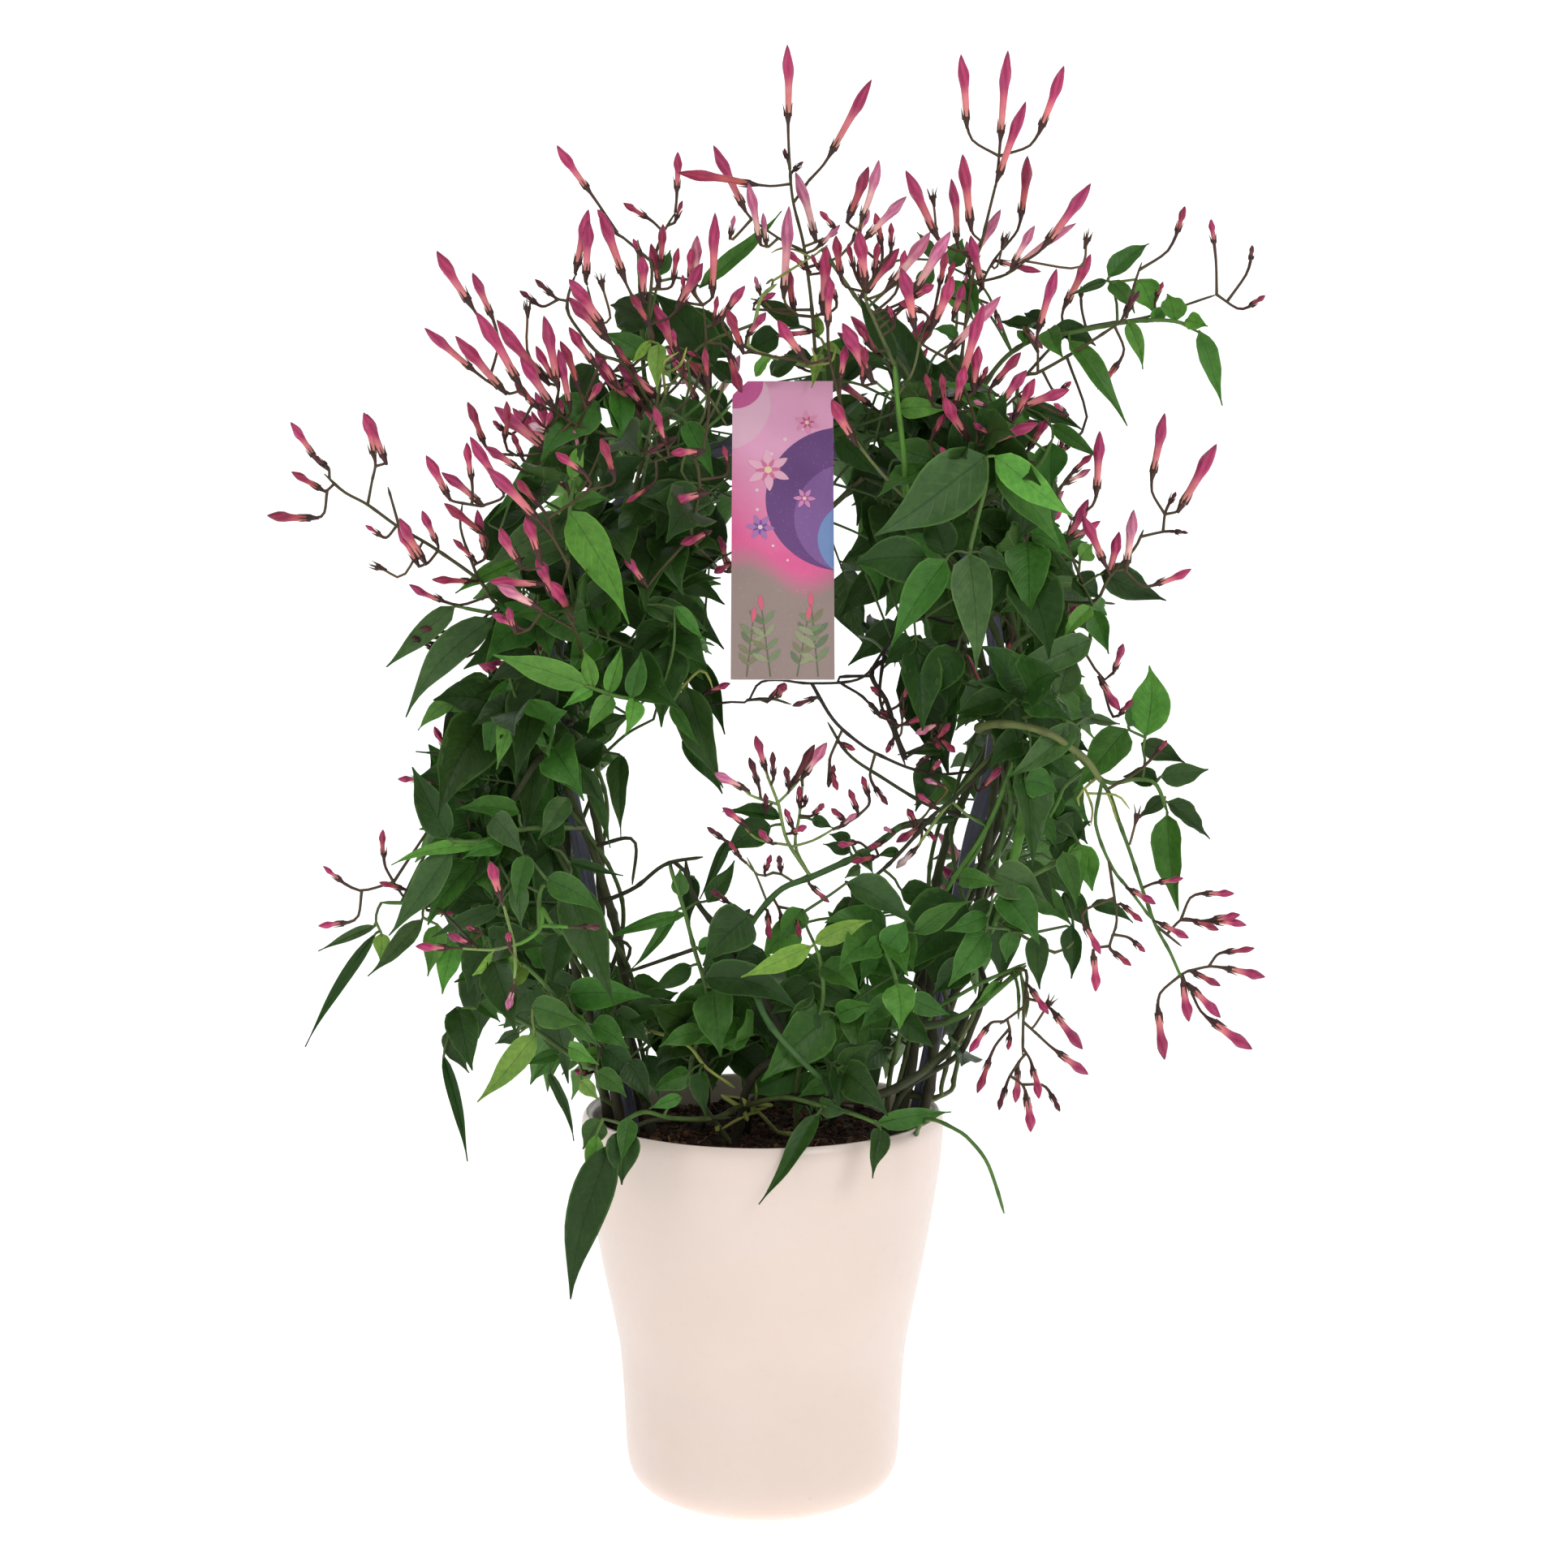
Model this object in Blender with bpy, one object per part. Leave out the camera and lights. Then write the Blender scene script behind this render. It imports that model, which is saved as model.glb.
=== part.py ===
"""A flowering climber trained over a hoop, in a glazed pot. Metres, +Z up, the middle of the pot's base at the origin, the front towards -Y."""
import math
import random

import bmesh
import bpy
from mathutils import Vector
from mathutils.bvhtree import BVHTree

# ---------------------------------------------------------------- driving dimensions (metres)
POT_HEIGHT = 0.157
POT_RIM_RADIUS = 0.0733
POT_BASE_RADIUS = 0.0545
POT_WALL = 0.005
SOIL_LEVEL = 0.1450
HOOP_TOP_CENTRE = (0.0055, 0.337)      # X, Z of the centre of the round top
HOOP_RADIUS = 0.0885
HOOP_BAND = (0.0066, 0.0034)           # across the front, and front to back
CARD_SIZE = (0.0392, 0.1238, 0.0007)
CARD_FOOT = (-0.0114, -0.0665, 0.3357)  # lower left corner of the card's front
CARD_LEAN = math.radians(24.0)          # back from upright
GAP = 0.0004

# The plant is laid out on a front elevation, drawn in perspective from one viewpoint. U runs to the right and V down,
# in drawing units, and D is the depth behind the middle plane in millimetres (minus is towards the viewer).
VIEW_POINT = (0.0087, -1.15, 0.408)
VIEW_PITCH = math.radians(5.9)
VIEW_SCALE = 3550.0
VIEW_CENTRE = 966.0


def place(u, v, d):
    """The point in space that stands at U, V on the front elevation, D millimetres behind the middle plane."""
    c, s = math.cos(VIEW_PITCH), math.sin(VIEW_PITCH)
    a, b = (u - VIEW_CENTRE) / VIEW_SCALE, (VIEW_CENTRE - v) / VIEW_SCALE
    ray = Vector((a, c + b * s, b * c - s))
    t = (d / 1000.0 - VIEW_POINT[1]) / ray.y
    return Vector(VIEW_POINT) + ray * t


def smooth(points, count):
    """COUNT points evenly along a smooth curve through POINTS."""
    p = [Vector(q) for q in points]
    if len(p) == 2:
        return [p[0].lerp(p[1], i / (count - 1)) for i in range(count)]
    p = [2 * p[0] - p[1]] + p + [2 * p[-1] - p[-2]]
    dense = []
    for i in range(1, len(p) - 2):
        for j in range(12):
            t = j / 12.0
            a, b, c, d = p[i - 1], p[i], p[i + 1], p[i + 2]
            dense.append(0.5 * ((2 * b) + (c - a) * t + (2 * a - 5 * b + 4 * c - d) * t * t + (3 * b - a - 3 * c + d) * t * t * t))
    dense.append(p[-2].copy())
    run = [0.0]
    for a, b in zip(dense, dense[1:]):
        run.append(run[-1] + (b - a).length)
    out, k = [], 0
    for i in range(count):
        want = run[-1] * i / (count - 1)
        while k < len(run) - 2 and run[k + 1] < want:
            k += 1
        span = run[k + 1] - run[k]
        out.append(dense[k].lerp(dense[k + 1], 0 if span < 1e-12 else (want - run[k]) / span))
    return out


def frames(points, up=None):
    """A side and a normal at each point, turned as little as possible along the curve."""
    n = len(points)
    tangents = []
    for i in range(n):
        t = points[min(i + 1, n - 1)] - points[max(i - 1, 0)]
        tangents.append(t.normalized() if t.length > 1e-9 else Vector((0, 0, 1)))
    normal = Vector(up) if up is not None else Vector((0.13, -1.0, 0.21))
    out = []
    for t in tangents:
        normal = normal - t * normal.dot(t)
        if normal.length < 1e-4:
            normal = t.orthogonal()
        normal.normalize()
        out.append((t.cross(normal).normalized(), normal.copy()))
    return out


def loft(points, sections, normals=None, tip=True):
    """A closed skin over sections (lists of side, normal offsets); with TIP it closes on the last point."""
    fr = normals or frames(points)
    verts, faces, k = [], [], len(sections[0])
    last = len(points) - 1 if tip else len(points)
    for i in range(last):
        side, normal = fr[i]
        for a, b in sections[i]:
            verts.append(points[i] + side * a + normal * b)
    for i in range(last - 1):
        for j in range(k):
            m = (j + 1) % k
            faces.append((i * k + j, i * k + m, (i + 1) * k + m, (i + 1) * k + j))
    faces.append(tuple(range(k - 1, -1, -1)))
    if tip:
        verts.append(points[-1].copy())
        for j in range(k):
            faces.append(((last - 1) * k + j, (last - 1) * k + (j + 1) % k, len(verts) - 1))
    else:
        faces.append(tuple((last - 1) * k + j for j in range(k)))
    return verts, faces


def ring(radius, sides, phase=0.0):
    return [(radius * math.cos(phase + 2 * math.pi * j / sides), radius * math.sin(phase + 2 * math.pi * j / sides)) for j in range(sides)]


# ---------------------------------------------------------------- hoop and vines
def hoop_point(s):
    """Middle line of the hoop: s is 0 at the buried end of the left leg, 1 at the buried end of the right leg."""
    cx, cz = HOOP_TOP_CENTRE
    left = [(-0.0420, 0.060), (-0.0475, 0.110), (-0.0535, 0.150), (-0.0600, 0.185), (-0.0668, 0.225), (-0.0732, 0.265), (-0.0795, 0.300)]
    right = [(0.0925, 0.300), (0.0838, 0.265), (0.0760, 0.225), (0.0690, 0.185), (0.0620, 0.150), (0.0550, 0.110), (0.0490, 0.060)]
    arch = [(cx + HOOP_RADIUS * math.cos(a), cz + HOOP_RADIUS * math.sin(a)) for a in [math.radians(x) for x in (180, 157, 134, 112, 90, 68, 46, 23, 0)]]
    return [Vector((x, 0.0, z)) for x, z in left + arch + right]


HOOP_LINE = smooth(hoop_point(0), 96)


def hoop_at(s):
    f = min(max(s, 0.0), 1.0) * (len(HOOP_LINE) - 1)
    i = min(int(f), len(HOOP_LINE) - 2)
    return HOOP_LINE[i].lerp(HOOP_LINE[i + 1], f - i), (HOOP_LINE[i + 1] - HOOP_LINE[i]).normalized()


def winding(s0, s1, phase, turns, radius, count, sway):
    """A vine that winds round the hoop from s0 to s1."""
    out = []
    for i in range(count):
        t = i / (count - 1)
        p, tan = hoop_at(s0 + (s1 - s0) * t)
        side = tan.cross(Vector((0, 1, 0))).normalized()
        a = phase + 2 * math.pi * turns * max(0.0, abs(s1 - s0) * t - 0.045) / 0.35
        r = radius * (1 + sway * math.sin(7.1 * t + phase))
        out.append(p + side * (r * math.cos(a)) + Vector((0, 1, 0)) * (r * math.sin(a)))
    return out


def card_point(x, y, out):
    """The point X across and Y up the front of the card, OUT in front of it."""
    c, s = math.cos(CARD_LEAN), math.sin(CARD_LEAN)
    fx, fy, fz = CARD_FOOT
    return Vector((fx + x, fy + y * s - out * c, fz + y * c + out * s))


# the strap runs back from the card's upper edge, over the hoop, and turns down behind it
CARD_HEAD = card_point(0.0, CARD_SIZE[1], 0.0)
STRAP_LINE = [Vector((0.0085, p[0], p[1])) for p in ((CARD_HEAD.y - 0.0022, CARD_HEAD.z - 0.0058), (CARD_HEAD.y + 0.0002, CARD_HEAD.z - 0.0012), (CARD_HEAD.y + 0.0030, CARD_HEAD.z - 0.0010), (-0.0060, 0.4405), (-0.0030, 0.4330), (0.0030, 0.4312), (0.0056, 0.4270), (0.0060, 0.4180))]

VINES = []
for k, (phase, radius, s1) in enumerate(((0.35, 0.0086, 0.462), (1.92, 0.0094, 0.445), (3.49, 0.0088, 0.455), (5.06, 0.0097, 0.430))):
    VINES.append(("vine_stem_left_%d" % (k + 1), winding(0.094, s1, phase, 1.15, radius, 26, 0.10), (0.0021, 0.0011)))
for k, (phase, radius, s1) in enumerate(((1.50, 0.0084, 0.535), (2.60, 0.0090, 0.56), (3.70, 0.0086, 0.545), (4.90, 0.0094, 0.60))):
    VINES.append(("vine_stem_right_%d" % (k + 1), winding(0.906, s1, phase, -1.10, radius, 26, 0.10), (0.0022, 0.0011)))
VINES.append(("vine_stem_crossing_1", smooth([place(914, 1414, 4), place(934, 1352, -14), place(1010, 1356, -34), place(1080, 1350, -36), place(1135, 1322, -30), place(1172, 1288, -24), place(1195, 1245, -22)], 16), (0.0024, 0.0015)))
VINES.append(("vine_stem_crossing_2", smooth([place(905, 1416, -20), place(925, 1330, -30), place(968, 1286, -40), place(925, 1208, -46), place(880, 1140, -40), place(852, 1100, -34), place(845, 1060, -28)], 16), (0.0018, 0.0010)))

# ---------------------------------------------------------------- leaves
# path: U, V, D points of the side shoot. leaves: base U, V, tip U, V, width, tone, base D, tip D.
# tone: d dark, m middle, l light, y yellow-green, g grey-green bloom.
LEAF_SHOOTS = {
    "leaf_shoot_left_shoulder": dict(path=[(722, 850, -14), (708, 760, -36), (700, 690, -52), (702, 628, -60), (708, 585, -54)], leaves=[
        (702, 630, 775, 769, 50, "l", -60, -72), (706, 622, 752, 616, 24, "m", -60, -66), (703, 590, 722, 543, 20, "l", -56, -52),
        (698, 640, 600, 700, 44, "g", -46, -52), (700, 560, 668, 600, 18, "m", -50, -44), (803, 608, 766, 682, 40, "d", -40, -52),
        (705, 672, 628, 705, 30, "d", -54, -50), (735, 640, 786, 676, 42, "d", -34, -30), (797, 715, 888, 712, 42, "d", -40, -46)]),
    "leaf_shoot_left_compound": dict(path=[(842, 836, -24), (812, 856, -48), (770, 860, -62), (724, 846, -68)], leaves=[
        (724, 846, 608, 807, 36, "l", -68, -74), (731, 848, 718, 800, 22, "l", -67, -64), (750, 855, 765, 797, 22, "l", -65, -62),
        (778, 860, 790, 803, 26, "m", -61, -58), (730, 849, 694, 872, 18, "l", -67, -72), (755, 858, 724, 903, 26, "l", -65, -70), (782, 861, 770, 906, 24, "l", -60, -66),
        (792, 745, 872, 778, 30, "d", -50, -46), (831, 748, 868, 788, 18, "m", -54, -50)]),
    "leaf_shoot_left_outer": dict(path=[(706, 790, -8), (660, 762, -24), (610, 756, -34), (566, 748, -38)], leaves=[
        (560, 747, 476, 822, 28, "g", -38, -34), (608, 762, 500, 884, 44, "g", -34, -40), (638, 692, 561, 731, 24, "l", -28, -36),
        (640, 700, 700, 740, 36, "d", -26, -20), (600, 645, 660, 618, 30, "d", -22, -12), (672, 552, 600, 645, 18, "m", -30, -40)]),
    "leaf_shoot_left_mid": dict(path=[(704, 935, -12), (672, 925, -34), (648, 890, -48), (632, 850, -52)], leaves=[
        (655, 860, 673, 893, 30, "g", -50, -56), (640, 868, 612, 948, 30, "l", -50, -58), (628, 835, 600, 946, 32, "m", -50, -44),
        (664, 930, 512, 926, 28, "d", -30, -22), (656, 900, 640, 860, 30, "d", -34, -30), (690, 935, 742, 988, 34, "d", -30, -36), (722, 945, 752, 1045, 20, "d", -34, -32),
        (600, 850, 540, 880, 30, "m", -26, -20), (560, 860, 515, 900, 22, "l", -22, -20)]),
    "leaf_shoot_left_knee": dict(path=[(722, 1020, -12), (690, 1020, -32), (640, 1022, -48), (592, 1036, -48), (554, 1036, -44)], leaves=[
        (552, 1034, 508, 945, 42, "d", -44, -40), (590, 1042, 482, 1066, 18, "l", -46, -42), (556, 1046, 479, 1153, 42, "g", -44, -50),
        (640, 1002, 560, 998, 28, "m", -48, -42), (700, 983, 663, 1035, 32, "g", -40, -46), (608, 1005, 645, 1054, 36, "g", -50, -58),
        (620, 1042, 570, 1058, 24, "m", -52, -58), (585, 985, 545, 965, 24, "d", -36, -30)]),
    "leaf_shoot_left_low": dict(path=[(742, 1130, -14), (706, 1105, -40), (668, 1092, -56), (664, 1150, -52)], leaves=[
        (650, 1053, 637, 1115, 28, "m", -56, -62), (673, 1083, 742, 1126, 36, "m", -56, -64), (700, 1086, 757, 1238, 58, "d", -46, -58),
        (616, 1118, 532, 1155, 24, "d", -46, -42), (640, 1088, 642, 1142, 26, "g", -50, -54), (700, 1062, 768, 1079, 14, "d", -34, -28),
        (676, 1045, 690, 1000, 30, "d", -40, -32), (690, 1150, 680, 1215, 44, "d", -40, -40)]),
    "leaf_shoot_left_trail": dict(path=[(748, 1190, -2), (690, 1160, -14), (610, 1125, -16), (530, 1114, -14), (470, 1112, -10)], leaves=[
        (521, 1133, 453, 1203, 26, "g", -16, -22), (463, 1150, 376, 1290, 16, "d", -10, -14), (463, 1141, 392, 1172, 14, "g", -10, -4),
        (540, 1140, 527, 1203, 30, "l", -18, -22), (560, 1160, 545, 1225, 32, "l", -18, -24), (470, 1150, 468, 1186, 22, "y", -10, -14), (590, 1140, 600, 1200, 30, "m", -18, -12)]),
    "leaf_shoot_base_left": dict(path=[(768, 1320, -4), (716, 1262, -26), (668, 1210, -42), (642, 1186, -48)], leaves=[
        (640, 1186, 582, 1202, 36, "y", -48, -52), (642, 1190, 618, 1228, 36, "y", -48, -56), (700, 1225, 802, 1228, 42, "m", -36, -50),
        (660, 1275, 588, 1358, 34, "y", -34, -42), (655, 1240, 720, 1262, 40, "m", -40, -50), (690, 1180, 640, 1150, 44, "m", -34, -26),
        (700, 1250, 740, 1290, 26, "m", -44, -52), (760, 1200, 730, 1270, 34, "d", -20, -28)]),
    "leaf_shoot_base_left_low": dict(path=[(780, 1338, -2), (716, 1308, -16), (650, 1262, -20), (600, 1242, -20), (562, 1244, -20)], leaves=[
        (563, 1240, 582, 1319, 42, "d", -20, -26), (553, 1268, 578, 1322, 28, "d", -18, -14), (546, 1300, 576, 1431, 16, "d", -18, -22),
        (590, 1236, 616, 1259, 20, "m", -22, -28), (676, 1320, 707, 1406, 14, "d", -16, -18), (690, 1298, 645, 1312, 18, "m", -18, -24),
        (684, 1302, 655, 1334, 20, "m", -18, -14), (640, 1270, 610, 1286, 18, "d", -12, -6), (735, 1300, 700, 1306, 24, "l", -24, -32)]),
    "leaf_shoot_rim_left": dict(path=[(880, 1378, -40), (830, 1378, -54), (794, 1370, -66), (764, 1384, -78)], leaves=[
        (752, 1410, 703, 1601, 54, "d", -80, -88), (776, 1378, 765, 1434, 26, "m", -78, -88), (740, 1378, 718, 1416, 34, "g", -74, -70),
        (735, 1398, 724, 1470, 26, "l", -76, -74), (768, 1392, 766, 1460, 44, "d", -80, -84), (840, 1352, 800, 1366, 18, "m", -60, -66)]),
    "leaf_shoot_rim_front": dict(path=[(930, 1372, -30), (965, 1352, -46), (1010, 1362, -60), (1050, 1372, -66), (1084, 1386, -72)], leaves=[
        (1012, 1362, 937, 1488, 24, "m", -62, -84), (1085, 1390, 1075, 1452, 28, "d", -73, -82), (1080, 1384, 1172, 1370, 28, "m", -66, -50),
        (1010, 1360, 1046, 1372, 26, "g", -60, -70), (1060, 1330, 1040, 1300, 30, "m", -40, -30)]),
    "leaf_shoot_top_left": dict(path=[(814, 545, 14), (804, 500, 10), (794, 460, 2), (790, 390, -6), (786, 296, -8)], leaves=[
        (802, 402, 752, 376, 60, "d", -22, -10), (880, 452, 803, 360, 54, "d", -14, -4), (862, 355, 963, 260, 22, "m", -22, -12),
        (812, 424, 810, 484, 24, "y", -32, -40), (802, 420, 778, 448, 12, "y", -30, -40), (800, 440, 740, 410, 30, "m", -24, -26),
        (812, 340, 826, 308, 22, "m", -26, -18), (730, 450, 705, 500, 36, "d", -16, -18), (800, 500, 745, 470, 52, "d", -14, -10), (846, 520, 880, 590, 28, "m", -32, -44)]),
    "leaf_shoot_top_mid": dict(path=[(1000, 640, 8), (1012, 560, 2), (1016, 480, -6), (1012, 430, -10)], leaves=[
        (1000, 440, 958, 452, 26, "d", -8, -14), (960, 412, 918, 436, 34, "d", 0, 6), (985, 402, 925, 368, 24, "d", -6, 0),
        (1010, 436, 1000, 478, 16, "y", -14, -24), (1016, 424, 1040, 440, 12, "y", -12, -22), (1008, 415, 1006, 385, 16, "y", -10, -8), (1040, 470, 1070, 440, 22, "d", 4, 10), (1030, 540, 1086, 590, 34, "d", -4, -10)]),
    "leaf_shoot_top_right": dict(path=[(1124, 690, -14), (1122, 620, -26), (1112, 550, -32), (1106, 500, -34), (1103, 446, -32)], leaves=[
        (1103, 446, 1057, 362, 26, "d", -32, -24), (1136, 482, 1068, 366, 42, "d", -20, -12), (1108, 504, 1174, 504, 26, "l", -36, -44),
        (1126, 546, 1084, 540, 24, "m", -34, -30), (1110, 500, 1150, 486, 18, "m", -36, -30), (1116, 560, 1134, 602, 24, "g", -36, -44),
        (1150, 560, 1110, 530, 40, "d", -10, -4), (1180, 420, 1150, 405, 22, "m", -14, -20), (1170, 345, 1200, 395, 30, "l", 6, 10)]),
    "leaf_shoot_right_shoulder": dict(path=[(1196, 800, -14), (1192, 740, -40), (1194, 684, -58), (1204, 640, -64), (1214, 600, -66), (1217, 566, -66)], leaves=[
        (1216, 562, 1078, 660, 78, "g", -66, -80), (1226, 562, 1322, 636, 40, "l", -64, -62), (1226, 578, 1306, 674, 46, "m", -58, -48),
        (1166, 686, 1143, 628, 44, "d", -64, -58), (1192, 680, 1184, 624, 42, "d", -54, -44), (1142, 688, 1052, 695, 54, "d", -64, -60),
        (1166, 690, 1098, 796, 46, "m", -66, -70), (1194, 682, 1203, 828, 52, "g", -62, -72), (1205, 680, 1247, 706, 26, "d", -58, -54), (1180, 800, 1130, 870, 50, "d", -30, -34)]),
    "leaf_shoot_right_outer": dict(path=[(1180, 640, -4), (1236, 604, -18), (1280, 572, -28), (1297, 540, -28)], leaves=[
        (1297, 546, 1296, 602, 42, "m", -28, -22), (1295, 524, 1356, 566, 20, "m", -28, -34), (1262, 502, 1334, 530, 24, "d", -22, -26),
        (1306, 648, 1208, 645, 22, "m", -20, -34), (1250, 702, 1293, 718, 20, "m", -30, -40), (1290, 740, 1232, 755, 28, "m", -34, -46),
        (1244, 640, 1250, 600, 34, "d", -8, -4), (1270, 690, 1300, 660, 30, "d", -10, -4)]),
    "leaf_shoot_right_far": dict(path=[(1180, 560, 0), (1216, 470, -8), (1262, 424, -12), (1330, 408, -16), (1396, 396, -18), (1448, 396, -20), (1478, 410, -20)], leaves=[
        (1366, 342, 1416, 300, 26, "m", -18, -8), (1364, 346, 1318, 364, 12, "d", -18, -24), (1368, 346, 1398, 386, 26, "m", -16, -22), (1404, 344, 1422, 388, 36, "l", -14, -10),
        (1390, 396, 1408, 455, 20, "l", -20, -28), (1448, 396, 1438, 362, 32, "l", -20, -12), (1420, 396, 1440, 376, 18, "l", -18, -10), (1462, 394, 1488, 402, 22, "l", -22, -30),
        (1478, 408, 1506, 500, 26, "m", -22, -26), (1317, 420, 1389, 525, 30, "m", -18, -26), (1300, 402, 1350, 426, 26, "d", -14, -8), (1292, 406, 1310, 441, 28, "m", -16, -24),
        (1270, 402, 1230, 396, 20, "d", -10, -4), (1264, 408, 1262, 426, 22, "m", -12, -18), (1288, 398, 1262, 386, 24, "d", -8, 0)]),
    "leaf_shoot_right_mid": dict(path=[(1222, 820, -12), (1256, 790, -34), (1300, 768, -42), (1340, 764, -40), (1343, 796, -40)], leaves=[
        (1300, 742, 1274, 806, 52, "d", -42, -44), (1345, 788, 1215, 846, 38, "g", -42, -58), (1356, 706, 1437, 740, 44, "d", -30, -22),
        (1322, 712, 1356, 738, 38, "d", -30, -30), (1345, 748, 1310, 792, 22, "l", -42, -48), (1346, 752, 1366, 806, 28, "m", -40, -44),
        (1346, 746, 1364, 758, 30, "m", -38, -30), (1330, 690, 1346, 670, 26, "l", -28, -22), (1300, 690, 1340, 668, 30, "m", -24, -16)]),
    "leaf_shoot_right_knee": dict(path=[(1226, 880, -14), (1262, 884, -36), (1300, 866, -50), (1314, 894, -50)], leaves=[
        (1302, 858, 1198, 842, 48, "d", -50, -60), (1304, 856, 1320, 798, 44, "g", -50, -48), (1300, 852, 1296, 802, 26, "d", -48, -40),
        (1326, 894, 1240, 958, 36, "g", -52, -62), (1262, 962, 1302, 976, 40, "m", -44, -38), (1314, 888, 1326, 936, 26, "g", -52, -54), (1340, 884, 1380, 892, 14, "g", -48, -42),
        (1238, 860, 1178, 880, 36, "d", -34, -40), (1160, 810, 1168, 872, 46, "d", -22, -28)]),
    "leaf_shoot_right_spread": dict(path=[(1230, 930, -6), (1262, 898, -18), (1310, 914, -30), (1360, 962, -36), (1400, 960, -36), (1424, 966, -36), (1438, 1000, -36)], leaves=[
        (1412, 907, 1416, 820, 52, "l", -34, -26), (1388, 898, 1322, 976, 46, "m", -32, -38), (1390, 895, 1410, 861, 24, "m", -32, -24),
        (1430, 957, 1489, 948, 30, "d", -36, -30), (1406, 916, 1460, 940, 28, "d", -32, -28), (1426, 962, 1384, 957, 26, "d", -34, -28), (1438, 988, 1491, 1034, 28, "d", -36, -30),
        (1438, 1004, 1452, 1123, 38, "m", -36, -44), (1436, 982, 1404, 1008, 20, "d", -34, -28)]),
    "leaf_shoot_right_low": dict(path=[(1180, 1090, -12), (1214, 1082, -38), (1256, 1084, -50), (1300, 1064, -48), (1330, 1046, -46)], leaves=[
        (1226, 1076, 1290, 1112, 50, "g", -52, -60), (1236, 1100, 1281, 1164, 50, "m", -54, -66), (1182, 1082, 1234, 1090, 26, "m", -44, -56), (1330, 1040, 1346, 1098, 40, "l", -46, -44),
        (1218, 1128, 1164, 1147, 26, "m", -52, -62), (1216, 1146, 1168, 1216, 42, "m", -48, -56), (1190, 1112, 1108, 1206, 84, "d", -36, -44), (1278, 1150, 1281, 1219, 30, "d", -42, -44),
        (1246, 1146, 1240, 1186, 26, "m", -38, -34), (1320, 1140, 1320, 1206, 26, "d", -36, -32), (1310, 1050, 1326, 1120, 28, "m", -50, -58), (1300, 1010, 1280, 960, 34, "m", -30, -22)]),
    "leaf_shoot_inner_left": dict(path=[(850, 1420, -28), (852, 1330, -32), (872, 1240, -36), (856, 1170, -42), (838, 1106, -44), (824, 1066, -42)], leaves=[
        (846, 1126, 746, 1158, 18, "m", -44, -36), (836, 1120, 776, 1196, 16, "m", -43, -46), (872, 1112, 905, 1060, 26, "d", -40, -34), (884, 1190, 924, 1120, 56, "d", -36, -30),
        (880, 1218, 888, 1302, 52, "m", -42, -56), (838, 1104, 838, 1070, 22, "m", -44, -40), (852, 1190, 800, 1220, 26, "d", -40, -44), (866, 1270, 812, 1290, 28, "m", -38, -48), (860, 1170, 900, 1160, 22, "m", -46, -54)]),
    "leaf_shoot_inner_mid": dict(path=[(980, 1420, -20), (984, 1320, -32), (1012, 1240, -50), (1012, 1190, -58), (1003, 1162, -60)], leaves=[
        (1000, 1166, 913, 1204, 28, "y", -60, -66), (1004, 1162, 1074, 1134, 26, "y", -60, -70), (1046, 1086, 1128, 1142, 42, "g", -50, -58), (1012, 1190, 1060, 1225, 40, "m", -58, -66),
        (1000, 1210, 950, 1250, 44, "d", -50, -52), (1010, 1180, 1050, 1160, 34, "d", -50, -44), (990, 1120, 960, 1160, 34, "m", -44, -40), (1030, 1250, 1080, 1240, 30, "m", -48, -56)]),
    "leaf_shoot_inner_right": dict(path=[(1090, 1425, -16), (1096, 1330, -24), (1110, 1262, -44), (1103, 1205, -56), (1086, 1162, -60)], leaves=[
        (1092, 1168, 1116, 1134, 38, "m", -60, -60), (1084, 1158, 1054, 1182, 22, "m", -60, -68), (1106, 1212, 1108, 1268, 42, "l", -58, -68), (1126, 1150, 1198, 1110, 30, "m", -48, -50),
        (1110, 1250, 1150, 1290, 34, "d", -42, -46), (1090, 1290, 1046, 1320, 36, "d", -34, -40), (1100, 1230, 1060, 1270, 30, "m", -46, -54), (1120, 1230, 1170, 1250, 30, "m", -44, -40)]),
}

# Shoots on the far side, laid out by rule: compound leaves all along a shoot that follows the hoop.
BACK_SHOOTS = {
    "leaf_shoot_back_left_low": (0.150, 0.250, 26, 7, 11),
    "leaf_shoot_back_left_mid": (0.255, 0.350, 30, 7, 12),
    "leaf_shoot_back_top_left": (0.360, 0.475, 32, 8, 13),
    "leaf_shoot_back_top_right": (0.640, 0.525, 32, 8, 14),
    "leaf_shoot_back_right_mid": (0.745, 0.650, 30, 7, 15),
}

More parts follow.
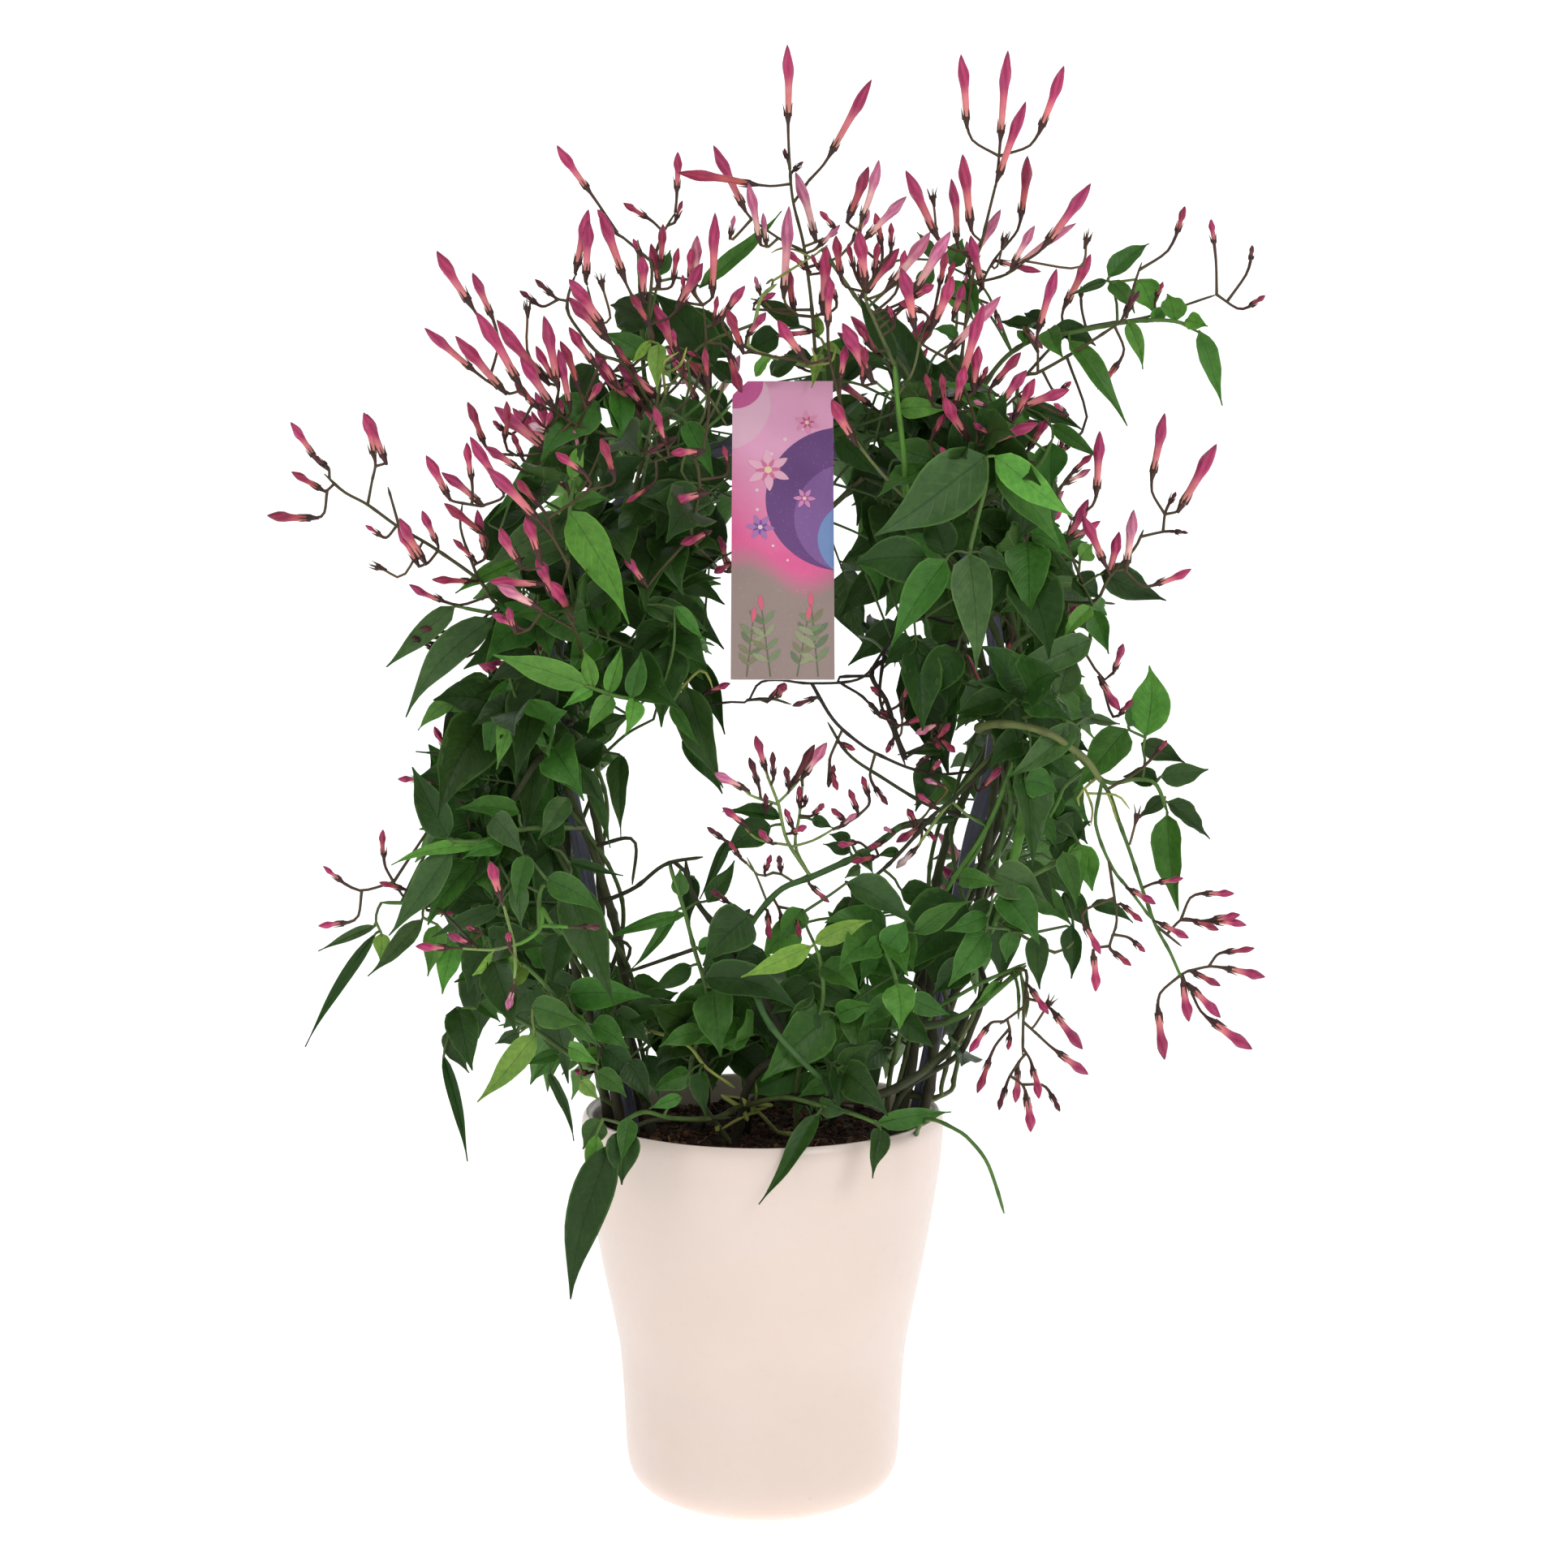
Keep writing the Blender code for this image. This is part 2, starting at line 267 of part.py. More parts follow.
# ---------------------------------------------------------------- flower buds
# stems: U, V, D lines. buds: tip U, V, calyx U, V, girth, tone (p pink, r deep red, s pale pink, k unripe and dark, y green).
PANICLES = {
    "flower_cluster_top_spire": dict(stems=[[(1012, 560, -2), (1006, 470, -8), (1002, 400, -12), (992, 310, -16), (977, 250, -18), (973, 200, -20)], [(977, 250, -18), (1000, 218, -14)], [(992, 310, -16), (960, 294, -22), (926, 270, -26)]], buds=[
        (970, 55, 971, 147, 1.0, "p"), (1074, 98, 1024, 188, 1.0, "p"), (835, 213, 928, 227, 1.0, "r"), (879, 179, 916, 255, 1.0, "p"), (980, 212, 1004, 292, 1.0, "s"), (972, 254, 966, 360, 1.1, "s"),
        (1018, 302, 1014, 380, 1.2, "p"), (969, 326, 978, 380, 1.0, "r"), (922, 225, 936, 296, 0.9, "s"), (940, 262, 944, 300, 0.7, "s"), (1010, 260, 1028, 280, 0.8, "p")]),
    "flower_cluster_top_right_spire": dict(stems=[[(1166, 620, -4), (1178, 500, -12), (1190, 400, -16), (1200, 330, -18), (1212, 290, -20), (1228, 222, -22)], [(1190, 400, -16), (1216, 336, -10), (1240, 300, -8)], [(1200, 350, -18), (1240, 338, -24), (1270, 316, -30)]], buds=[
        (1184, 67, 1191, 151, 1.0, "p"), (1242, 62, 1233, 168, 1.0, "p"), (1264, 125, 1230, 218, 1.0, "p"), (1311, 81, 1282, 159, 1.0, "p"), (1266, 192, 1258, 266, 1.0, "r"), (1344, 226, 1289, 300, 1.1, "p"),
        (1186, 190, 1196, 277, 1.1, "p"), (1172, 220, 1179, 295, 0.9, "p"), (1116, 210, 1153, 289, 1.1, "p"), (1275, 278, 1248, 326, 0.9, "s"), (1326, 275, 1250, 330, 0.8, "s"), (1196, 290, 1210, 350, 1.0, "p"), (1283, 335, 1230, 322, 0.7, "p"), (1233, 258, 1196, 320, 0.9, "s")]),
    "flower_cluster_top_left_spire": dict(stems=[[(800, 580, -12), (812, 480, -20), (800, 400, -26), (803, 330, -26), (790, 312, -26), (761, 287, -28)], [(803, 330, -26), (816, 290, -20), (832, 262, -16)], [(800, 400, -26), (776, 360, -32)]], buds=[
        (686, 179, 725, 234, 0.9, "p"), (736, 258, 757, 285, 0.8, "p"), (835, 187, 834, 235, 0.9, "p"), (841, 247, 833, 270, 0.7, "r"), (768, 250, 797, 268, 0.8, "r"), (725, 258, 710, 330, 1.0, "p"), (726, 272, 721, 340, 1.0, "p"), (739, 258, 768, 340, 1.1, "p"),
        (881, 262, 878, 360, 1.0, "p"), (859, 290, 856, 352, 1.0, "s"), (817, 276, 814, 325, 0.9, "r"), (790, 312, 792, 368, 1.1, "p"), (836, 305, 830, 345, 0.8, "r"), (866, 324, 836, 378, 1.1, "p"), (802, 300, 812, 350, 0.9, "r")]),
    "flower_cluster_left_upper": dict(stems=[[(800, 500, -14), (770, 450, -26), (738, 436, -30), (712, 405, -32), (700, 386, -32)], [(770, 450, -26), (740, 400, -34)]], buds=[
        (640, 358, 661, 374, 0.8, "k"), (659, 344, 681, 364, 0.8, "k"), (701, 344, 742, 402, 1.2, "p"), (700, 366, 748, 418, 1.1, "p"), (701, 403, 732, 448, 1.0, "p"), (733, 436, 786, 510, 1.2, "p"), (761, 450, 812, 490, 1.2, "p"), (805, 372, 838, 442, 1.2, "p"), (776, 360, 800, 400, 0.9, "r"), (768, 470, 790, 498, 1.0, "p"), (742, 470, 722, 500, 1.0, "p")]),
    "flower_cluster_left_crown": dict(stems=[[(800, 560, -10), (760, 540, -22), (712, 524, -30), (684, 508, -34), (650, 492, -36)], [(684, 508, -34), (690, 470, -36)], [(712, 524, -30), (724, 500, -36)]], buds=[
        (538, 309, 579, 374, 1.1, "p"), (582, 336, 606, 390, 0.9, "p"), (523, 404, 582, 455, 0.9, "p"), (561, 414, 619, 480, 1.1, "p"), (586, 384, 638, 470, 1.2, "p"), (612, 394, 672, 468, 1.2, "p"), (670, 389, 686, 470, 1.1, "p"), (641, 440, 680, 500, 1.1, "p"), (690, 420, 712, 476, 0.9, "r"), (688, 430, 702, 500, 0.9, "p"), (660, 426, 684, 470, 0.9, "p"),
        (634, 472, 662, 502, 1.0, "r"), (576, 495, 596, 545, 0.9, "r"), (609, 501, 672, 554, 1.2, "p"), (624, 494, 622, 540, 0.8, "r")]),
    "flower_cluster_left_arm": dict(stems=[[(706, 850, -6), (660, 780, -24), (610, 742, -34), (590, 715, -36), (536, 676, -34), (492, 650, -32), (453, 622, -30), (424, 606, -28), (400, 584, -27)], [(492, 650, -32), (478, 600, -30)], [(453, 622, -30), (460, 585, -28)], [(590, 715, -36), (568, 654, -38), (570, 620, -40)]], buds=[
        (358, 520, 388, 564, 0.9, "p"), (448, 508, 461, 562, 1.0, "p"), (452, 510, 474, 566, 1.0, "p"), (359, 581, 396, 603, 0.9, "r"), (329, 635, 386, 638, 1.0, "r"), (450, 647, 469, 660, 0.7, "p"), (492, 638, 522, 690, 1.0, "p"), (490, 651, 514, 694, 0.9, "p"), (520, 629, 538, 668, 0.9, "p"), (386, 560, 402, 574, 0.6, "k"),
        (525, 561, 552, 611, 1.0, "p"), (544, 582, 592, 620, 0.9, "p"), (575, 545, 581, 590, 0.9, "p"), (579, 538, 618, 602, 1.0, "p"), (547, 620, 594, 656, 0.9, "r"), (588, 628, 598, 680, 0.9, "p"), (504, 720, 545, 740, 0.8, "p"), (532, 714, 580, 716, 0.8, "r"), (558, 664, 584, 690, 0.7, "r")]),
    "flower_cluster_left_inner": dict(stems=[[(720, 830, -30), (708, 776, -66), (690, 740, -72), (672, 712, -74)], [(708, 776, -66), (660, 750, -74)], [(690, 740, -72), (702, 690, -78)]], buds=[
        (600, 576, 662, 640, 1.1, "p"), (648, 636, 664, 684, 1.2, "p"), (616, 650, 640, 694, 1.1, "p"), (661, 686, 682, 736, 1.2, "p"), (678, 716, 704, 758, 1.2, "p"), (602, 716, 668, 720, 0.9, "p"), (612, 720, 662, 748, 1.1, "s"), (606, 756, 640, 774, 1.0, "p"), (626, 748, 634, 776, 1.0, "p"), (625, 846, 672, 850, 0.9, "p"), (684, 557, 718, 582, 1.0, "p"), (740, 540, 756, 584, 1.0, "r"), (636, 590, 664, 622, 1.0, "r")]),
    "flower_cluster_front_left": dict(stems=[[(880, 700, -20), (852, 660, -54), (862, 600, -62), (850, 560, -60), (800, 570, -56)], [(852, 660, -54), (800, 720, -62), (796, 745, -60)]], buds=[
        (822, 620, 868, 608, 1.2, "p"), (826, 558, 864, 556, 1.0, "p"), (838, 670, 872, 656, 1.0, "p"), (886, 660, 898, 700, 1.1, "p"), (769, 684, 794, 718, 1.0, "p"), (880, 706, 902, 694, 1.0, "p"), (794, 560, 830, 540, 0.6, "k"), (806, 500, 820, 545, 0.9, "p"), (770, 620, 800, 600, 0.7, "r"), (868, 428, 872, 470, 0.8, "r")]),
    "flower_cluster_front_top": dict(stems=[[(1120, 640, -20), (1112, 610, -48), (1080, 576, -54), (1056, 545, -56), (1048, 520, -54)], [(1112, 610, -48), (1106, 500, -46), (1080, 480, -48)], [(1106, 500, -46), (1112, 430, -44), (1070, 390, -46)]], buds=[
        (1025, 492, 1052, 542, 1.2, "p"), (1038, 398, 1072, 464, 1.3, "p"), (1058, 284, 1066, 350, 1.2, "p"), (1108, 306, 1064, 362, 1.1, "p"), (1070, 205, 1046, 268, 1.0, "r"), (1083, 197, 1062, 270, 0.9, "s"), (1117, 242, 1068, 292, 0.9, "s"), (1078, 262, 1086, 300, 0.9, "r"), (1098, 274, 1098, 305, 0.8, "r"), (1110, 330, 1126, 400, 1.2, "p"), (1034, 440, 1046, 402, 1.0, "p"),
        (958, 394, 990, 440, 1.1, "p"), (1030, 290, 1036, 340, 1.0, "r"), (1022, 340, 1020, 400, 0.9, "p"), (896, 380, 914, 430, 1.0, "r"), (918, 352, 896, 382, 0.9, "p"), (944, 385, 922, 408, 0.8, "s")]),
    "flower_cluster_front_top_right": dict(stems=[[(1196, 680, -20), (1196, 590, -52), (1204, 540, -54), (1196, 500, -50), (1176, 450, -44)], [(1204, 540, -54), (1240, 500, -46), (1262, 480, -44)]], buds=[
        (1163, 489, 1190, 536, 1.2, "p"), (1190, 392, 1190, 500, 1.2, "p"), (1228, 366, 1196, 440, 1.1, "s"), (1212, 374, 1184, 470, 1.1, "p"), (1206, 426, 1200, 480, 1.1, "p"), (1265, 456, 1230, 500, 1.1, "p"), (1275, 466, 1250, 515, 1.1, "p"), (1318, 480, 1258, 500, 1.0, "p"), (1164, 510, 1150, 536, 0.9, "r"), (1256, 432, 1240, 456, 0.9, "r"), (1174, 340, 1150, 400, 1.1, "p"), (1166, 310, 1158, 350, 0.9, "r"), (1150, 378, 1136, 406, 0.9, "p"), (1140, 460, 1148, 494, 0.8, "r"), (1160, 460, 1164, 496, 0.8, "r"), (1158, 550, 1172, 572, 0.9, "p")]),
    "flower_cluster_right_upper": dict(stems=[[(1200, 620, -2), (1244, 560, -14), (1256, 470, -18), (1279, 459, -20), (1330, 430, -22), (1388, 392, -24)], [(1279, 459, -20), (1279, 430, -20)], [(1256, 470, -18), (1320, 410, -10), (1415, 390, -12), (1499, 363, -14)], [(1388, 392, -24), (1398, 350, -26), (1407, 323, -26)]], buds=[
        (1302, 331, 1280, 405, 1.0, "p"), (1344, 313, 1313, 375, 1.0, "p"), (1460, 254, 1450, 287, 0.9, "r"), (1492, 270, 1496, 300, 0.8, "p"), (1543, 302, 1541, 320, 0.7, "k"), (1559, 364, 1540, 377, 0.8, "r"), (1433, 347, 1425, 365, 0.6, "r"), (1352, 480, 1378, 447, 1.0, "r"), (1404, 358, 1388, 384, 0.8, "k"), (1398, 360, 1386, 386, 0.8, "k"), (1332, 352, 1332, 366, 0.5, "k"),
        (1292, 514, 1270, 550, 1.0, "p"), (1274, 518, 1222, 536, 1.0, "p"), (1208, 520, 1230, 532, 0.8, "p")]),
    "flower_cluster_right_side": dict(stems=[[(1216, 760, -6), (1280, 740, -24), (1345, 742, -30), (1366, 712, -32), (1398, 676, -30), (1409, 653, -30)], [(1345, 742, -30), (1316, 672, -34), (1320, 640, -36)], [(1345, 742, -30), (1374, 744, -26)]], buds=[
        (1435, 509, 1420, 586, 1.0, "p"), (1499, 547, 1455, 624, 1.2, "p"), (1449, 606, 1441, 620, 0.7, "k"), (1397, 628, 1388, 697, 1.0, "s"), (1379, 655, 1366, 710, 1.0, "p"), (1468, 701, 1424, 720, 0.9, "p"), (1355, 531, 1351, 606, 1.0, "p"), (1341, 615, 1312, 672, 1.0, "p"), (1334, 635, 1360, 692, 1.0, "p"), (1464, 657, 1448, 655, 0.5, "k"),
        (1346, 560, 1322, 582, 0.9, "r"), (1344, 578, 1312, 596, 0.8, "s"), (1356, 642, 1318, 664, 0.9, "p"), (1310, 672, 1268, 682, 0.9, "p"), (1384, 793, 1373, 826, 0.9, "p"), (1380, 876, 1356, 838, 1.0, "p"), (1396, 862, 1380, 880, 0.8, "r"), (1326, 746, 1316, 764, 0.9, "p"), (1238, 812, 1246, 788, 0.9, "r")]),
    "flower_cluster_right_hanging": dict(stems=[[(1196, 905, -16), (1246, 893, -30), (1295, 906, -42), (1330, 934, -48), (1359, 966, -50), (1374, 1010, -50), (1399, 1076, -48), (1424, 1140, -46), (1446, 1192, -44), (1468, 1222, -42)], [(1352, 968, -50), (1349, 1022, -54), (1364, 1062, -54), (1392, 1100, -52), (1418, 1132, -50)], [(1364, 1062, -54), (1376, 1130, -58), (1368, 1160, -58)], [(1424, 1140, -46), (1456, 1166, -42)]], buds=[
        (1521, 1101, 1483, 1101, 0.9, "p"), (1528, 1127, 1494, 1133, 1.0, "p"), (1536, 1140, 1496, 1136, 0.9, "p"), (1546, 1168, 1510, 1173, 0.8, "r"), (1559, 1204, 1510, 1193, 1.0, "p"), (1504, 1215, 1470, 1198, 0.9, "r"), (1504, 1254, 1468, 1216, 1.0, "p"), (1465, 1259, 1458, 1208, 1.1, "p"), (1543, 1293, 1492, 1257, 1.1, "p"), (1435, 1306, 1427, 1244, 1.0, "p"),
        (1394, 1190, 1372, 1173, 0.9, "r"), (1350, 1222, 1347, 1176, 1.0, "p"), (1356, 1176, 1336, 1140, 0.9, "p"), (1411, 1173, 1397, 1160, 0.8, "p"), (1465, 1156, 1430, 1138, 0.9, "p"), (1502, 1146, 1470, 1134, 0.9, "r"), (1424, 1114, 1392, 1096, 0.9, "p"), (1458, 1082, 1428, 1087, 0.7, "p"), (1408, 1136, 1384, 1116, 0.8, "r")]),
    "flower_cluster_base_right": dict(stems=[[(1196, 1240, -16), (1222, 1212, -24), (1262, 1194, -30), (1263, 1230, -36), (1261, 1259, -38), (1260, 1300, -38)], [(1261, 1259, -38), (1282, 1278, -36)], [(1261, 1240, -37), (1232, 1262, -40)]], buds=[
        (1194, 1297, 1217, 1265, 0.9, "p"), (1204, 1347, 1219, 1305, 0.9, "r"), (1231, 1368, 1239, 1340, 0.8, "k"), (1251, 1359, 1254, 1317, 0.9, "p"), (1270, 1395, 1264, 1349, 1.1, "p"), (1280, 1354, 1272, 1315, 1.0, "p"), (1306, 1370, 1294, 1347, 0.8, "k"), (1341, 1324, 1303, 1296, 1.0, "p"), (1334, 1293, 1299, 1248, 1.0, "p"), (1242, 1294, 1244, 1276, 0.8, "r"), (1292, 1250, 1270, 1218, 0.9, "p")]),
    "flower_cluster_window": dict(stems=[[(1178, 1010, -16), (1110, 1036, -26), (1050, 1062, -32), (998, 1079, -36), (950, 1102, -38), (924, 1136, -38)], [(998, 1079, -36), (978, 1020, -38), (962, 990, -38), (948, 960, -38)], [(998, 1079, -36), (984, 1030, -34), (988, 980, -32)], [(1110, 1036, -26), (1150, 990, -32)], [(962, 990, -38), (925, 974, -40)]], buds=[
        (931, 906, 943, 947, 1.0, "p"), (952, 926, 953, 956, 0.8, "k"), (923, 933, 934, 966, 0.9, "k"), (968, 944, 972, 970, 0.8, "k"), (1019, 915, 990, 956, 1.1, "s"), (880, 952, 918, 972, 1.1, "s"), (890, 995, 918, 1016, 1.0, "p"), (967, 996, 976, 1018, 0.9, "p"), (1062, 956, 1070, 980, 0.9, "r"), (1046, 972, 1056, 998, 0.9, "r"), (1024, 996, 1040, 1010, 0.9, "r"), (1032, 1040, 1054, 1038, 0.9, "p"), (1056, 1002, 1036, 1018, 0.9, "s"),
        (1104, 1040, 1136, 1018, 1.2, "p"), (1104, 1030, 1136, 1014, 1.2, "p"), (1108, 1066, 1132, 1036, 1.2, "s"), (1118, 996, 1128, 1016, 1.1, "r"), (1190, 950, 1160, 964, 1.0, "p"), (1130, 978, 1150, 992, 0.9, "p"), (1112, 970, 1140, 960, 1.0, "p"), (1022, 1112, 1000, 1092, 0.8, "p"), (948, 1156, 944, 1128, 0.9, "r"), (970, 1154, 962, 1130, 0.9, "r"), (985, 1154, 984, 1136, 0.8, "r")]),
    "flower_cluster_arch": dict(stems=[[(1120, 760, -10), (1090, 800, -22), (1060, 836, -30), (1000, 842, -34), (960, 838, -34)], [(1090, 800, -22), (1084, 860, -28), (1100, 900, -28), (1116, 944, -26)], [(1000, 842, -34), (1028, 884, -38), (1060, 916, -36), (1100, 936, -32)]], buds=[
        (968, 842, 958, 858, 1.0, "r"), (976, 870, 1004, 860, 0.8, "k"), (1072, 846, 1088, 858, 0.9, "r"), (1084, 874, 1104, 892, 1.0, "r"), (1146, 870, 1116, 888, 1.0, "r"), (1140, 882, 1114, 892, 0.9, "k"), (1122, 842, 1112, 862, 0.9, "r"), (1054, 924, 1036, 916, 0.9, "r"), (1092, 928, 1100, 912, 0.9, "p"), (1128, 904, 1156, 892, 1.0, "s"), (1158, 924, 1150, 900, 0.9, "r"), (1070, 864, 1082, 880, 0.9, "k"), (1032, 974, 1024, 950, 0.9, "r"), (1028, 942, 1022, 965, 0.8, "k"), (1094, 992, 1078, 970, 0.8, "k")]),
    "flower_cluster_left_low": dict(stems=[[(744, 1190, -4), (700, 1160, -30), (668, 1140, -44), (632, 1168, -50), (590, 1170, -50), (560, 1168, -48)], [(668, 1140, -44), (700, 1142, -56)], [(632, 1168, -50), (616, 1110, -48)], [(590, 1170, -50), (540, 1120, -40), (508, 1116, -34), (480, 1080, -30)]], buds=[
        (512, 1166, 552, 1168, 1.0, "p"), (552, 1151, 580, 1163, 1.1, "p"), (604, 1061, 616, 1104, 1.2, "p"), (626, 1148, 628, 1166, 1.1, "p"), (740, 1142, 718, 1142, 0.8, "k"), (574, 1142, 590, 1148, 0.8, "p"), (472, 1022, 473, 1056, 0.8, "r"), (398, 1067, 421, 1086, 0.7, "p"), (467, 1087, 496, 1095, 0.8, "r"), (392, 1141, 426, 1137, 0.9, "p"), (625, 1245, 633, 1216, 1.1, "s"), (708, 1320, 724, 1322, 1.0, "p"), (560, 1125, 530, 1122, 0.7, "r")]),
}

# ---------------------------------------------------------------- dimensions
SMALLEST_LEAF = 1100.0          # the smallest leaf that a shoot carries, as width times length in drawing units
ROUND = 34                      # facets round the pot
LEAF_THICK = 0.0009
SHOOT_RADIUS = 0.0011
CLUSTER_STEM_RADIUS = 0.0010
BUD_RADIUS = 0.0021
SMALLEST_BUD = 45.0             # the shortest bud that a cluster carries, in drawing units
POT_OUTSIDE = [(0.0388, 0.0), (0.0452, 0.0013), (0.0506, 0.0044), (0.0543, 0.0100), (0.0556, 0.0165), (0.0561, 0.0250), (0.0572, 0.0460), (0.0590, 0.0640), (0.0659, 0.0980),
               (0.0716, 0.1320), (0.0729, 0.1440), (POT_RIM_RADIUS, 0.1515), (0.0725, 0.1555), (0.0706, POT_HEIGHT)]
POT_INSIDE = [(0.0689, 0.1557), (0.0680, 0.1520), (0.0677, 0.1440), (0.0662, 0.1300), (0.0606, 0.0980), (0.0538, 0.0640), (0.0502, 0.0200), (0.0470, 0.0070)]

for old in list(bpy.data.objects):
    bpy.data.objects.remove(old, do_unlink=True)


def material(name, colour, rough, metallic=0.0, coat=0.0):
    m = bpy.data.materials.new(name)
    m.use_nodes = True
    s = m.node_tree.nodes["Principled BSDF"]
    s.inputs["Base Color"].default_value = (*colour, 1.0)
    s.inputs["Roughness"].default_value = rough
    s.inputs["Metallic"].default_value = metallic
    s.inputs["Coat Weight"].default_value = coat
    m.diffuse_color = (*colour, 1.0)
    return m


CREAM = material("cream_glaze", (0.84, 0.70, 0.61), 0.28, coat=0.3)
SOIL = material("dark_soil", (0.045, 0.024, 0.018), 0.95)
SLATE = material("slate_plastic", (0.050, 0.052, 0.085), 0.45)
CARD = material("printed_card", (0.62, 0.30, 0.52), 0.5)
GREEN = material("leaf_green", (0.045, 0.120, 0.030), 0.5)
GREEN_DEEP = material("leaf_green_deep", (0.024, 0.062, 0.020), 0.5)
STEM = material("stem_olive", (0.075, 0.110, 0.035), 0.6)
PINK = material("petal_pink", (0.42, 0.045, 0.12), 0.5)


def mesh_object(name, verts, faces, mat, smooth_shade=True):
    me = bpy.data.meshes.new(name)
    me.from_pydata([tuple(v) for v in verts], [], faces)
    bm = bmesh.new()
    bm.from_mesh(me)
    bmesh.ops.recalc_face_normals(bm, faces=bm.faces)
    bm.to_mesh(me)
    bm.free()
    me.materials.append(mat)
    for p in me.polygons:
        p.use_smooth = smooth_shade
    ob = bpy.data.objects.new(name, me)
    bpy.context.scene.collection.objects.link(ob)
    return ob


def drop(ob):
    me = ob.data
    bpy.data.objects.remove(ob, do_unlink=True)
    bpy.data.meshes.remove(me)


def evaluated(ob):
    bpy.context.view_layer.update()
    graph = bpy.context.evaluated_depsgraph_get()
    return bpy.data.meshes.new_from_object(ob.evaluated_get(graph))


def whole(me):
    """True when every edge of the mesh has two faces."""
    bm = bmesh.new()
    bm.from_mesh(me)
    fine = len(bm.faces) > 3 and all(len(e.link_faces) == 2 for e in bm.edges)
    bm.free()
    return fine


def sound(me, least):
    """True for one island whose every edge has two faces and whose every corner has one fan of faces."""
    bm = bmesh.new()
    bm.from_mesh(me)
    fine = len(bm.faces) > 3 and all(len(e.link_faces) == 2 for e in bm.edges)
    if fine:
        seen, stack = set(), [bm.verts[:][0]]
        while stack:
            v = stack.pop()
            if v in seen:
                continue
            seen.add(v)
            stack.extend(e.other_vert(v) for e in v.link_edges)
        fine = len(seen) == len(bm.verts)
        shortest = min(e.calc_length() for e in bm.edges)
        fine = fine and shortest > 4e-7 and bm.calc_volume() > least
    bm.free()
    return fine


def volume(me):
    bm = bmesh.new()
    bm.from_mesh(me)
    v = bm.calc_volume()
    bm.free()
    return v


def in_threes(me):
    bm = bmesh.new()
    bm.from_mesh(me)
    bmesh.ops.triangulate(bm, faces=bm.faces)
    bm.to_mesh(me)
    bm.free()


def unite(name, shells, mat):
    """One body from overlapping closed shells, joined one after another."""
    rnd = random.Random(len(shells))
    base = mesh_object(name, shells[0][0], shells[0][1], mat, False)
    in_threes(base.data)
    for i, (v, f) in enumerate(shells[1:]):
        done = False
        least = volume(base.data) * 0.9999
        for attempt in range(5):
            nudge = Vector([rnd.uniform(-0.00012, 0.00012) * attempt for _ in range(3)])
            h = mesh_object("%s_helper" % name, [p + nudge for p in v], f, mat, False)
            h.hide_render = True
            for solver in ("EXACT", "MANIFOLD"):
                mod = base.modifiers.new("united", "BOOLEAN")
                mod.operation = "UNION"
                mod.solver = solver
                mod.object = h
                me = evaluated(base)
                base.modifiers.remove(mod)
                in_threes(me)
                if sound(me, least):
                    old = base.data
                    base.data = me
                    bpy.data.meshes.remove(old)
                    done = True
                    break
                bpy.data.meshes.remove(me)
            drop(h)
            if done:
                break
    base.data.name = name
    base.data.materials.clear()
    base.data.materials.append(mat)
    for p in base.data.polygons:
        p.use_smooth = False
    return base


def cut(ob, cutters):
    """Takes closed shells away from a body, one at a time."""
    for i, (v, f) in enumerate(cutters):
        c = mesh_object("pocket_%d" % i, v, f, SOIL)
        c.hide_render = True
        c.display_type = "WIRE"
        mod = ob.modifiers.new("pocket", "BOOLEAN")
        mod.operation = "DIFFERENCE"
        mod.solver = "EXACT"
        mod.object = c
        me = evaluated(ob)
        ob.modifiers.remove(mod)
        if whole(me):
            old = ob.data
            ob.data = me
            bpy.data.meshes.remove(old)
        drop(c)


def tube(points, r0, r1, sides, tip=False):
    n = len(points)
    last = n - 1 if tip else n
    return loft(points, [ring(r0 + (r1 - r0) * i / (n - 1), sides, 0.4) for i in range(last)], tip=tip)


def tree(shell):
    return BVHTree.FromPolygons([tuple(v) for v in shell[0]], shell[1])


TAKEN = []      # (owner, search tree) of every shell already placed


def clashes(shell, owner):
    t = tree(shell)
    return [who for who, other in TAKEN if who != owner and t.overlap(other)]


# ---------------------------------------------------------------- pot
def lathe(profile, low_cap, high_cap, bump=0.0):
    verts, faces, rnd = [], [], random.Random(5)
    for i, (r, z) in enumerate(profile):
        for j in range(ROUND):
            a = 2 * math.pi * j / ROUND
            lift = bump * rnd.uniform(-1, 1) if bump and i >= bump_from else 0.0
            verts.append(Vector((r * math.cos(a), r * math.sin(a), z + lift)))
    for i in range(len(profile) - 1):
        for j in range(ROUND):
            m = (j + 1) % ROUND
            faces.append((i * ROUND + j, i * ROUND + m, (i + 1) * ROUND + m, (i + 1) * ROUND + j))
    for cap, row in ((low_cap, 0), (high_cap, len(profile) - 1)):
        verts.append(Vector((0, 0, cap)))
        k = len(verts) - 1
        for j in range(ROUND):
            m = (j + 1) % ROUND
            faces.append((row * ROUND + m, row * ROUND + j, k))
    return verts, faces


bump_from = 99
pot_shell = lathe(POT_OUTSIDE + POT_INSIDE, 0.0, POT_INSIDE[-1][1])
mesh_object("cover_pot", *pot_shell, CREAM)
TAKEN.append(("cover_pot", tree(pot_shell)))

# ---------------------------------------------------------------- hoop
hoop_line = smooth(hoop_point(0), 46)


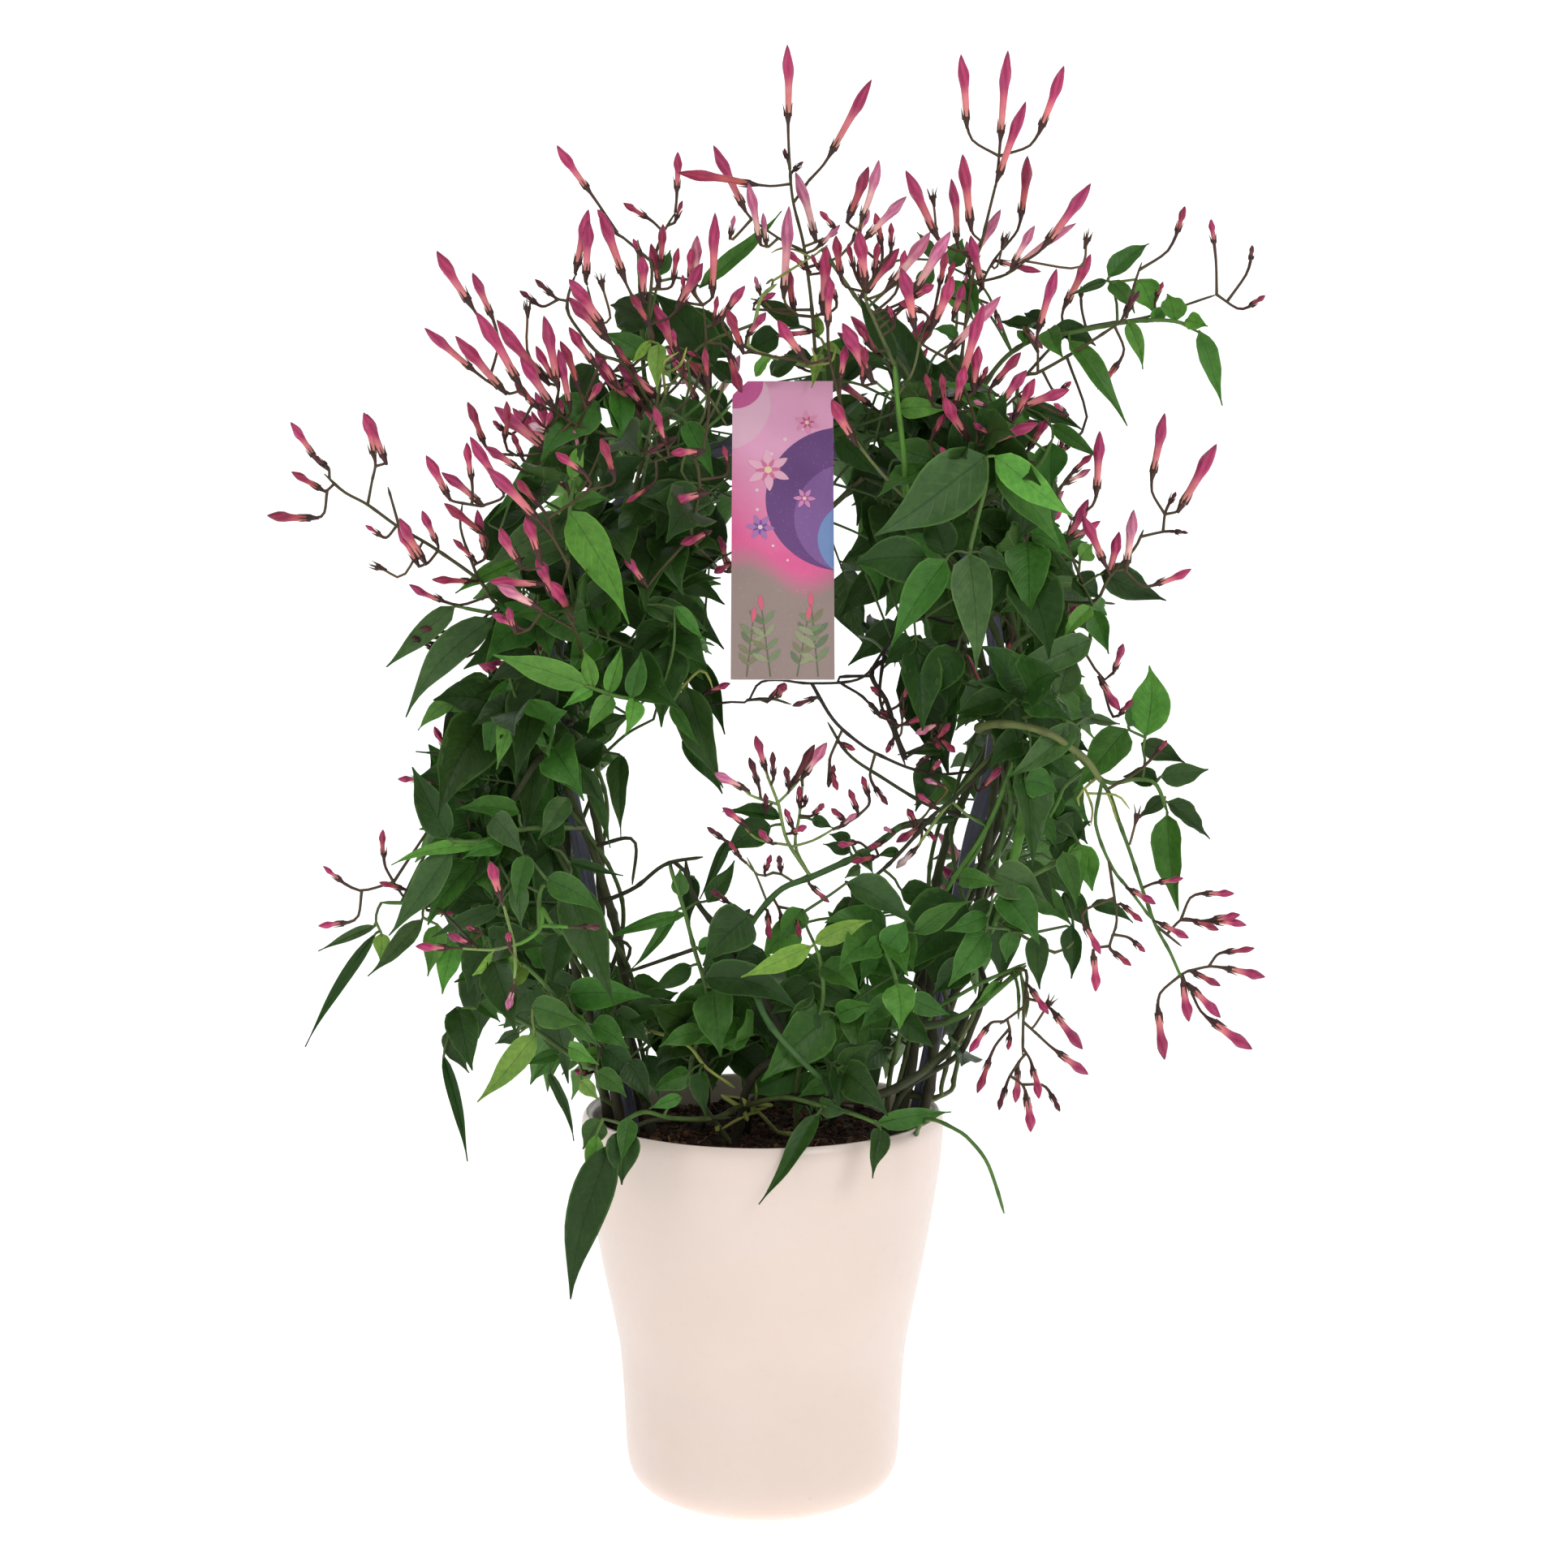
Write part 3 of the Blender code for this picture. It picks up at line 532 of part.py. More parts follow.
def band(line, grow):
    w, d = HOOP_BAND[0] / 2 + grow, HOOP_BAND[1] / 2 + grow
    section = [(-w, -d * 0.7), (-w * 0.35, -d), (w * 0.35, -d), (w, -d * 0.7), (w, d * 0.7), (-w, d * 0.7)]
    fr = []
    for i in range(len(line)):
        t = (line[min(i + 1, len(line) - 1)] - line[max(i - 1, 0)]).normalized()
        y = Vector((0, 1, 0))
        fr.append((t.cross(y).normalized(), y))
    return loft(line, [section] * len(line), normals=fr, tip=False)


hoop_shell = band(hoop_line, 0.0)
mesh_object("hoop_trellis", *hoop_shell, SLATE)
TAKEN.append(("hoop_trellis", tree(hoop_shell)))

# ---------------------------------------------------------------- vines
vine_points = []
pockets = [band([p for p in hoop_line[:10]], GAP), band([p for p in hoop_line[-10:]], GAP)]
for name, line, (r0, r1) in VINES:
    line = smooth(line, 20 if "crossing" not in name else 12)
    shell = tube(line, r0, r1, 5)
    mesh_object(name, *shell, STEM)
    TAKEN.append((name, tree(shell)))
    dense = smooth(line, 80)
    for i, p in enumerate(dense):
        vine_points.append((p, r0 + (r1 - r0) * i / 79.0))
    if line[0].z < SOIL_LEVEL + 0.003:
        down = [line[0] - (line[1] - line[0]).normalized() * 0.0012] + line[:5]
        pockets.append(tube(down, r0 + GAP * 1.4, r0 + GAP * 1.2, 7))


def snapped(start, after, tube_radius):
    """Places where a shoot can leave a vine, nearest first."""
    if start.z < SOIL_LEVEL:
        return [start]
    near = sorted(vine_points, key=lambda q: (q[0] - start).length)[:90:6]
    out = []
    for centre, r in near:
        away = after - centre
        out.append(centre + away.normalized() * (r + tube_radius + GAP))
    return out


def attach(nodes, point):
    best, where = 1e9, None
    for a, b in nodes:
        ab = b - a
        t = max(0.03, min(0.90, (point - a).dot(ab) / max(ab.length_squared, 1e-12)))
        q = a + ab * t
        if (q - point).length < best:
            best, where = (q - point).length, q
    return where


def leaf_shells(stem, base, tip, width, seed, scale=1.0, short=1.0, shift=0.0):
    """The leaf from its stem, and the same a little larger for the clearance test."""
    rnd = random.Random(seed)
    tip = base + (tip - base) * short + Vector((0, shift, 0))
    length = (tip - base).length
    view = Vector((0, -1, 0.15))
    axis = (tip - base).normalized()
    side = axis.cross(view)
    side = side.normalized() if side.length > 0.2 else axis.orthogonal().normalized()
    normal = side.cross(axis).normalized()
    twist = rnd.uniform(-0.45, 0.45)
    normal = (normal * math.cos(twist) + side * math.sin(twist)).normalized()
    lift = Vector((0, 0, 1)) * (0.07 * length)
    w = width * scale / max(0.75, math.cos(twist))
    big = w > 0.0085 and length > 0.014
    if big:
        marks = ((0.26, 0.86), (0.62, 0.80))
    else:
        marks = ((0.42, 1.0),)
    pts, widths = [], []
    if (base - stem).length > 0.009:
        pts.append(stem)
        widths.append(0.0012)
    pts.append(base if pts else stem)
    widths.append(0.0014)
    for t, ww in marks:
        pts.append(base.lerp(tip, t) + lift * (4 * t * (1 - t)))
        widths.append(ww * w)
    pts.append(tip)
    fr = []
    for i in range(len(pts)):
        t = (pts[min(i + 1, len(pts) - 1)] - pts[max(i - 1, 0)]).normalized()
        n = (normal - t * normal.dot(t))
        n = n.normalized() if n.length > 0.1 else t.orthogonal().normalized()
        fr.append((t.cross(n).normalized(), n))

    def build(grow, first=0):
        secs = []
        for ww in widths:
            h = max(LEAF_THICK / 2, 0.0006 if ww < 0.002 else 0) + grow
            secs.append([(-ww / 2 - grow, 0), (0, h), (ww / 2 + grow, 0), (0, -h)])
        use = pts[first:]
        out = list(use)
        if grow:
            out[-1] = out[-1] + (out[-1] - out[-2]).normalized() * grow
        return loft(out, secs[first:], normals=fr[first:])

    return build(0.0), build(0.00025), build(0.00035, 1)


def bud_shells(stem, calyx, tip, girth):
    out = []
    length = (tip - calyx).length
    away = (calyx - stem).length
    for grow in (0.0, 0.0003):
        pts, rad = [], []
        if away > 0.004 and length > 0.014:
            pts.append(stem)
            rad.append(0.0007)
            pts.append(calyx)
            rad.append(0.0011)
        else:
            pts.append(stem)
            rad.append(0.0009)
        if length > 0.020:
            pts.append(calyx.lerp(tip, 0.76))
            rad.append(BUD_RADIUS * girth)
        else:
            pts.append(calyx.lerp(tip, 0.62))
            rad.append(min(BUD_RADIUS * girth, 0.25 * length))
        pts.append(tip)
        if grow:
            pts[-1] = pts[-1] + (tip - calyx).normalized() * grow
        out.append(loft(pts, [ring(r + grow, 3, 0.5) for r in rad]))
        if grow:
            out.append(loft(pts[1:], [ring(r + grow, 3, 0.5) for r in rad[1:]]))
    return out




def grow_spray(name, paths, radius, add, mat):
    """Builds one spray: paths first, then what they carry."""
    shells, segs, mine = [], [], []
    for k, path in enumerate(paths):
        n = max(4, min(9, int(sum((b - a).length for a, b in zip(path, path[1:])) / 0.016) + 2))
        tries = snapped(path[0], path[1], radius) if k == 0 else [path[0]]
        best = None
        for t in tries:
            line = smooth([t] + path[1:], n)
            if k:
                line[0] = attach(segs, line[0])
            shell = tube(line, radius, radius * (0.75 if k == 0 else 0.6), 4 if k == 0 else 3, tip=True)
            hit = clashes(shell, name)
            if best is None or len(hit) < len(best[2]):
                best = (line, shell, hit)
            if not hit:
                break
        if best[2]:
            wobble = None
            for dy in (0.004, -0.004, 0.008, -0.008, 0.012, -0.012, 0.018, -0.018):
                for dx in (0.0, 0.004, -0.004):
                    line = [p + Vector((dx, dy, 0)) * math.sin(math.pi * min(1.0, i / (len(best[0]) - 1) * 1.3)) for i, p in enumerate(best[0])]
                    shell = tube(line, radius, radius * (0.75 if k == 0 else 0.6), 4 if k == 0 else 3, tip=True)
                    if not clashes(shell, name):
                        wobble = (line, shell, [])
                        break
                if wobble:
                    break
            if wobble:
                best = wobble
            elif k:
                continue
        line, shell, _ = best
        shells.append(shell)
        mine.append(tree(shell))
        segs.extend(zip(line, line[1:]))
    if name.startswith("leaf_shoot_inner"):
        start = shells[0][0][:4]
        line0 = segs[0][0]
        pockets.append(tube([line0 - (segs[0][1] - line0).normalized() * 0.0012] + [s[1] for s in segs[:3]], radius + GAP * 1.5, radius + GAP * 1.3, 6))
    blades = []
    for piece in add(segs):
        placed = None
        for shell, outer, blade in piece:
            t = tree(outer)
            if any(who != name and t.overlap(other) for who, other in TAKEN):
                continue
            t = tree(blade)
            if any(t.overlap(b) for b in blades):
                continue
            placed = (shell, blade)
            break
        if placed is None:
            continue
        shells.append(placed[0])
        blades.append(tree(placed[1]))
    ob = unite(name, shells, mat)
    for s in shells:
        TAKEN.append((name, tree(s)))
    return ob


# ---------------------------------------------------------------- card with its strap
def card():
    w, h, t = CARD_SIZE
    fold = 0.0060
    front = [(0.0, 0.0), (w, 0.0), (w, h), (fold, h), (0.0, h - fold)]
    verts = [card_point(x, y, 0.0) for x, y in front] + [card_point(x, y, -t) for x, y in front]
    n = len(front)
    faces = [tuple(range(n)), tuple(range(2 * n - 1, n - 1, -1))] + [(i, (i + 1) % n, n + (i + 1) % n, n + i) for i in range(n)]
    fr = []
    for i in range(len(STRAP_LINE)):
        tt = (STRAP_LINE[min(i + 1, len(STRAP_LINE) - 1)] - STRAP_LINE[max(i - 1, 0)]).normalized()
        x = Vector((1, 0, 0))
        fr.append((x, tt.cross(x).normalized()))
    strap = loft(STRAP_LINE, [[(-0.006, -0.0004), (0.006, -0.0004), (0.006, 0.0004), (-0.006, 0.0004)]] * len(STRAP_LINE), normals=fr, tip=False)
    return [(verts, faces), strap]


card_shells = card()
unite("plant_label", card_shells, CARD)
for s in card_shells:
    TAKEN.append(("plant_label", tree(s)))


# ---------------------------------------------------------------- flower clusters, then leaves
def scale_at(d):
    return (1.15 + d / 1000.0) / VIEW_SCALE


for name, spec in PANICLES.items():
    paths = [[place(*p) for p in line] for line in spec["stems"]]

    def carry(segs, spec=spec):
        for k, (u, v, cu, cv, girth, tone) in enumerate(spec["buds"]):
            if math.hypot(u - cu, v - cv) < SMALLEST_BUD:
                continue
            # a bud stands at the depth of the stem nearest to it in the elevation, and leans a little towards the viewer
            best, depth = 1e9, 0.0
            for line in spec["stems"]:
                for (a, b, d), (a2, b2, d2) in zip(line, line[1:]):
                    for f in (0.0, 0.25, 0.5, 0.75, 1.0):
                        gap = math.hypot(cu - a - (a2 - a) * f, cv - b - (b2 - b) * f)
                        if gap < best:
                            best, depth = gap, d + (d2 - d) * f
            rnd = random.Random(k * 31 + len(spec["buds"]))
            lean = rnd.uniform(-14, 4)
            options = []
            for extra in (0, -6, 6, -12, 12, -20, -28):
                calyx = place(cu, cv, depth + lean * 0.35 + extra)
                tip = place(u, v, depth + lean + extra)
                for g in (1.0, 0.7):
                    options.append(bud_shells(attach(segs, calyx), calyx, tip, girth * g))
            yield options

    grow_spray(name, paths, CLUSTER_STEM_RADIUS, carry, PINK)

for name, spec in LEAF_SHOOTS.items():
    paths = [[place(*p) for p in spec["path"]]]

    def carry(segs, spec=spec):
        for k, (u, v, tu, tv, w, tone, d0, d1) in enumerate(spec["leaves"]):
            if w * math.hypot(u - tu, v - tv) < SMALLEST_LEAF:
                continue
            options = []
            for scale, short in ((1.0, 1.0), (0.75, 1.0), (0.55, 0.85), (0.45, 0.6)):
                for extra in (0, -5, 5, -10, 10, -16, -24):
                    base = place(u, v, d0 + extra * 0.5)
                    tip = place(tu, tv, d1 + extra)
                    options.append(leaf_shells(attach(segs, base), base, tip, w * scale_at(d0), k * 17 + len(spec["leaves"]), scale, short))
            yield options

    grow_spray(name, paths, SHOOT_RADIUS, carry, GREEN if len(spec["leaves"]) % 2 else GREEN_DEEP)


# ---------------------------------------------------------------- far side
for name, (s0, s1, out_mm, count, seed) in BACK_SHOOTS.items():
    rnd = random.Random(seed)
    p0, tan0 = hoop_at(s0)
    mid, _ = hoop_at((s0 + s1) / 2)
    end, tan1 = hoop_at(s1)
    centre = Vector((HOOP_TOP_CENTRE[0], 0, mid.z))
    outward = (mid - centre)
    outward.y = 0
    outward = outward.normalized() if outward.length > 0.01 else Vector((0, 0, 1))
    back = Vector((0, 1, 0))
    path = [p0 + back * 0.010, p0.lerp(mid, 0.4) + back * out_mm * 0.0006 + outward * 0.006, mid + back * out_mm * 0.001 + outward * 0.010, end + back * out_mm * 0.0012 + outward * 0.008]

    def carry(segs, count=count, rnd=rnd, outward=outward, path=path):
        line = smooth(path, count + 1)
        for k in range(1, count + 1):
            base = line[k]
            for sign in ((1, -1) if k < count else (0,)):
                t = (line[k] - line[k - 1]).normalized()
                across = t.cross(Vector((0, 1, 0))).normalized() * sign
                aim = (across * rnd.uniform(0.8, 1.1) + t * rnd.uniform(0.35, 0.8) + Vector((0, 1, 0)) * rnd.uniform(0.1, 0.75) + Vector((0, 0, -0.25))).normalized()
                length = rnd.uniform(0.026, 0.038)
                width = length * rnd.uniform(0.42, 0.58)
                options = []
                for scale, short in ((1.0, 1.0), (0.75, 1.0), (0.6, 0.8), (0.45, 0.6)):
                    for shift in (0.0, 0.006, 0.012, -0.006):
                        b = base + aim * 0.004
                        options.append(leaf_shells(attach(segs, base), b, b + aim * length, width, k * 7 + sign + 40, scale, short, shift))
                yield options

    grow_spray(name, [path], SHOOT_RADIUS, carry, GREEN)

# ---------------------------------------------------------------- soil, cut where stems and legs go in
inner = [(r, z) for r, z in reversed(POT_INSIDE)]
side = [(r - GAP * 1.5, z) for r, z in inner if z < SOIL_LEVEL - 0.002]
side[0] = (side[0][0] - 0.0010, side[0][1] + GAP * 1.5)
side.append((0.0667, SOIL_LEVEL))
bump_from = len(side)
soil_profile = side + [(0.0585, SOIL_LEVEL + 0.0012), (0.0440, SOIL_LEVEL + 0.0022), (0.0220, SOIL_LEVEL + 0.0028)]
soil = mesh_object("potting_soil", *lathe(soil_profile, side[0][1], SOIL_LEVEL + 0.0030, 0.0009), SOIL)
cut(soil, pockets)
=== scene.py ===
import math
import random

import bmesh
import bpy
import numpy as np
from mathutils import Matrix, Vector, noise


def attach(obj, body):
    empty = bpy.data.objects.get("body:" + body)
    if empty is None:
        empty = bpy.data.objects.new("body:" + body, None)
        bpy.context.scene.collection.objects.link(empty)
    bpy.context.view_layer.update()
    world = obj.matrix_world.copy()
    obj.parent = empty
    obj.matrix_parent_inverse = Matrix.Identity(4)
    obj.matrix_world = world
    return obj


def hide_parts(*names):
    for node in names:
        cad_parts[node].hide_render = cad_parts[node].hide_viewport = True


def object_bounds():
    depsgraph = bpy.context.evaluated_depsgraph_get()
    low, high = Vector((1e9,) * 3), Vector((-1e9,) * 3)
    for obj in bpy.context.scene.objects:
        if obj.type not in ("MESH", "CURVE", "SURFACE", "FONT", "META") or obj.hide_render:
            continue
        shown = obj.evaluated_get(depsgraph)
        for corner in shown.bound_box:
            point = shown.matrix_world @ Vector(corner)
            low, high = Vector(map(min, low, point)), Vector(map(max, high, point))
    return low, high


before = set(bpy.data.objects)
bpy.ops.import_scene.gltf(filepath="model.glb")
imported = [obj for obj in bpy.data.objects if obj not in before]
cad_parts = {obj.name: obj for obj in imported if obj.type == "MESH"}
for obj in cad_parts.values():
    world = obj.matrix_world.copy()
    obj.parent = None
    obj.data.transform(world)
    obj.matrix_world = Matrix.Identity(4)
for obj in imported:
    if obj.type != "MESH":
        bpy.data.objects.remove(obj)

cad_low, cad_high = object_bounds()
POT_OUTSIDE = [(0.0388, 0.0), (0.0452, 0.0013), (0.0506, 0.0044), (0.0543, 0.0100), (0.0556, 0.0165), (0.0561, 0.0250), (0.0572, 0.0460), (0.0590, 0.0640), (0.0659, 0.0980),
               (0.0716, 0.1320), (0.0729, 0.1440), (0.0733, 0.1515), (0.0725, 0.1555), (0.0706, 0.1570)]
POT_INSIDE = [(0.0689, 0.1557), (0.0680, 0.1520), (0.0677, 0.1440), (0.0662, 0.1300), (0.0606, 0.0980), (0.0538, 0.0640), (0.0502, 0.0200), (0.0470, 0.0070)]
# ---------------------------------------------------------------- driving dimensions (metres)
POT_HEIGHT = 0.157
POT_RIM_RADIUS = 0.0733
POT_BASE_RADIUS = 0.0545
POT_WALL = 0.005
SOIL_LEVEL = 0.1450
HOOP_TOP_CENTRE = (0.0055, 0.337)      # X, Z of the centre of the round top
HOOP_RADIUS = 0.0885
HOOP_BAND = (0.0066, 0.0034)           # across the front, and front to back
CARD_SIZE = (0.0392, 0.1238, 0.0007)
CARD_FOOT = (-0.0114, -0.0665, 0.3357)  # lower left corner of the card's front
CARD_LEAN = math.radians(24.0)          # back from upright
GAP = 0.0004

# The plant is laid out on a front elevation, drawn in perspective from one viewpoint. U runs to the right and V down,
# in drawing units, and D is the depth behind the middle plane in millimetres (minus is towards the viewer).
VIEW_POINT = (0.0087, -1.15, 0.408)
VIEW_PITCH = math.radians(5.9)
VIEW_SCALE = 3550.0
VIEW_CENTRE = 966.0


def place(u, v, d):
    """The point in space that stands at U, V on the front elevation, D millimetres behind the middle plane."""
    c, s = math.cos(VIEW_PITCH), math.sin(VIEW_PITCH)
    a, b = (u - VIEW_CENTRE) / VIEW_SCALE, (VIEW_CENTRE - v) / VIEW_SCALE
    ray = Vector((a, c + b * s, b * c - s))
    t = (d / 1000.0 - VIEW_POINT[1]) / ray.y
    return Vector(VIEW_POINT) + ray * t


def smooth(points, count):
    """COUNT points evenly along a smooth curve through POINTS."""
    p = [Vector(q) for q in points]
    if len(p) == 2:
        return [p[0].lerp(p[1], i / (count - 1)) for i in range(count)]
    p = [2 * p[0] - p[1]] + p + [2 * p[-1] - p[-2]]
    dense = []
    for i in range(1, len(p) - 2):
        for j in range(12):
            t = j / 12.0
            a, b, c, d = p[i - 1], p[i], p[i + 1], p[i + 2]
            dense.append(0.5 * ((2 * b) + (c - a) * t + (2 * a - 5 * b + 4 * c - d) * t * t + (3 * b - a - 3 * c + d) * t * t * t))
    dense.append(p[-2].copy())
    run = [0.0]
    for a, b in zip(dense, dense[1:]):
        run.append(run[-1] + (b - a).length)
    out, k = [], 0
    for i in range(count):
        want = run[-1] * i / (count - 1)
        while k < len(run) - 2 and run[k + 1] < want:
            k += 1
        span = run[k + 1] - run[k]
        out.append(dense[k].lerp(dense[k + 1], 0 if span < 1e-12 else (want - run[k]) / span))
    return out


def frames(points, up=None):
    """A side and a normal at each point, turned as little as possible along the curve."""
    n = len(points)
    tangents = []
    for i in range(n):
        t = points[min(i + 1, n - 1)] - points[max(i - 1, 0)]
        tangents.append(t.normalized() if t.length > 1e-9 else Vector((0, 0, 1)))
    normal = Vector(up) if up is not None else Vector((0.13, -1.0, 0.21))
    out = []
    for t in tangents:
        normal = normal - t * normal.dot(t)
        if normal.length < 1e-4:
            normal = t.orthogonal()
        normal.normalize()
        out.append((t.cross(normal).normalized(), normal.copy()))
    return out


def loft(points, sections, normals=None, tip=True):
    """A closed skin over sections (lists of side, normal offsets); with TIP it closes on the last point."""
    fr = normals or frames(points)
    verts, faces, k = [], [], len(sections[0])
    last = len(points) - 1 if tip else len(points)
    for i in range(last):
        side, normal = fr[i]
        for a, b in sections[i]:
            verts.append(points[i] + side * a + normal * b)
    for i in range(last - 1):
        for j in range(k):
            m = (j + 1) % k
            faces.append((i * k + j, i * k + m, (i + 1) * k + m, (i + 1) * k + j))
    faces.append(tuple(range(k - 1, -1, -1)))
    if tip:
        verts.append(points[-1].copy())
        for j in range(k):
            faces.append(((last - 1) * k + j, (last - 1) * k + (j + 1) % k, len(verts) - 1))
    else:
        faces.append(tuple((last - 1) * k + j for j in range(k)))
    return verts, faces


def ring(radius, sides, phase=0.0):
    return [(radius * math.cos(phase + 2 * math.pi * j / sides), radius * math.sin(phase + 2 * math.pi * j / sides)) for j in range(sides)]


# ---------------------------------------------------------------- hoop and vines
def hoop_point(s):
    """Middle line of the hoop, from the buried end of the left leg to the buried end of the right leg. S is not used.
    """
    cx, cz = HOOP_TOP_CENTRE
    left = [(-0.0420, 0.060), (-0.0475, 0.110), (-0.0535, 0.150), (-0.0600, 0.185), (-0.0668, 0.225), (-0.0732, 0.265), (-0.0795, 0.300)]
    right = [(0.0925, 0.300), (0.0838, 0.265), (0.0760, 0.225), (0.0690, 0.185), (0.0620, 0.150), (0.0550, 0.110), (0.0490, 0.060)]
    arch = [(cx + HOOP_RADIUS * math.cos(a), cz + HOOP_RADIUS * math.sin(a)) for a in [math.radians(x) for x in (180, 157, 134, 112, 90, 68, 46, 23, 0)]]
    return [Vector((x, 0.0, z)) for x, z in left + arch + right]


HOOP_LINE = smooth(hoop_point(0), 96)


def hoop_at(s):
    f = min(max(s, 0.0), 1.0) * (len(HOOP_LINE) - 1)
    i = min(int(f), len(HOOP_LINE) - 2)
    return HOOP_LINE[i].lerp(HOOP_LINE[i + 1], f - i), (HOOP_LINE[i + 1] - HOOP_LINE[i]).normalized()


def winding(s0, s1, phase, turns, radius, count, sway):
    """A vine that winds round the hoop from s0 to s1."""
    out = []
    for i in range(count):
        t = i / (count - 1)
        p, tan = hoop_at(s0 + (s1 - s0) * t)
        side = tan.cross(Vector((0, 1, 0))).normalized()
        a = phase + 2 * math.pi * turns * max(0.0, abs(s1 - s0) * t - 0.045) / 0.35
        r = radius * (1 + sway * math.sin(7.1 * t + phase))
        out.append(p + side * (r * math.cos(a)) + Vector((0, 1, 0)) * (r * math.sin(a)))
    return out


def card_point(x, y, out):
    """The point X across and Y up the front of the card, OUT in front of it."""
    c, s = math.cos(CARD_LEAN), math.sin(CARD_LEAN)
    fx, fy, fz = CARD_FOOT
    return Vector((fx + x, fy + y * s - out * c, fz + y * c + out * s))


# the strap runs back from the card's upper edge, over the hoop, and turns down behind it
CARD_HEAD = card_point(0.0, CARD_SIZE[1], 0.0)
STRAP_LINE = [Vector((0.0085, p[0], p[1])) for p in ((CARD_HEAD.y - 0.0022, CARD_HEAD.z - 0.0058), (CARD_HEAD.y + 0.0002, CARD_HEAD.z - 0.0012), (CARD_HEAD.y + 0.0030, CARD_HEAD.z - 0.0010), (-0.0060, 0.4405), (-0.0030, 0.4330), (0.0030, 0.4312), (0.0056, 0.4270), (0.0060, 0.4180))]

VINES = []
for k, (phase, radius, s1) in enumerate(((0.35, 0.0086, 0.462), (1.92, 0.0094, 0.445), (3.49, 0.0088, 0.455), (5.06, 0.0097, 0.430))):
    VINES.append(("vine_stem_left_%d" % (k + 1), winding(0.094, s1, phase, 1.15, radius, 26, 0.10), (0.0021, 0.0011)))
for k, (phase, radius, s1) in enumerate(((1.50, 0.0084, 0.535), (2.60, 0.0090, 0.56), (3.70, 0.0086, 0.545), (4.90, 0.0094, 0.60))):
    VINES.append(("vine_stem_right_%d" % (k + 1), winding(0.906, s1, phase, -1.10, radius, 26, 0.10), (0.0022, 0.0011)))
VINES.append(("vine_stem_crossing_1", smooth([place(914, 1414, 4), place(934, 1352, -14), place(1010, 1356, -34), place(1080, 1350, -36), place(1135, 1322, -30), place(1172, 1288, -24), place(1195, 1245, -22)], 16), (0.0024, 0.0015)))
VINES.append(("vine_stem_crossing_2", smooth([place(905, 1416, -20), place(925, 1330, -30), place(968, 1286, -40), place(925, 1208, -46), place(880, 1140, -40), place(852, 1100, -34), place(845, 1060, -28)], 16), (0.0018, 0.0010)))
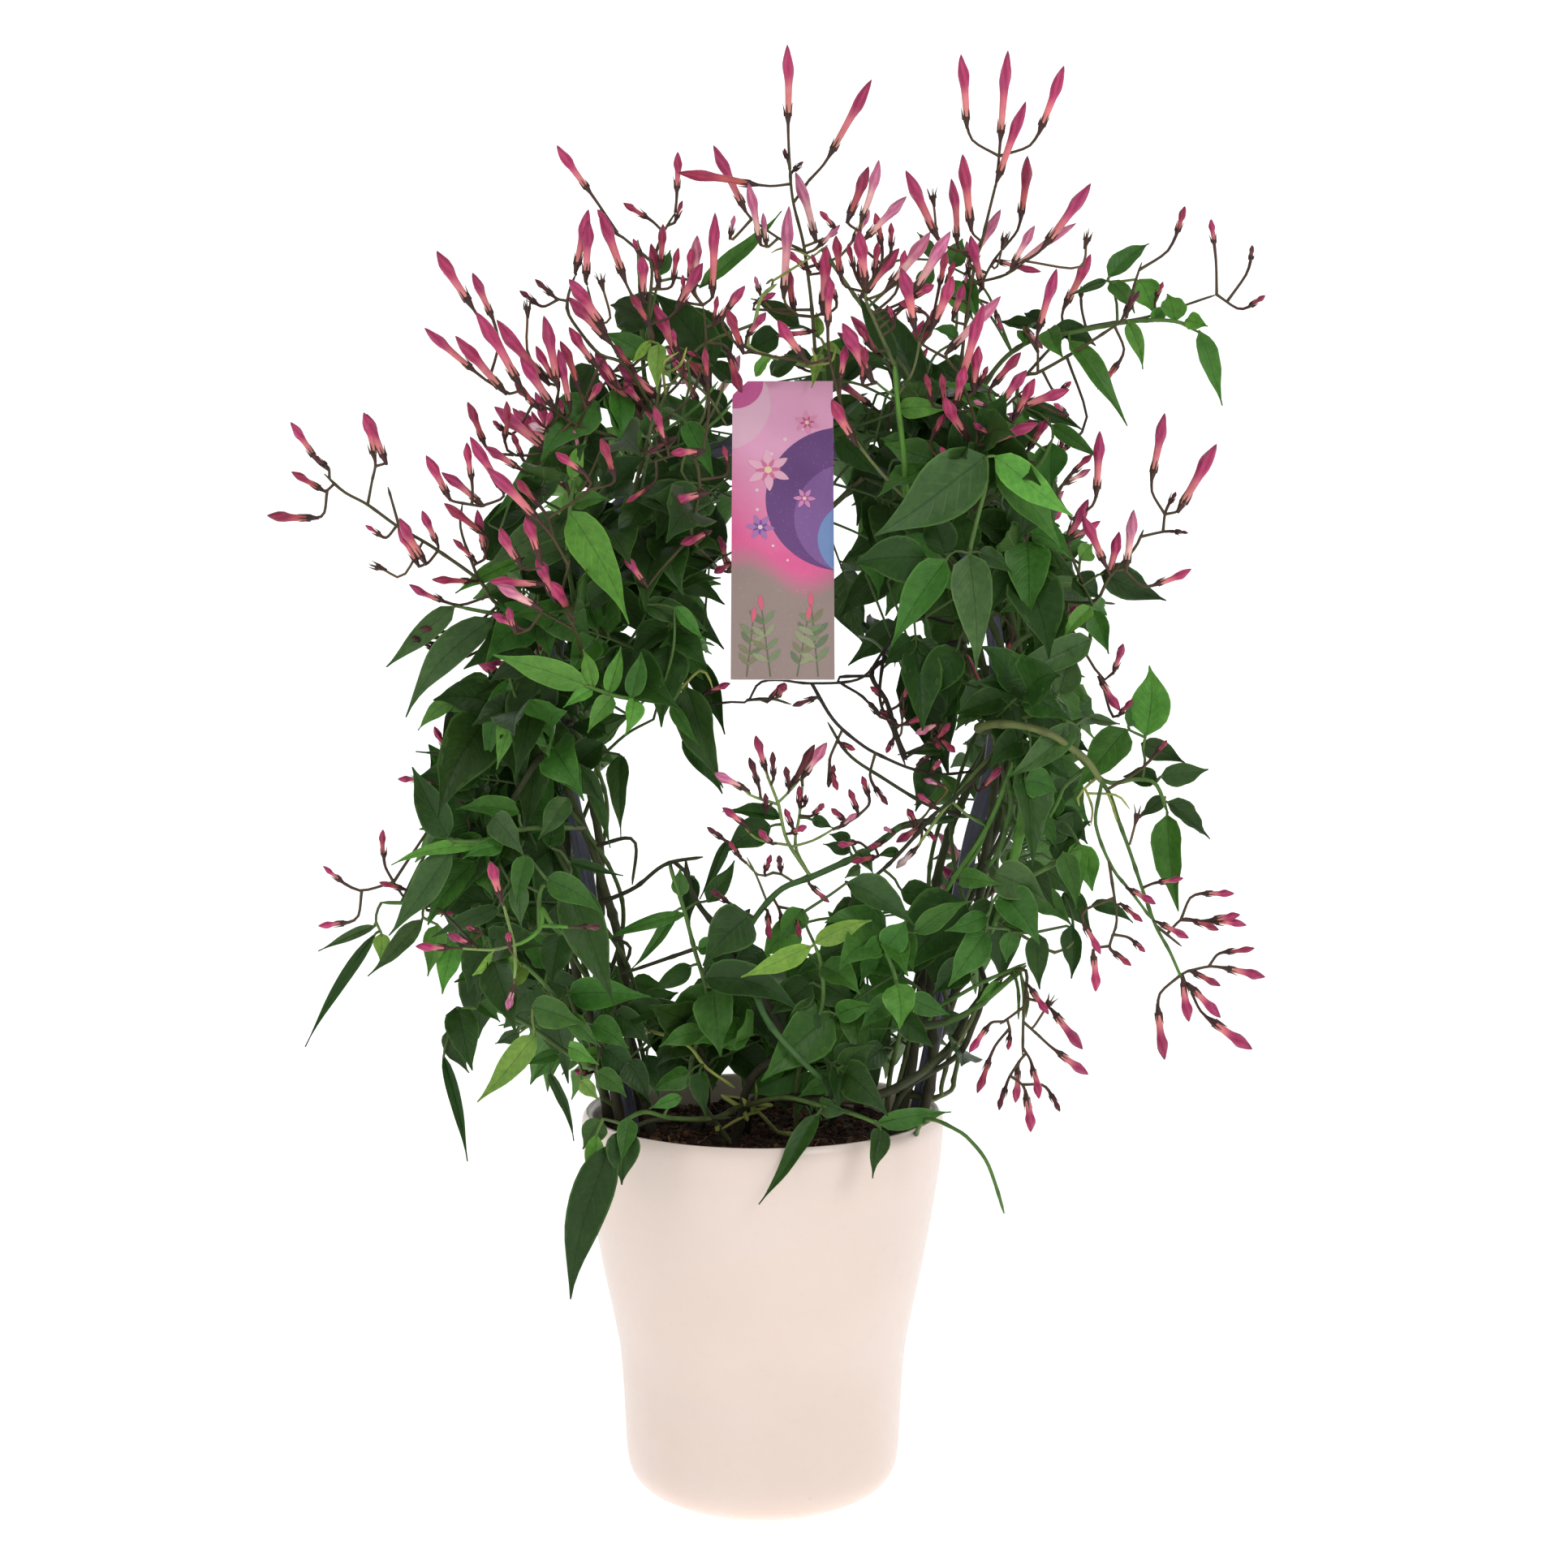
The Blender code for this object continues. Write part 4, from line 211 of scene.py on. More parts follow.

# ---------------------------------------------------------------- leaves
# path: U, V, D points of the side shoot. leaves: base U, V, tip U, V, width, tone, base D, tip D.
# tone: d dark, m middle, l light, y yellow-green, g grey-green: dark blades with their soft bluish highlight painted
# in, a painted sheen.
LEAF_SHOOTS = {
    "leaf_shoot_left_shoulder": dict(path=[(722, 850, -14), (708, 760, -36), (700, 690, -52), (702, 628, -60), (708, 585, -54)], leaves=[
        (702, 630, 775, 769, 50, "l", -60, -72), (706, 622, 752, 616, 24, "m", -60, -66), (703, 590, 722, 543, 20, "l", -56, -52),
        (698, 640, 600, 700, 44, "g", -46, -52), (700, 560, 668, 600, 18, "m", -50, -44), (803, 608, 766, 682, 40, "d", -40, -52),
        (705, 672, 628, 705, 30, "d", -54, -50), (735, 640, 786, 676, 42, "d", -34, -30), (797, 715, 888, 712, 42, "d", -40, -46)]),
    "leaf_shoot_left_compound": dict(path=[(842, 836, -24), (812, 856, -48), (770, 860, -62), (724, 846, -68)], leaves=[
        (724, 846, 608, 807, 36, "l", -68, -74), (731, 848, 718, 800, 22, "l", -67, -64), (750, 855, 765, 797, 22, "l", -65, -62),
        (778, 860, 790, 803, 26, "m", -61, -58), (730, 849, 694, 872, 18, "l", -67, -72), (755, 858, 724, 903, 26, "l", -65, -70), (782, 861, 770, 906, 24, "l", -60, -66),
        (792, 745, 872, 778, 30, "d", -50, -46), (831, 748, 868, 788, 18, "m", -54, -50)]),
    "leaf_shoot_left_outer": dict(path=[(706, 790, -8), (660, 762, -24), (610, 756, -34), (566, 748, -38)], leaves=[
        (560, 747, 476, 822, 28, "g", -38, -34), (608, 762, 500, 884, 44, "g", -34, -40), (638, 692, 561, 731, 24, "l", -28, -36),
        (640, 700, 700, 740, 36, "d", -26, -20), (600, 645, 660, 618, 30, "d", -22, -12), (672, 552, 600, 645, 18, "m", -30, -40)]),
    "leaf_shoot_left_mid": dict(path=[(704, 935, -12), (672, 925, -34), (648, 890, -48), (632, 850, -52)], leaves=[
        (655, 860, 673, 893, 30, "g", -50, -56), (640, 868, 612, 948, 30, "l", -50, -58), (628, 835, 600, 946, 32, "m", -50, -44),
        (664, 930, 512, 926, 28, "d", -30, -22), (656, 900, 640, 860, 30, "d", -34, -30), (690, 935, 742, 988, 34, "d", -30, -36), (722, 945, 752, 1045, 20, "d", -34, -32),
        (600, 850, 540, 880, 30, "m", -26, -20), (560, 860, 515, 900, 22, "l", -22, -20)]),
    "leaf_shoot_left_knee": dict(path=[(722, 1020, -12), (690, 1020, -32), (640, 1022, -48), (592, 1036, -48), (554, 1036, -44)], leaves=[
        (552, 1034, 508, 945, 42, "d", -44, -40), (590, 1042, 482, 1066, 18, "l", -46, -42), (556, 1046, 479, 1153, 42, "g", -44, -50),
        (640, 1002, 560, 998, 28, "m", -48, -42), (700, 983, 663, 1035, 32, "g", -40, -46), (608, 1005, 645, 1054, 36, "g", -50, -58),
        (620, 1042, 570, 1058, 24, "m", -52, -58), (585, 985, 545, 965, 24, "d", -36, -30)]),
    "leaf_shoot_left_low": dict(path=[(742, 1130, -14), (706, 1105, -40), (668, 1092, -56), (664, 1150, -52)], leaves=[
        (650, 1053, 637, 1115, 28, "m", -56, -62), (673, 1083, 742, 1126, 36, "m", -56, -64), (700, 1086, 757, 1238, 58, "d", -46, -58),
        (616, 1118, 532, 1155, 24, "d", -46, -42), (640, 1088, 642, 1142, 26, "g", -50, -54), (700, 1062, 768, 1079, 14, "d", -34, -28),
        (676, 1045, 690, 1000, 30, "d", -40, -32), (690, 1150, 680, 1215, 44, "d", -40, -40)]),
    "leaf_shoot_left_trail": dict(path=[(748, 1190, -2), (690, 1160, -14), (610, 1125, -16), (530, 1114, -14), (470, 1112, -10)], leaves=[
        (521, 1133, 453, 1203, 26, "g", -16, -22), (463, 1150, 376, 1290, 16, "d", -10, -14), (463, 1141, 392, 1172, 14, "g", -10, -4),
        (540, 1140, 527, 1203, 30, "l", -18, -22), (560, 1160, 545, 1225, 32, "l", -18, -24), (470, 1150, 468, 1186, 22, "y", -10, -14), (590, 1140, 600, 1200, 30, "m", -18, -12)]),
    "leaf_shoot_base_left": dict(path=[(768, 1320, -4), (716, 1262, -26), (668, 1210, -42), (642, 1186, -48)], leaves=[
        (640, 1186, 582, 1202, 36, "y", -48, -52), (642, 1190, 618, 1228, 36, "y", -48, -56), (700, 1225, 802, 1228, 42, "m", -36, -50),
        (660, 1275, 588, 1358, 34, "y", -34, -42), (655, 1240, 720, 1262, 40, "m", -40, -50), (690, 1180, 640, 1150, 44, "m", -34, -26),
        (700, 1250, 740, 1290, 26, "m", -44, -52), (760, 1200, 730, 1270, 34, "d", -20, -28)]),
    "leaf_shoot_base_left_low": dict(path=[(780, 1338, -2), (716, 1308, -16), (650, 1262, -20), (600, 1242, -20), (562, 1244, -20)], leaves=[
        (563, 1240, 582, 1319, 42, "d", -20, -26), (553, 1268, 578, 1322, 28, "d", -18, -14), (546, 1300, 576, 1431, 16, "d", -18, -22),
        (590, 1236, 616, 1259, 20, "m", -22, -28), (676, 1320, 707, 1406, 14, "d", -16, -18), (690, 1298, 645, 1312, 18, "m", -18, -24),
        (684, 1302, 655, 1334, 20, "m", -18, -14), (640, 1270, 610, 1286, 18, "d", -12, -6), (735, 1300, 700, 1306, 24, "l", -24, -32)]),
    "leaf_shoot_rim_left": dict(path=[(880, 1378, -40), (830, 1378, -54), (794, 1370, -66), (764, 1384, -78)], leaves=[
        (752, 1410, 703, 1601, 54, "d", -80, -88), (776, 1378, 765, 1434, 26, "m", -78, -88), (740, 1378, 718, 1416, 34, "g", -74, -70),
        (735, 1398, 724, 1470, 26, "l", -76, -74), (768, 1392, 766, 1460, 44, "d", -80, -84), (840, 1352, 800, 1366, 18, "m", -60, -66)]),
    "leaf_shoot_rim_front": dict(path=[(930, 1372, -30), (965, 1352, -46), (1010, 1362, -60), (1050, 1372, -66), (1084, 1386, -72)], leaves=[
        (1008, 1372, 935, 1484, 25, "d", -64, -84), (1085, 1390, 1075, 1452, 28, "d", -73, -82), (1080, 1384, 1172, 1370, 28, "m", -66, -50),
        (1010, 1360, 1046, 1372, 26, "g", -60, -70), (1060, 1330, 1040, 1300, 30, "m", -40, -30)]),
    "leaf_shoot_top_left": dict(path=[(814, 545, 14), (804, 500, 10), (794, 460, 2), (790, 390, -6), (786, 296, -8)], leaves=[
        (802, 402, 752, 376, 60, "d", -22, -10), (880, 452, 803, 360, 54, "d", -14, -4), (862, 355, 963, 260, 22, "m", -22, -12),
        (812, 424, 810, 484, 24, "y", -32, -40), (802, 420, 778, 448, 12, "y", -30, -40), (800, 440, 740, 410, 30, "m", -24, -26),
        (812, 340, 826, 308, 22, "m", -26, -18), (730, 450, 705, 500, 36, "d", -16, -18), (800, 500, 745, 470, 52, "d", -14, -10), (846, 520, 880, 590, 28, "m", -32, -44)]),
    "leaf_shoot_top_mid": dict(path=[(1000, 640, 8), (1012, 560, 2), (1016, 480, -6), (1012, 430, -10)], leaves=[
        (1000, 440, 958, 452, 26, "d", -8, -14), (960, 412, 918, 436, 34, "d", 0, 6), (985, 402, 925, 368, 24, "d", -6, 0),
        (1010, 436, 1000, 478, 16, "y", -14, -24), (1016, 424, 1040, 440, 12, "y", -12, -22), (1008, 415, 1006, 385, 16, "y", -10, -8), (1040, 470, 1070, 440, 22, "d", 4, 10), (1030, 540, 1086, 590, 34, "d", -4, -10)]),
    "leaf_shoot_top_right": dict(path=[(1124, 690, -14), (1122, 620, -26), (1112, 550, -32), (1106, 500, -34), (1103, 446, -32)], leaves=[
        (1103, 446, 1057, 362, 26, "d", -32, -24), (1136, 482, 1068, 366, 42, "d", -20, -12), (1108, 504, 1174, 504, 26, "l", -36, -44),
        (1126, 546, 1084, 540, 24, "m", -34, -30), (1110, 500, 1150, 486, 18, "m", -36, -30), (1116, 560, 1134, 602, 24, "g", -36, -44),
        (1150, 560, 1110, 530, 40, "d", -10, -4), (1180, 420, 1150, 405, 22, "m", -14, -20), (1170, 345, 1200, 395, 30, "l", 6, 10)]),
    "leaf_shoot_right_shoulder": dict(path=[(1196, 800, -14), (1192, 740, -40), (1194, 684, -58), (1204, 640, -64), (1214, 600, -66), (1217, 566, -66)], leaves=[
        (1216, 562, 1078, 660, 78, "g", -66, -80), (1226, 562, 1322, 636, 40, "l", -64, -62), (1226, 578, 1306, 674, 46, "m", -58, -48),
        (1166, 686, 1143, 628, 44, "d", -64, -58), (1192, 680, 1184, 624, 42, "d", -54, -44), (1142, 688, 1052, 695, 54, "d", -64, -60),
        (1166, 690, 1098, 796, 46, "m", -66, -70), (1194, 682, 1203, 828, 52, "g", -62, -72), (1205, 680, 1247, 706, 26, "d", -58, -54), (1180, 800, 1130, 870, 50, "d", -30, -34)]),
    "leaf_shoot_right_outer": dict(path=[(1180, 640, -4), (1236, 604, -18), (1280, 572, -28), (1297, 540, -28)], leaves=[
        (1297, 546, 1296, 602, 42, "m", -28, -22), (1295, 524, 1356, 566, 20, "m", -28, -34), (1262, 502, 1334, 530, 24, "d", -22, -26),
        (1306, 648, 1208, 645, 22, "m", -20, -34), (1250, 702, 1293, 718, 20, "m", -30, -40), (1290, 740, 1232, 755, 28, "m", -34, -46),
        (1244, 640, 1250, 600, 34, "d", -8, -4), (1270, 690, 1300, 660, 30, "d", -10, -4)]),
    "leaf_shoot_right_far": dict(path=[(1180, 560, 0), (1216, 470, -8), (1262, 424, -12), (1330, 408, -16), (1396, 396, -18), (1448, 396, -20), (1478, 410, -20)], leaves=[
        (1366, 342, 1416, 300, 26, "m", -18, -8), (1364, 346, 1318, 364, 12, "d", -18, -24), (1368, 346, 1398, 386, 26, "m", -16, -22), (1404, 344, 1422, 388, 36, "l", -14, -10),
        (1390, 396, 1408, 455, 20, "l", -20, -28), (1448, 396, 1438, 362, 32, "l", -20, -12), (1420, 396, 1440, 376, 18, "l", -18, -10), (1462, 394, 1488, 402, 22, "l", -22, -30),
        (1478, 408, 1506, 500, 26, "m", -22, -26), (1317, 420, 1389, 525, 30, "m", -18, -26), (1300, 402, 1350, 426, 26, "d", -14, -8), (1292, 406, 1310, 441, 28, "m", -16, -24),
        (1270, 402, 1230, 396, 20, "d", -10, -4), (1264, 408, 1262, 426, 22, "m", -12, -18), (1288, 398, 1262, 386, 24, "d", -8, 0)]),
    "leaf_shoot_right_mid": dict(path=[(1222, 820, -12), (1256, 790, -34), (1300, 768, -42), (1340, 764, -40), (1343, 796, -40)], leaves=[
        (1300, 742, 1274, 806, 52, "d", -42, -44), (1345, 788, 1215, 846, 38, "g", -42, -58), (1356, 706, 1437, 740, 44, "d", -30, -22),
        (1322, 712, 1356, 738, 38, "d", -30, -30), (1345, 748, 1310, 792, 22, "l", -42, -48), (1346, 752, 1366, 806, 28, "m", -40, -44),
        (1346, 746, 1364, 758, 30, "m", -38, -30), (1330, 690, 1346, 670, 26, "l", -28, -22), (1300, 690, 1340, 668, 30, "m", -24, -16)]),
    "leaf_shoot_right_knee": dict(path=[(1226, 880, -14), (1262, 884, -36), (1300, 866, -50), (1314, 894, -50)], leaves=[
        (1302, 858, 1198, 842, 48, "d", -50, -60), (1304, 856, 1320, 798, 44, "g", -50, -48), (1300, 852, 1296, 802, 26, "d", -48, -40),
        (1326, 894, 1240, 958, 36, "g", -52, -62), (1262, 962, 1302, 976, 40, "m", -44, -38), (1314, 888, 1326, 936, 26, "g", -52, -54), (1340, 884, 1380, 892, 14, "g", -48, -42),
        (1238, 860, 1178, 880, 36, "d", -34, -40), (1160, 810, 1168, 872, 46, "d", -22, -28)]),
    "leaf_shoot_right_spread": dict(path=[(1230, 930, -6), (1262, 898, -18), (1310, 914, -30), (1360, 962, -36), (1400, 960, -36), (1424, 966, -36), (1438, 1000, -36)], leaves=[
        (1412, 907, 1416, 820, 52, "l", -34, -26), (1388, 898, 1322, 976, 46, "m", -32, -38), (1390, 895, 1410, 861, 24, "m", -32, -24),
        (1430, 957, 1489, 948, 30, "d", -36, -30), (1406, 916, 1460, 940, 28, "d", -32, -28), (1426, 962, 1384, 957, 26, "d", -34, -28), (1438, 988, 1491, 1034, 28, "d", -36, -30),
        (1438, 1004, 1452, 1123, 38, "m", -36, -44), (1436, 982, 1404, 1008, 20, "d", -34, -28)]),
    "leaf_shoot_right_low": dict(path=[(1180, 1090, -12), (1214, 1082, -38), (1256, 1084, -50), (1300, 1064, -48), (1330, 1046, -46)], leaves=[
        (1226, 1076, 1290, 1112, 50, "g", -52, -60), (1236, 1100, 1281, 1164, 50, "m", -54, -66), (1182, 1082, 1234, 1090, 26, "m", -44, -56), (1330, 1040, 1346, 1098, 40, "l", -46, -44),
        (1218, 1128, 1164, 1147, 26, "m", -52, -62), (1216, 1146, 1168, 1216, 42, "m", -48, -56), (1190, 1112, 1108, 1206, 84, "d", -36, -44), (1278, 1150, 1281, 1219, 30, "d", -42, -44),
        (1246, 1146, 1240, 1186, 26, "m", -38, -34), (1320, 1140, 1320, 1206, 26, "d", -36, -32), (1310, 1050, 1326, 1120, 28, "m", -50, -58), (1300, 1010, 1280, 960, 34, "m", -30, -22)]),
    "leaf_shoot_inner_left": dict(path=[(850, 1420, -28), (852, 1330, -32), (872, 1240, -36), (856, 1170, -42), (838, 1106, -44), (824, 1066, -42)], leaves=[
        (846, 1126, 746, 1158, 18, "m", -44, -36), (836, 1120, 776, 1196, 16, "m", -43, -46), (872, 1112, 905, 1060, 26, "d", -40, -34), (884, 1190, 924, 1120, 56, "d", -36, -30),
        (880, 1218, 888, 1302, 52, "m", -42, -56), (838, 1104, 838, 1070, 22, "m", -44, -40), (852, 1190, 800, 1220, 26, "d", -40, -44), (866, 1270, 812, 1290, 28, "m", -38, -48), (860, 1170, 900, 1160, 22, "m", -46, -54)]),
    "leaf_shoot_inner_mid": dict(path=[(980, 1420, -20), (984, 1320, -32), (1012, 1240, -50), (1012, 1190, -58), (1003, 1162, -60)], leaves=[
        (1000, 1166, 913, 1204, 28, "y", -60, -66), (1004, 1162, 1074, 1134, 26, "y", -60, -70), (1046, 1086, 1128, 1142, 42, "g", -50, -58), (1012, 1190, 1060, 1225, 40, "m", -58, -66),
        (1000, 1210, 950, 1250, 44, "d", -50, -52), (1010, 1180, 1050, 1160, 34, "d", -50, -44), (990, 1120, 960, 1160, 34, "m", -44, -40), (1030, 1250, 1080, 1240, 30, "m", -48, -56)]),
    "leaf_shoot_inner_right": dict(path=[(1090, 1425, -16), (1096, 1330, -24), (1110, 1262, -44), (1103, 1205, -56), (1086, 1162, -60)], leaves=[
        (1092, 1168, 1116, 1134, 38, "m", -60, -60), (1084, 1158, 1054, 1182, 22, "m", -60, -68), (1106, 1212, 1108, 1268, 42, "l", -58, -68), (1126, 1150, 1198, 1110, 30, "m", -48, -50),
        (1110, 1250, 1150, 1290, 34, "d", -42, -46), (1090, 1290, 1046, 1320, 36, "d", -34, -40), (1100, 1230, 1060, 1270, 30, "m", -46, -54), (1120, 1230, 1170, 1250, 30, "m", -44, -40)]),
}

# Shoots on the far side, laid out by rule: compound leaves all along a shoot that follows the hoop.
BACK_SHOOTS = {
    "leaf_shoot_back_left_low": (0.150, 0.250, 26, 7, 11),
    "leaf_shoot_back_left_mid": (0.255, 0.350, 30, 7, 12),
    "leaf_shoot_back_top_left": (0.360, 0.475, 32, 8, 13),
    "leaf_shoot_back_top_right": (0.640, 0.525, 32, 8, 14),
    "leaf_shoot_back_right_mid": (0.745, 0.650, 30, 7, 15),
}

# ---------------------------------------------------------------- flower buds
# stems: U, V, D lines. buds: tip U, V, calyx U, V, girth, tone (p pink, r deep red, s pale pink, k unripe and dark, y green).
PANICLES = {
    "flower_cluster_top_spire": dict(stems=[[(1012, 560, -2), (1006, 470, -8), (1002, 400, -12), (992, 310, -16), (977, 250, -18), (973, 200, -20)], [(977, 250, -18), (1000, 218, -14)], [(992, 310, -16), (960, 294, -22), (926, 270, -26)]], buds=[
        (970, 55, 971, 147, 1.0, "p"), (1074, 98, 1024, 188, 1.0, "p"), (835, 213, 928, 227, 1.0, "r"), (879, 179, 916, 255, 1.0, "p"), (980, 212, 1004, 292, 1.0, "s"), (972, 254, 966, 360, 1.1, "s"),
        (1018, 302, 1014, 380, 1.2, "p"), (969, 326, 978, 380, 1.0, "r"), (922, 225, 936, 296, 0.9, "s"), (940, 262, 944, 300, 0.7, "s"), (1010, 260, 1028, 280, 0.8, "p")]),
    "flower_cluster_top_right_spire": dict(stems=[[(1166, 620, -4), (1178, 500, -12), (1190, 400, -16), (1200, 330, -18), (1212, 290, -20), (1228, 222, -22)], [(1190, 400, -16), (1216, 336, -10), (1240, 300, -8)], [(1200, 350, -18), (1240, 338, -24), (1270, 316, -30)]], buds=[
        (1184, 67, 1191, 151, 1.0, "p"), (1242, 62, 1233, 168, 1.0, "p"), (1264, 125, 1230, 218, 1.0, "p"), (1311, 81, 1282, 159, 1.0, "p"), (1266, 192, 1258, 266, 1.0, "r"), (1344, 226, 1289, 300, 1.1, "p"),
        (1186, 190, 1196, 277, 1.1, "p"), (1172, 220, 1179, 295, 0.9, "p"), (1116, 210, 1153, 289, 1.1, "p"), (1275, 278, 1248, 326, 0.9, "s"), (1326, 275, 1250, 330, 0.8, "s"), (1196, 290, 1210, 350, 1.0, "p"), (1283, 335, 1230, 322, 0.7, "p"), (1233, 258, 1196, 320, 0.9, "s")]),
    "flower_cluster_top_left_spire": dict(stems=[[(800, 580, -12), (812, 480, -20), (800, 400, -26), (803, 330, -26), (790, 312, -26), (761, 287, -28)], [(803, 330, -26), (816, 290, -20), (832, 262, -16)], [(800, 400, -26), (776, 360, -32)], [(806, 530, -16), (848, 492, -22), (868, 440, -24), (869, 400, -24), (866, 376, -24)]], buds=[
        (686, 179, 725, 234, 0.9, "p"), (736, 258, 757, 285, 0.8, "p"), (835, 187, 834, 235, 0.9, "p"), (841, 247, 833, 270, 0.7, "r"), (768, 250, 797, 268, 0.8, "r"), (739, 258, 768, 340, 1.1, "p"),
        (881, 262, 878, 360, 1.0, "p"), (859, 290, 856, 352, 1.0, "s"), (817, 276, 814, 325, 0.9, "r"), (790, 312, 792, 368, 1.1, "p"), (836, 305, 830, 345, 0.8, "r"), (866, 324, 836, 378, 1.1, "p"), (802, 300, 812, 350, 0.9, "r")]),
    "flower_cluster_left_upper": dict(stems=[[(800, 500, -14), (770, 450, -26), (738, 436, -30), (712, 405, -32), (700, 386, -32), (699, 370, -32), (704, 352, -31), (710, 338, -30)], [(770, 450, -26), (740, 400, -34), (730, 378, -34), (723, 350, -33)]], buds=[
        (725, 258, 710, 330, 1.0, "p"), (726, 272, 722, 341, 1.0, "p"),
        (640, 358, 661, 374, 0.8, "k"), (659, 344, 681, 364, 0.8, "k"), (701, 344, 742, 402, 1.2, "p"), (700, 366, 748, 418, 1.1, "p"), (701, 403, 732, 448, 1.0, "p"), (733, 436, 786, 510, 1.2, "p"), (761, 450, 812, 490, 1.2, "p"), (805, 372, 838, 442, 1.2, "p"), (776, 360, 800, 400, 0.9, "r"), (768, 470, 790, 498, 1.0, "p"), (742, 470, 722, 500, 1.0, "p")]),
    "flower_cluster_left_crown": dict(stems=[[(800, 560, -10), (760, 540, -22), (712, 524, -30), (684, 508, -34), (650, 492, -36)], [(684, 508, -34), (690, 470, -36)], [(712, 524, -30), (724, 500, -36)]], buds=[
        (538, 309, 579, 374, 1.1, "p"), (582, 336, 606, 390, 0.9, "p"), (523, 404, 582, 455, 0.9, "p"), (561, 414, 619, 480, 1.1, "p"), (586, 384, 638, 470, 1.2, "p"), (612, 394, 672, 468, 1.2, "p"), (670, 389, 686, 470, 1.1, "p"), (641, 440, 680, 500, 1.1, "p"), (690, 420, 712, 476, 0.9, "r"), (688, 430, 702, 500, 0.9, "p"), (660, 426, 684, 470, 0.9, "p"),
        (634, 472, 662, 502, 1.0, "r"), (576, 495, 596, 545, 0.9, "r"), (609, 501, 672, 554, 1.2, "p"), (624, 494, 622, 540, 0.8, "r")]),
    "flower_cluster_left_arm": dict(stems=[[(706, 850, -6), (660, 780, -24), (610, 742, -34), (590, 715, -36), (536, 676, -34), (492, 650, -32), (453, 622, -30), (424, 606, -28), (400, 584, -27)], [(492, 650, -32), (478, 600, -30)], [(453, 622, -30), (460, 585, -28)], [(590, 715, -36), (568, 654, -38), (570, 620, -40)]], buds=[
        (358, 520, 388, 564, 0.9, "p"), (448, 508, 461, 562, 1.0, "p"), (452, 510, 474, 566, 1.0, "p"), (359, 581, 396, 603, 0.9, "r"), (329, 635, 386, 638, 1.0, "r"), (450, 647, 469, 660, 0.7, "p"), (492, 638, 522, 690, 1.0, "p"), (490, 651, 514, 694, 0.9, "p"), (520, 629, 538, 668, 0.9, "p"), (386, 560, 402, 574, 0.6, "k"),
        (525, 561, 552, 611, 1.0, "p"), (544, 582, 592, 620, 0.9, "p"), (575, 545, 581, 590, 0.9, "p"), (579, 538, 618, 602, 1.0, "p"), (547, 620, 594, 656, 0.9, "r"), (588, 628, 598, 680, 0.9, "p"), (504, 720, 545, 740, 0.8, "p"), (532, 714, 580, 716, 0.8, "r"), (558, 664, 584, 690, 0.7, "r")]),
    "flower_cluster_left_inner": dict(stems=[[(720, 830, -30), (708, 776, -66), (690, 740, -72), (672, 712, -74)], [(708, 776, -66), (660, 750, -74)], [(690, 740, -72), (702, 690, -78)]], buds=[
        (600, 576, 662, 640, 1.1, "p"), (648, 636, 664, 684, 1.2, "p"), (616, 650, 640, 694, 1.1, "p"), (661, 686, 682, 736, 1.2, "p"), (678, 716, 704, 758, 1.2, "p"), (602, 716, 668, 720, 0.9, "p"), (612, 720, 662, 748, 1.1, "s"), (606, 756, 640, 774, 1.0, "p"), (626, 748, 634, 776, 1.0, "p"), (625, 846, 672, 850, 0.9, "p"), (684, 557, 718, 582, 1.0, "p"), (740, 540, 756, 584, 1.0, "r"), (636, 590, 664, 622, 1.0, "r")]),
    "flower_cluster_front_left": dict(stems=[[(880, 700, -20), (852, 660, -54), (862, 600, -62), (850, 560, -60), (800, 570, -56)], [(852, 660, -54), (800, 720, -62), (796, 745, -60)]], buds=[
        (822, 620, 868, 608, 1.2, "p"), (826, 558, 864, 556, 1.0, "p"), (838, 670, 872, 656, 1.0, "p"), (886, 660, 898, 700, 1.1, "p"), (769, 684, 794, 718, 1.0, "p"), (880, 706, 902, 694, 1.0, "p"), (794, 560, 830, 540, 0.6, "k"), (806, 500, 820, 545, 0.9, "p"), (770, 620, 800, 600, 0.7, "r"), (868, 428, 872, 470, 0.8, "r")]),
    "flower_cluster_front_top": dict(look={0: (1.0, "o"), 1: (1.8, "v"), 2: (1.25, "o"), 3: (1.0, "g"), 4: (0.9, "o")}, stems=[[(1120, 640, -20), (1112, 610, -48), (1080, 576, -54), (1056, 545, -56), (1048, 530, -54)], [(1112, 618, -48), (1115, 573, -52), (1106, 495, -52), (1102, 450, -50)], [(1102, 450, -50), (1090, 424, -49), (1076, 392, -49), (1067, 370, -48), (1066, 350, -48)],
        [(1106, 490, -52), (1090, 480, -52), (1076, 468, -52)], [(1106, 488, -52), (1122, 464, -50), (1130, 438, -49), (1134, 410, -48)]], buds=[
        (1025, 492, 1052, 542, 1.2, "p"), (1038, 398, 1072, 464, 1.3, "p"), (1058, 284, 1066, 350, 1.2, "p"), (1108, 306, 1064, 362, 1.1, "p"), (1070, 205, 1046, 268, 1.0, "r"), (1083, 197, 1062, 270, 0.9, "s"), (1117, 242, 1068, 292, 0.9, "s"), (1078, 262, 1086, 300, 0.9, "r"), (1098, 274, 1098, 305, 0.8, "r"), (1110, 330, 1126, 400, 1.2, "p"), (1042, 425, 1036, 466, 1.0, "p"),
        (958, 394, 990, 440, 1.1, "p"), (1030, 290, 1036, 340, 1.0, "r"), (1022, 340, 1020, 400, 0.9, "p"), (896, 380, 914, 430, 1.0, "r"), (918, 352, 896, 382, 0.9, "p"), (944, 385, 922, 412, 0.9, "p")]),
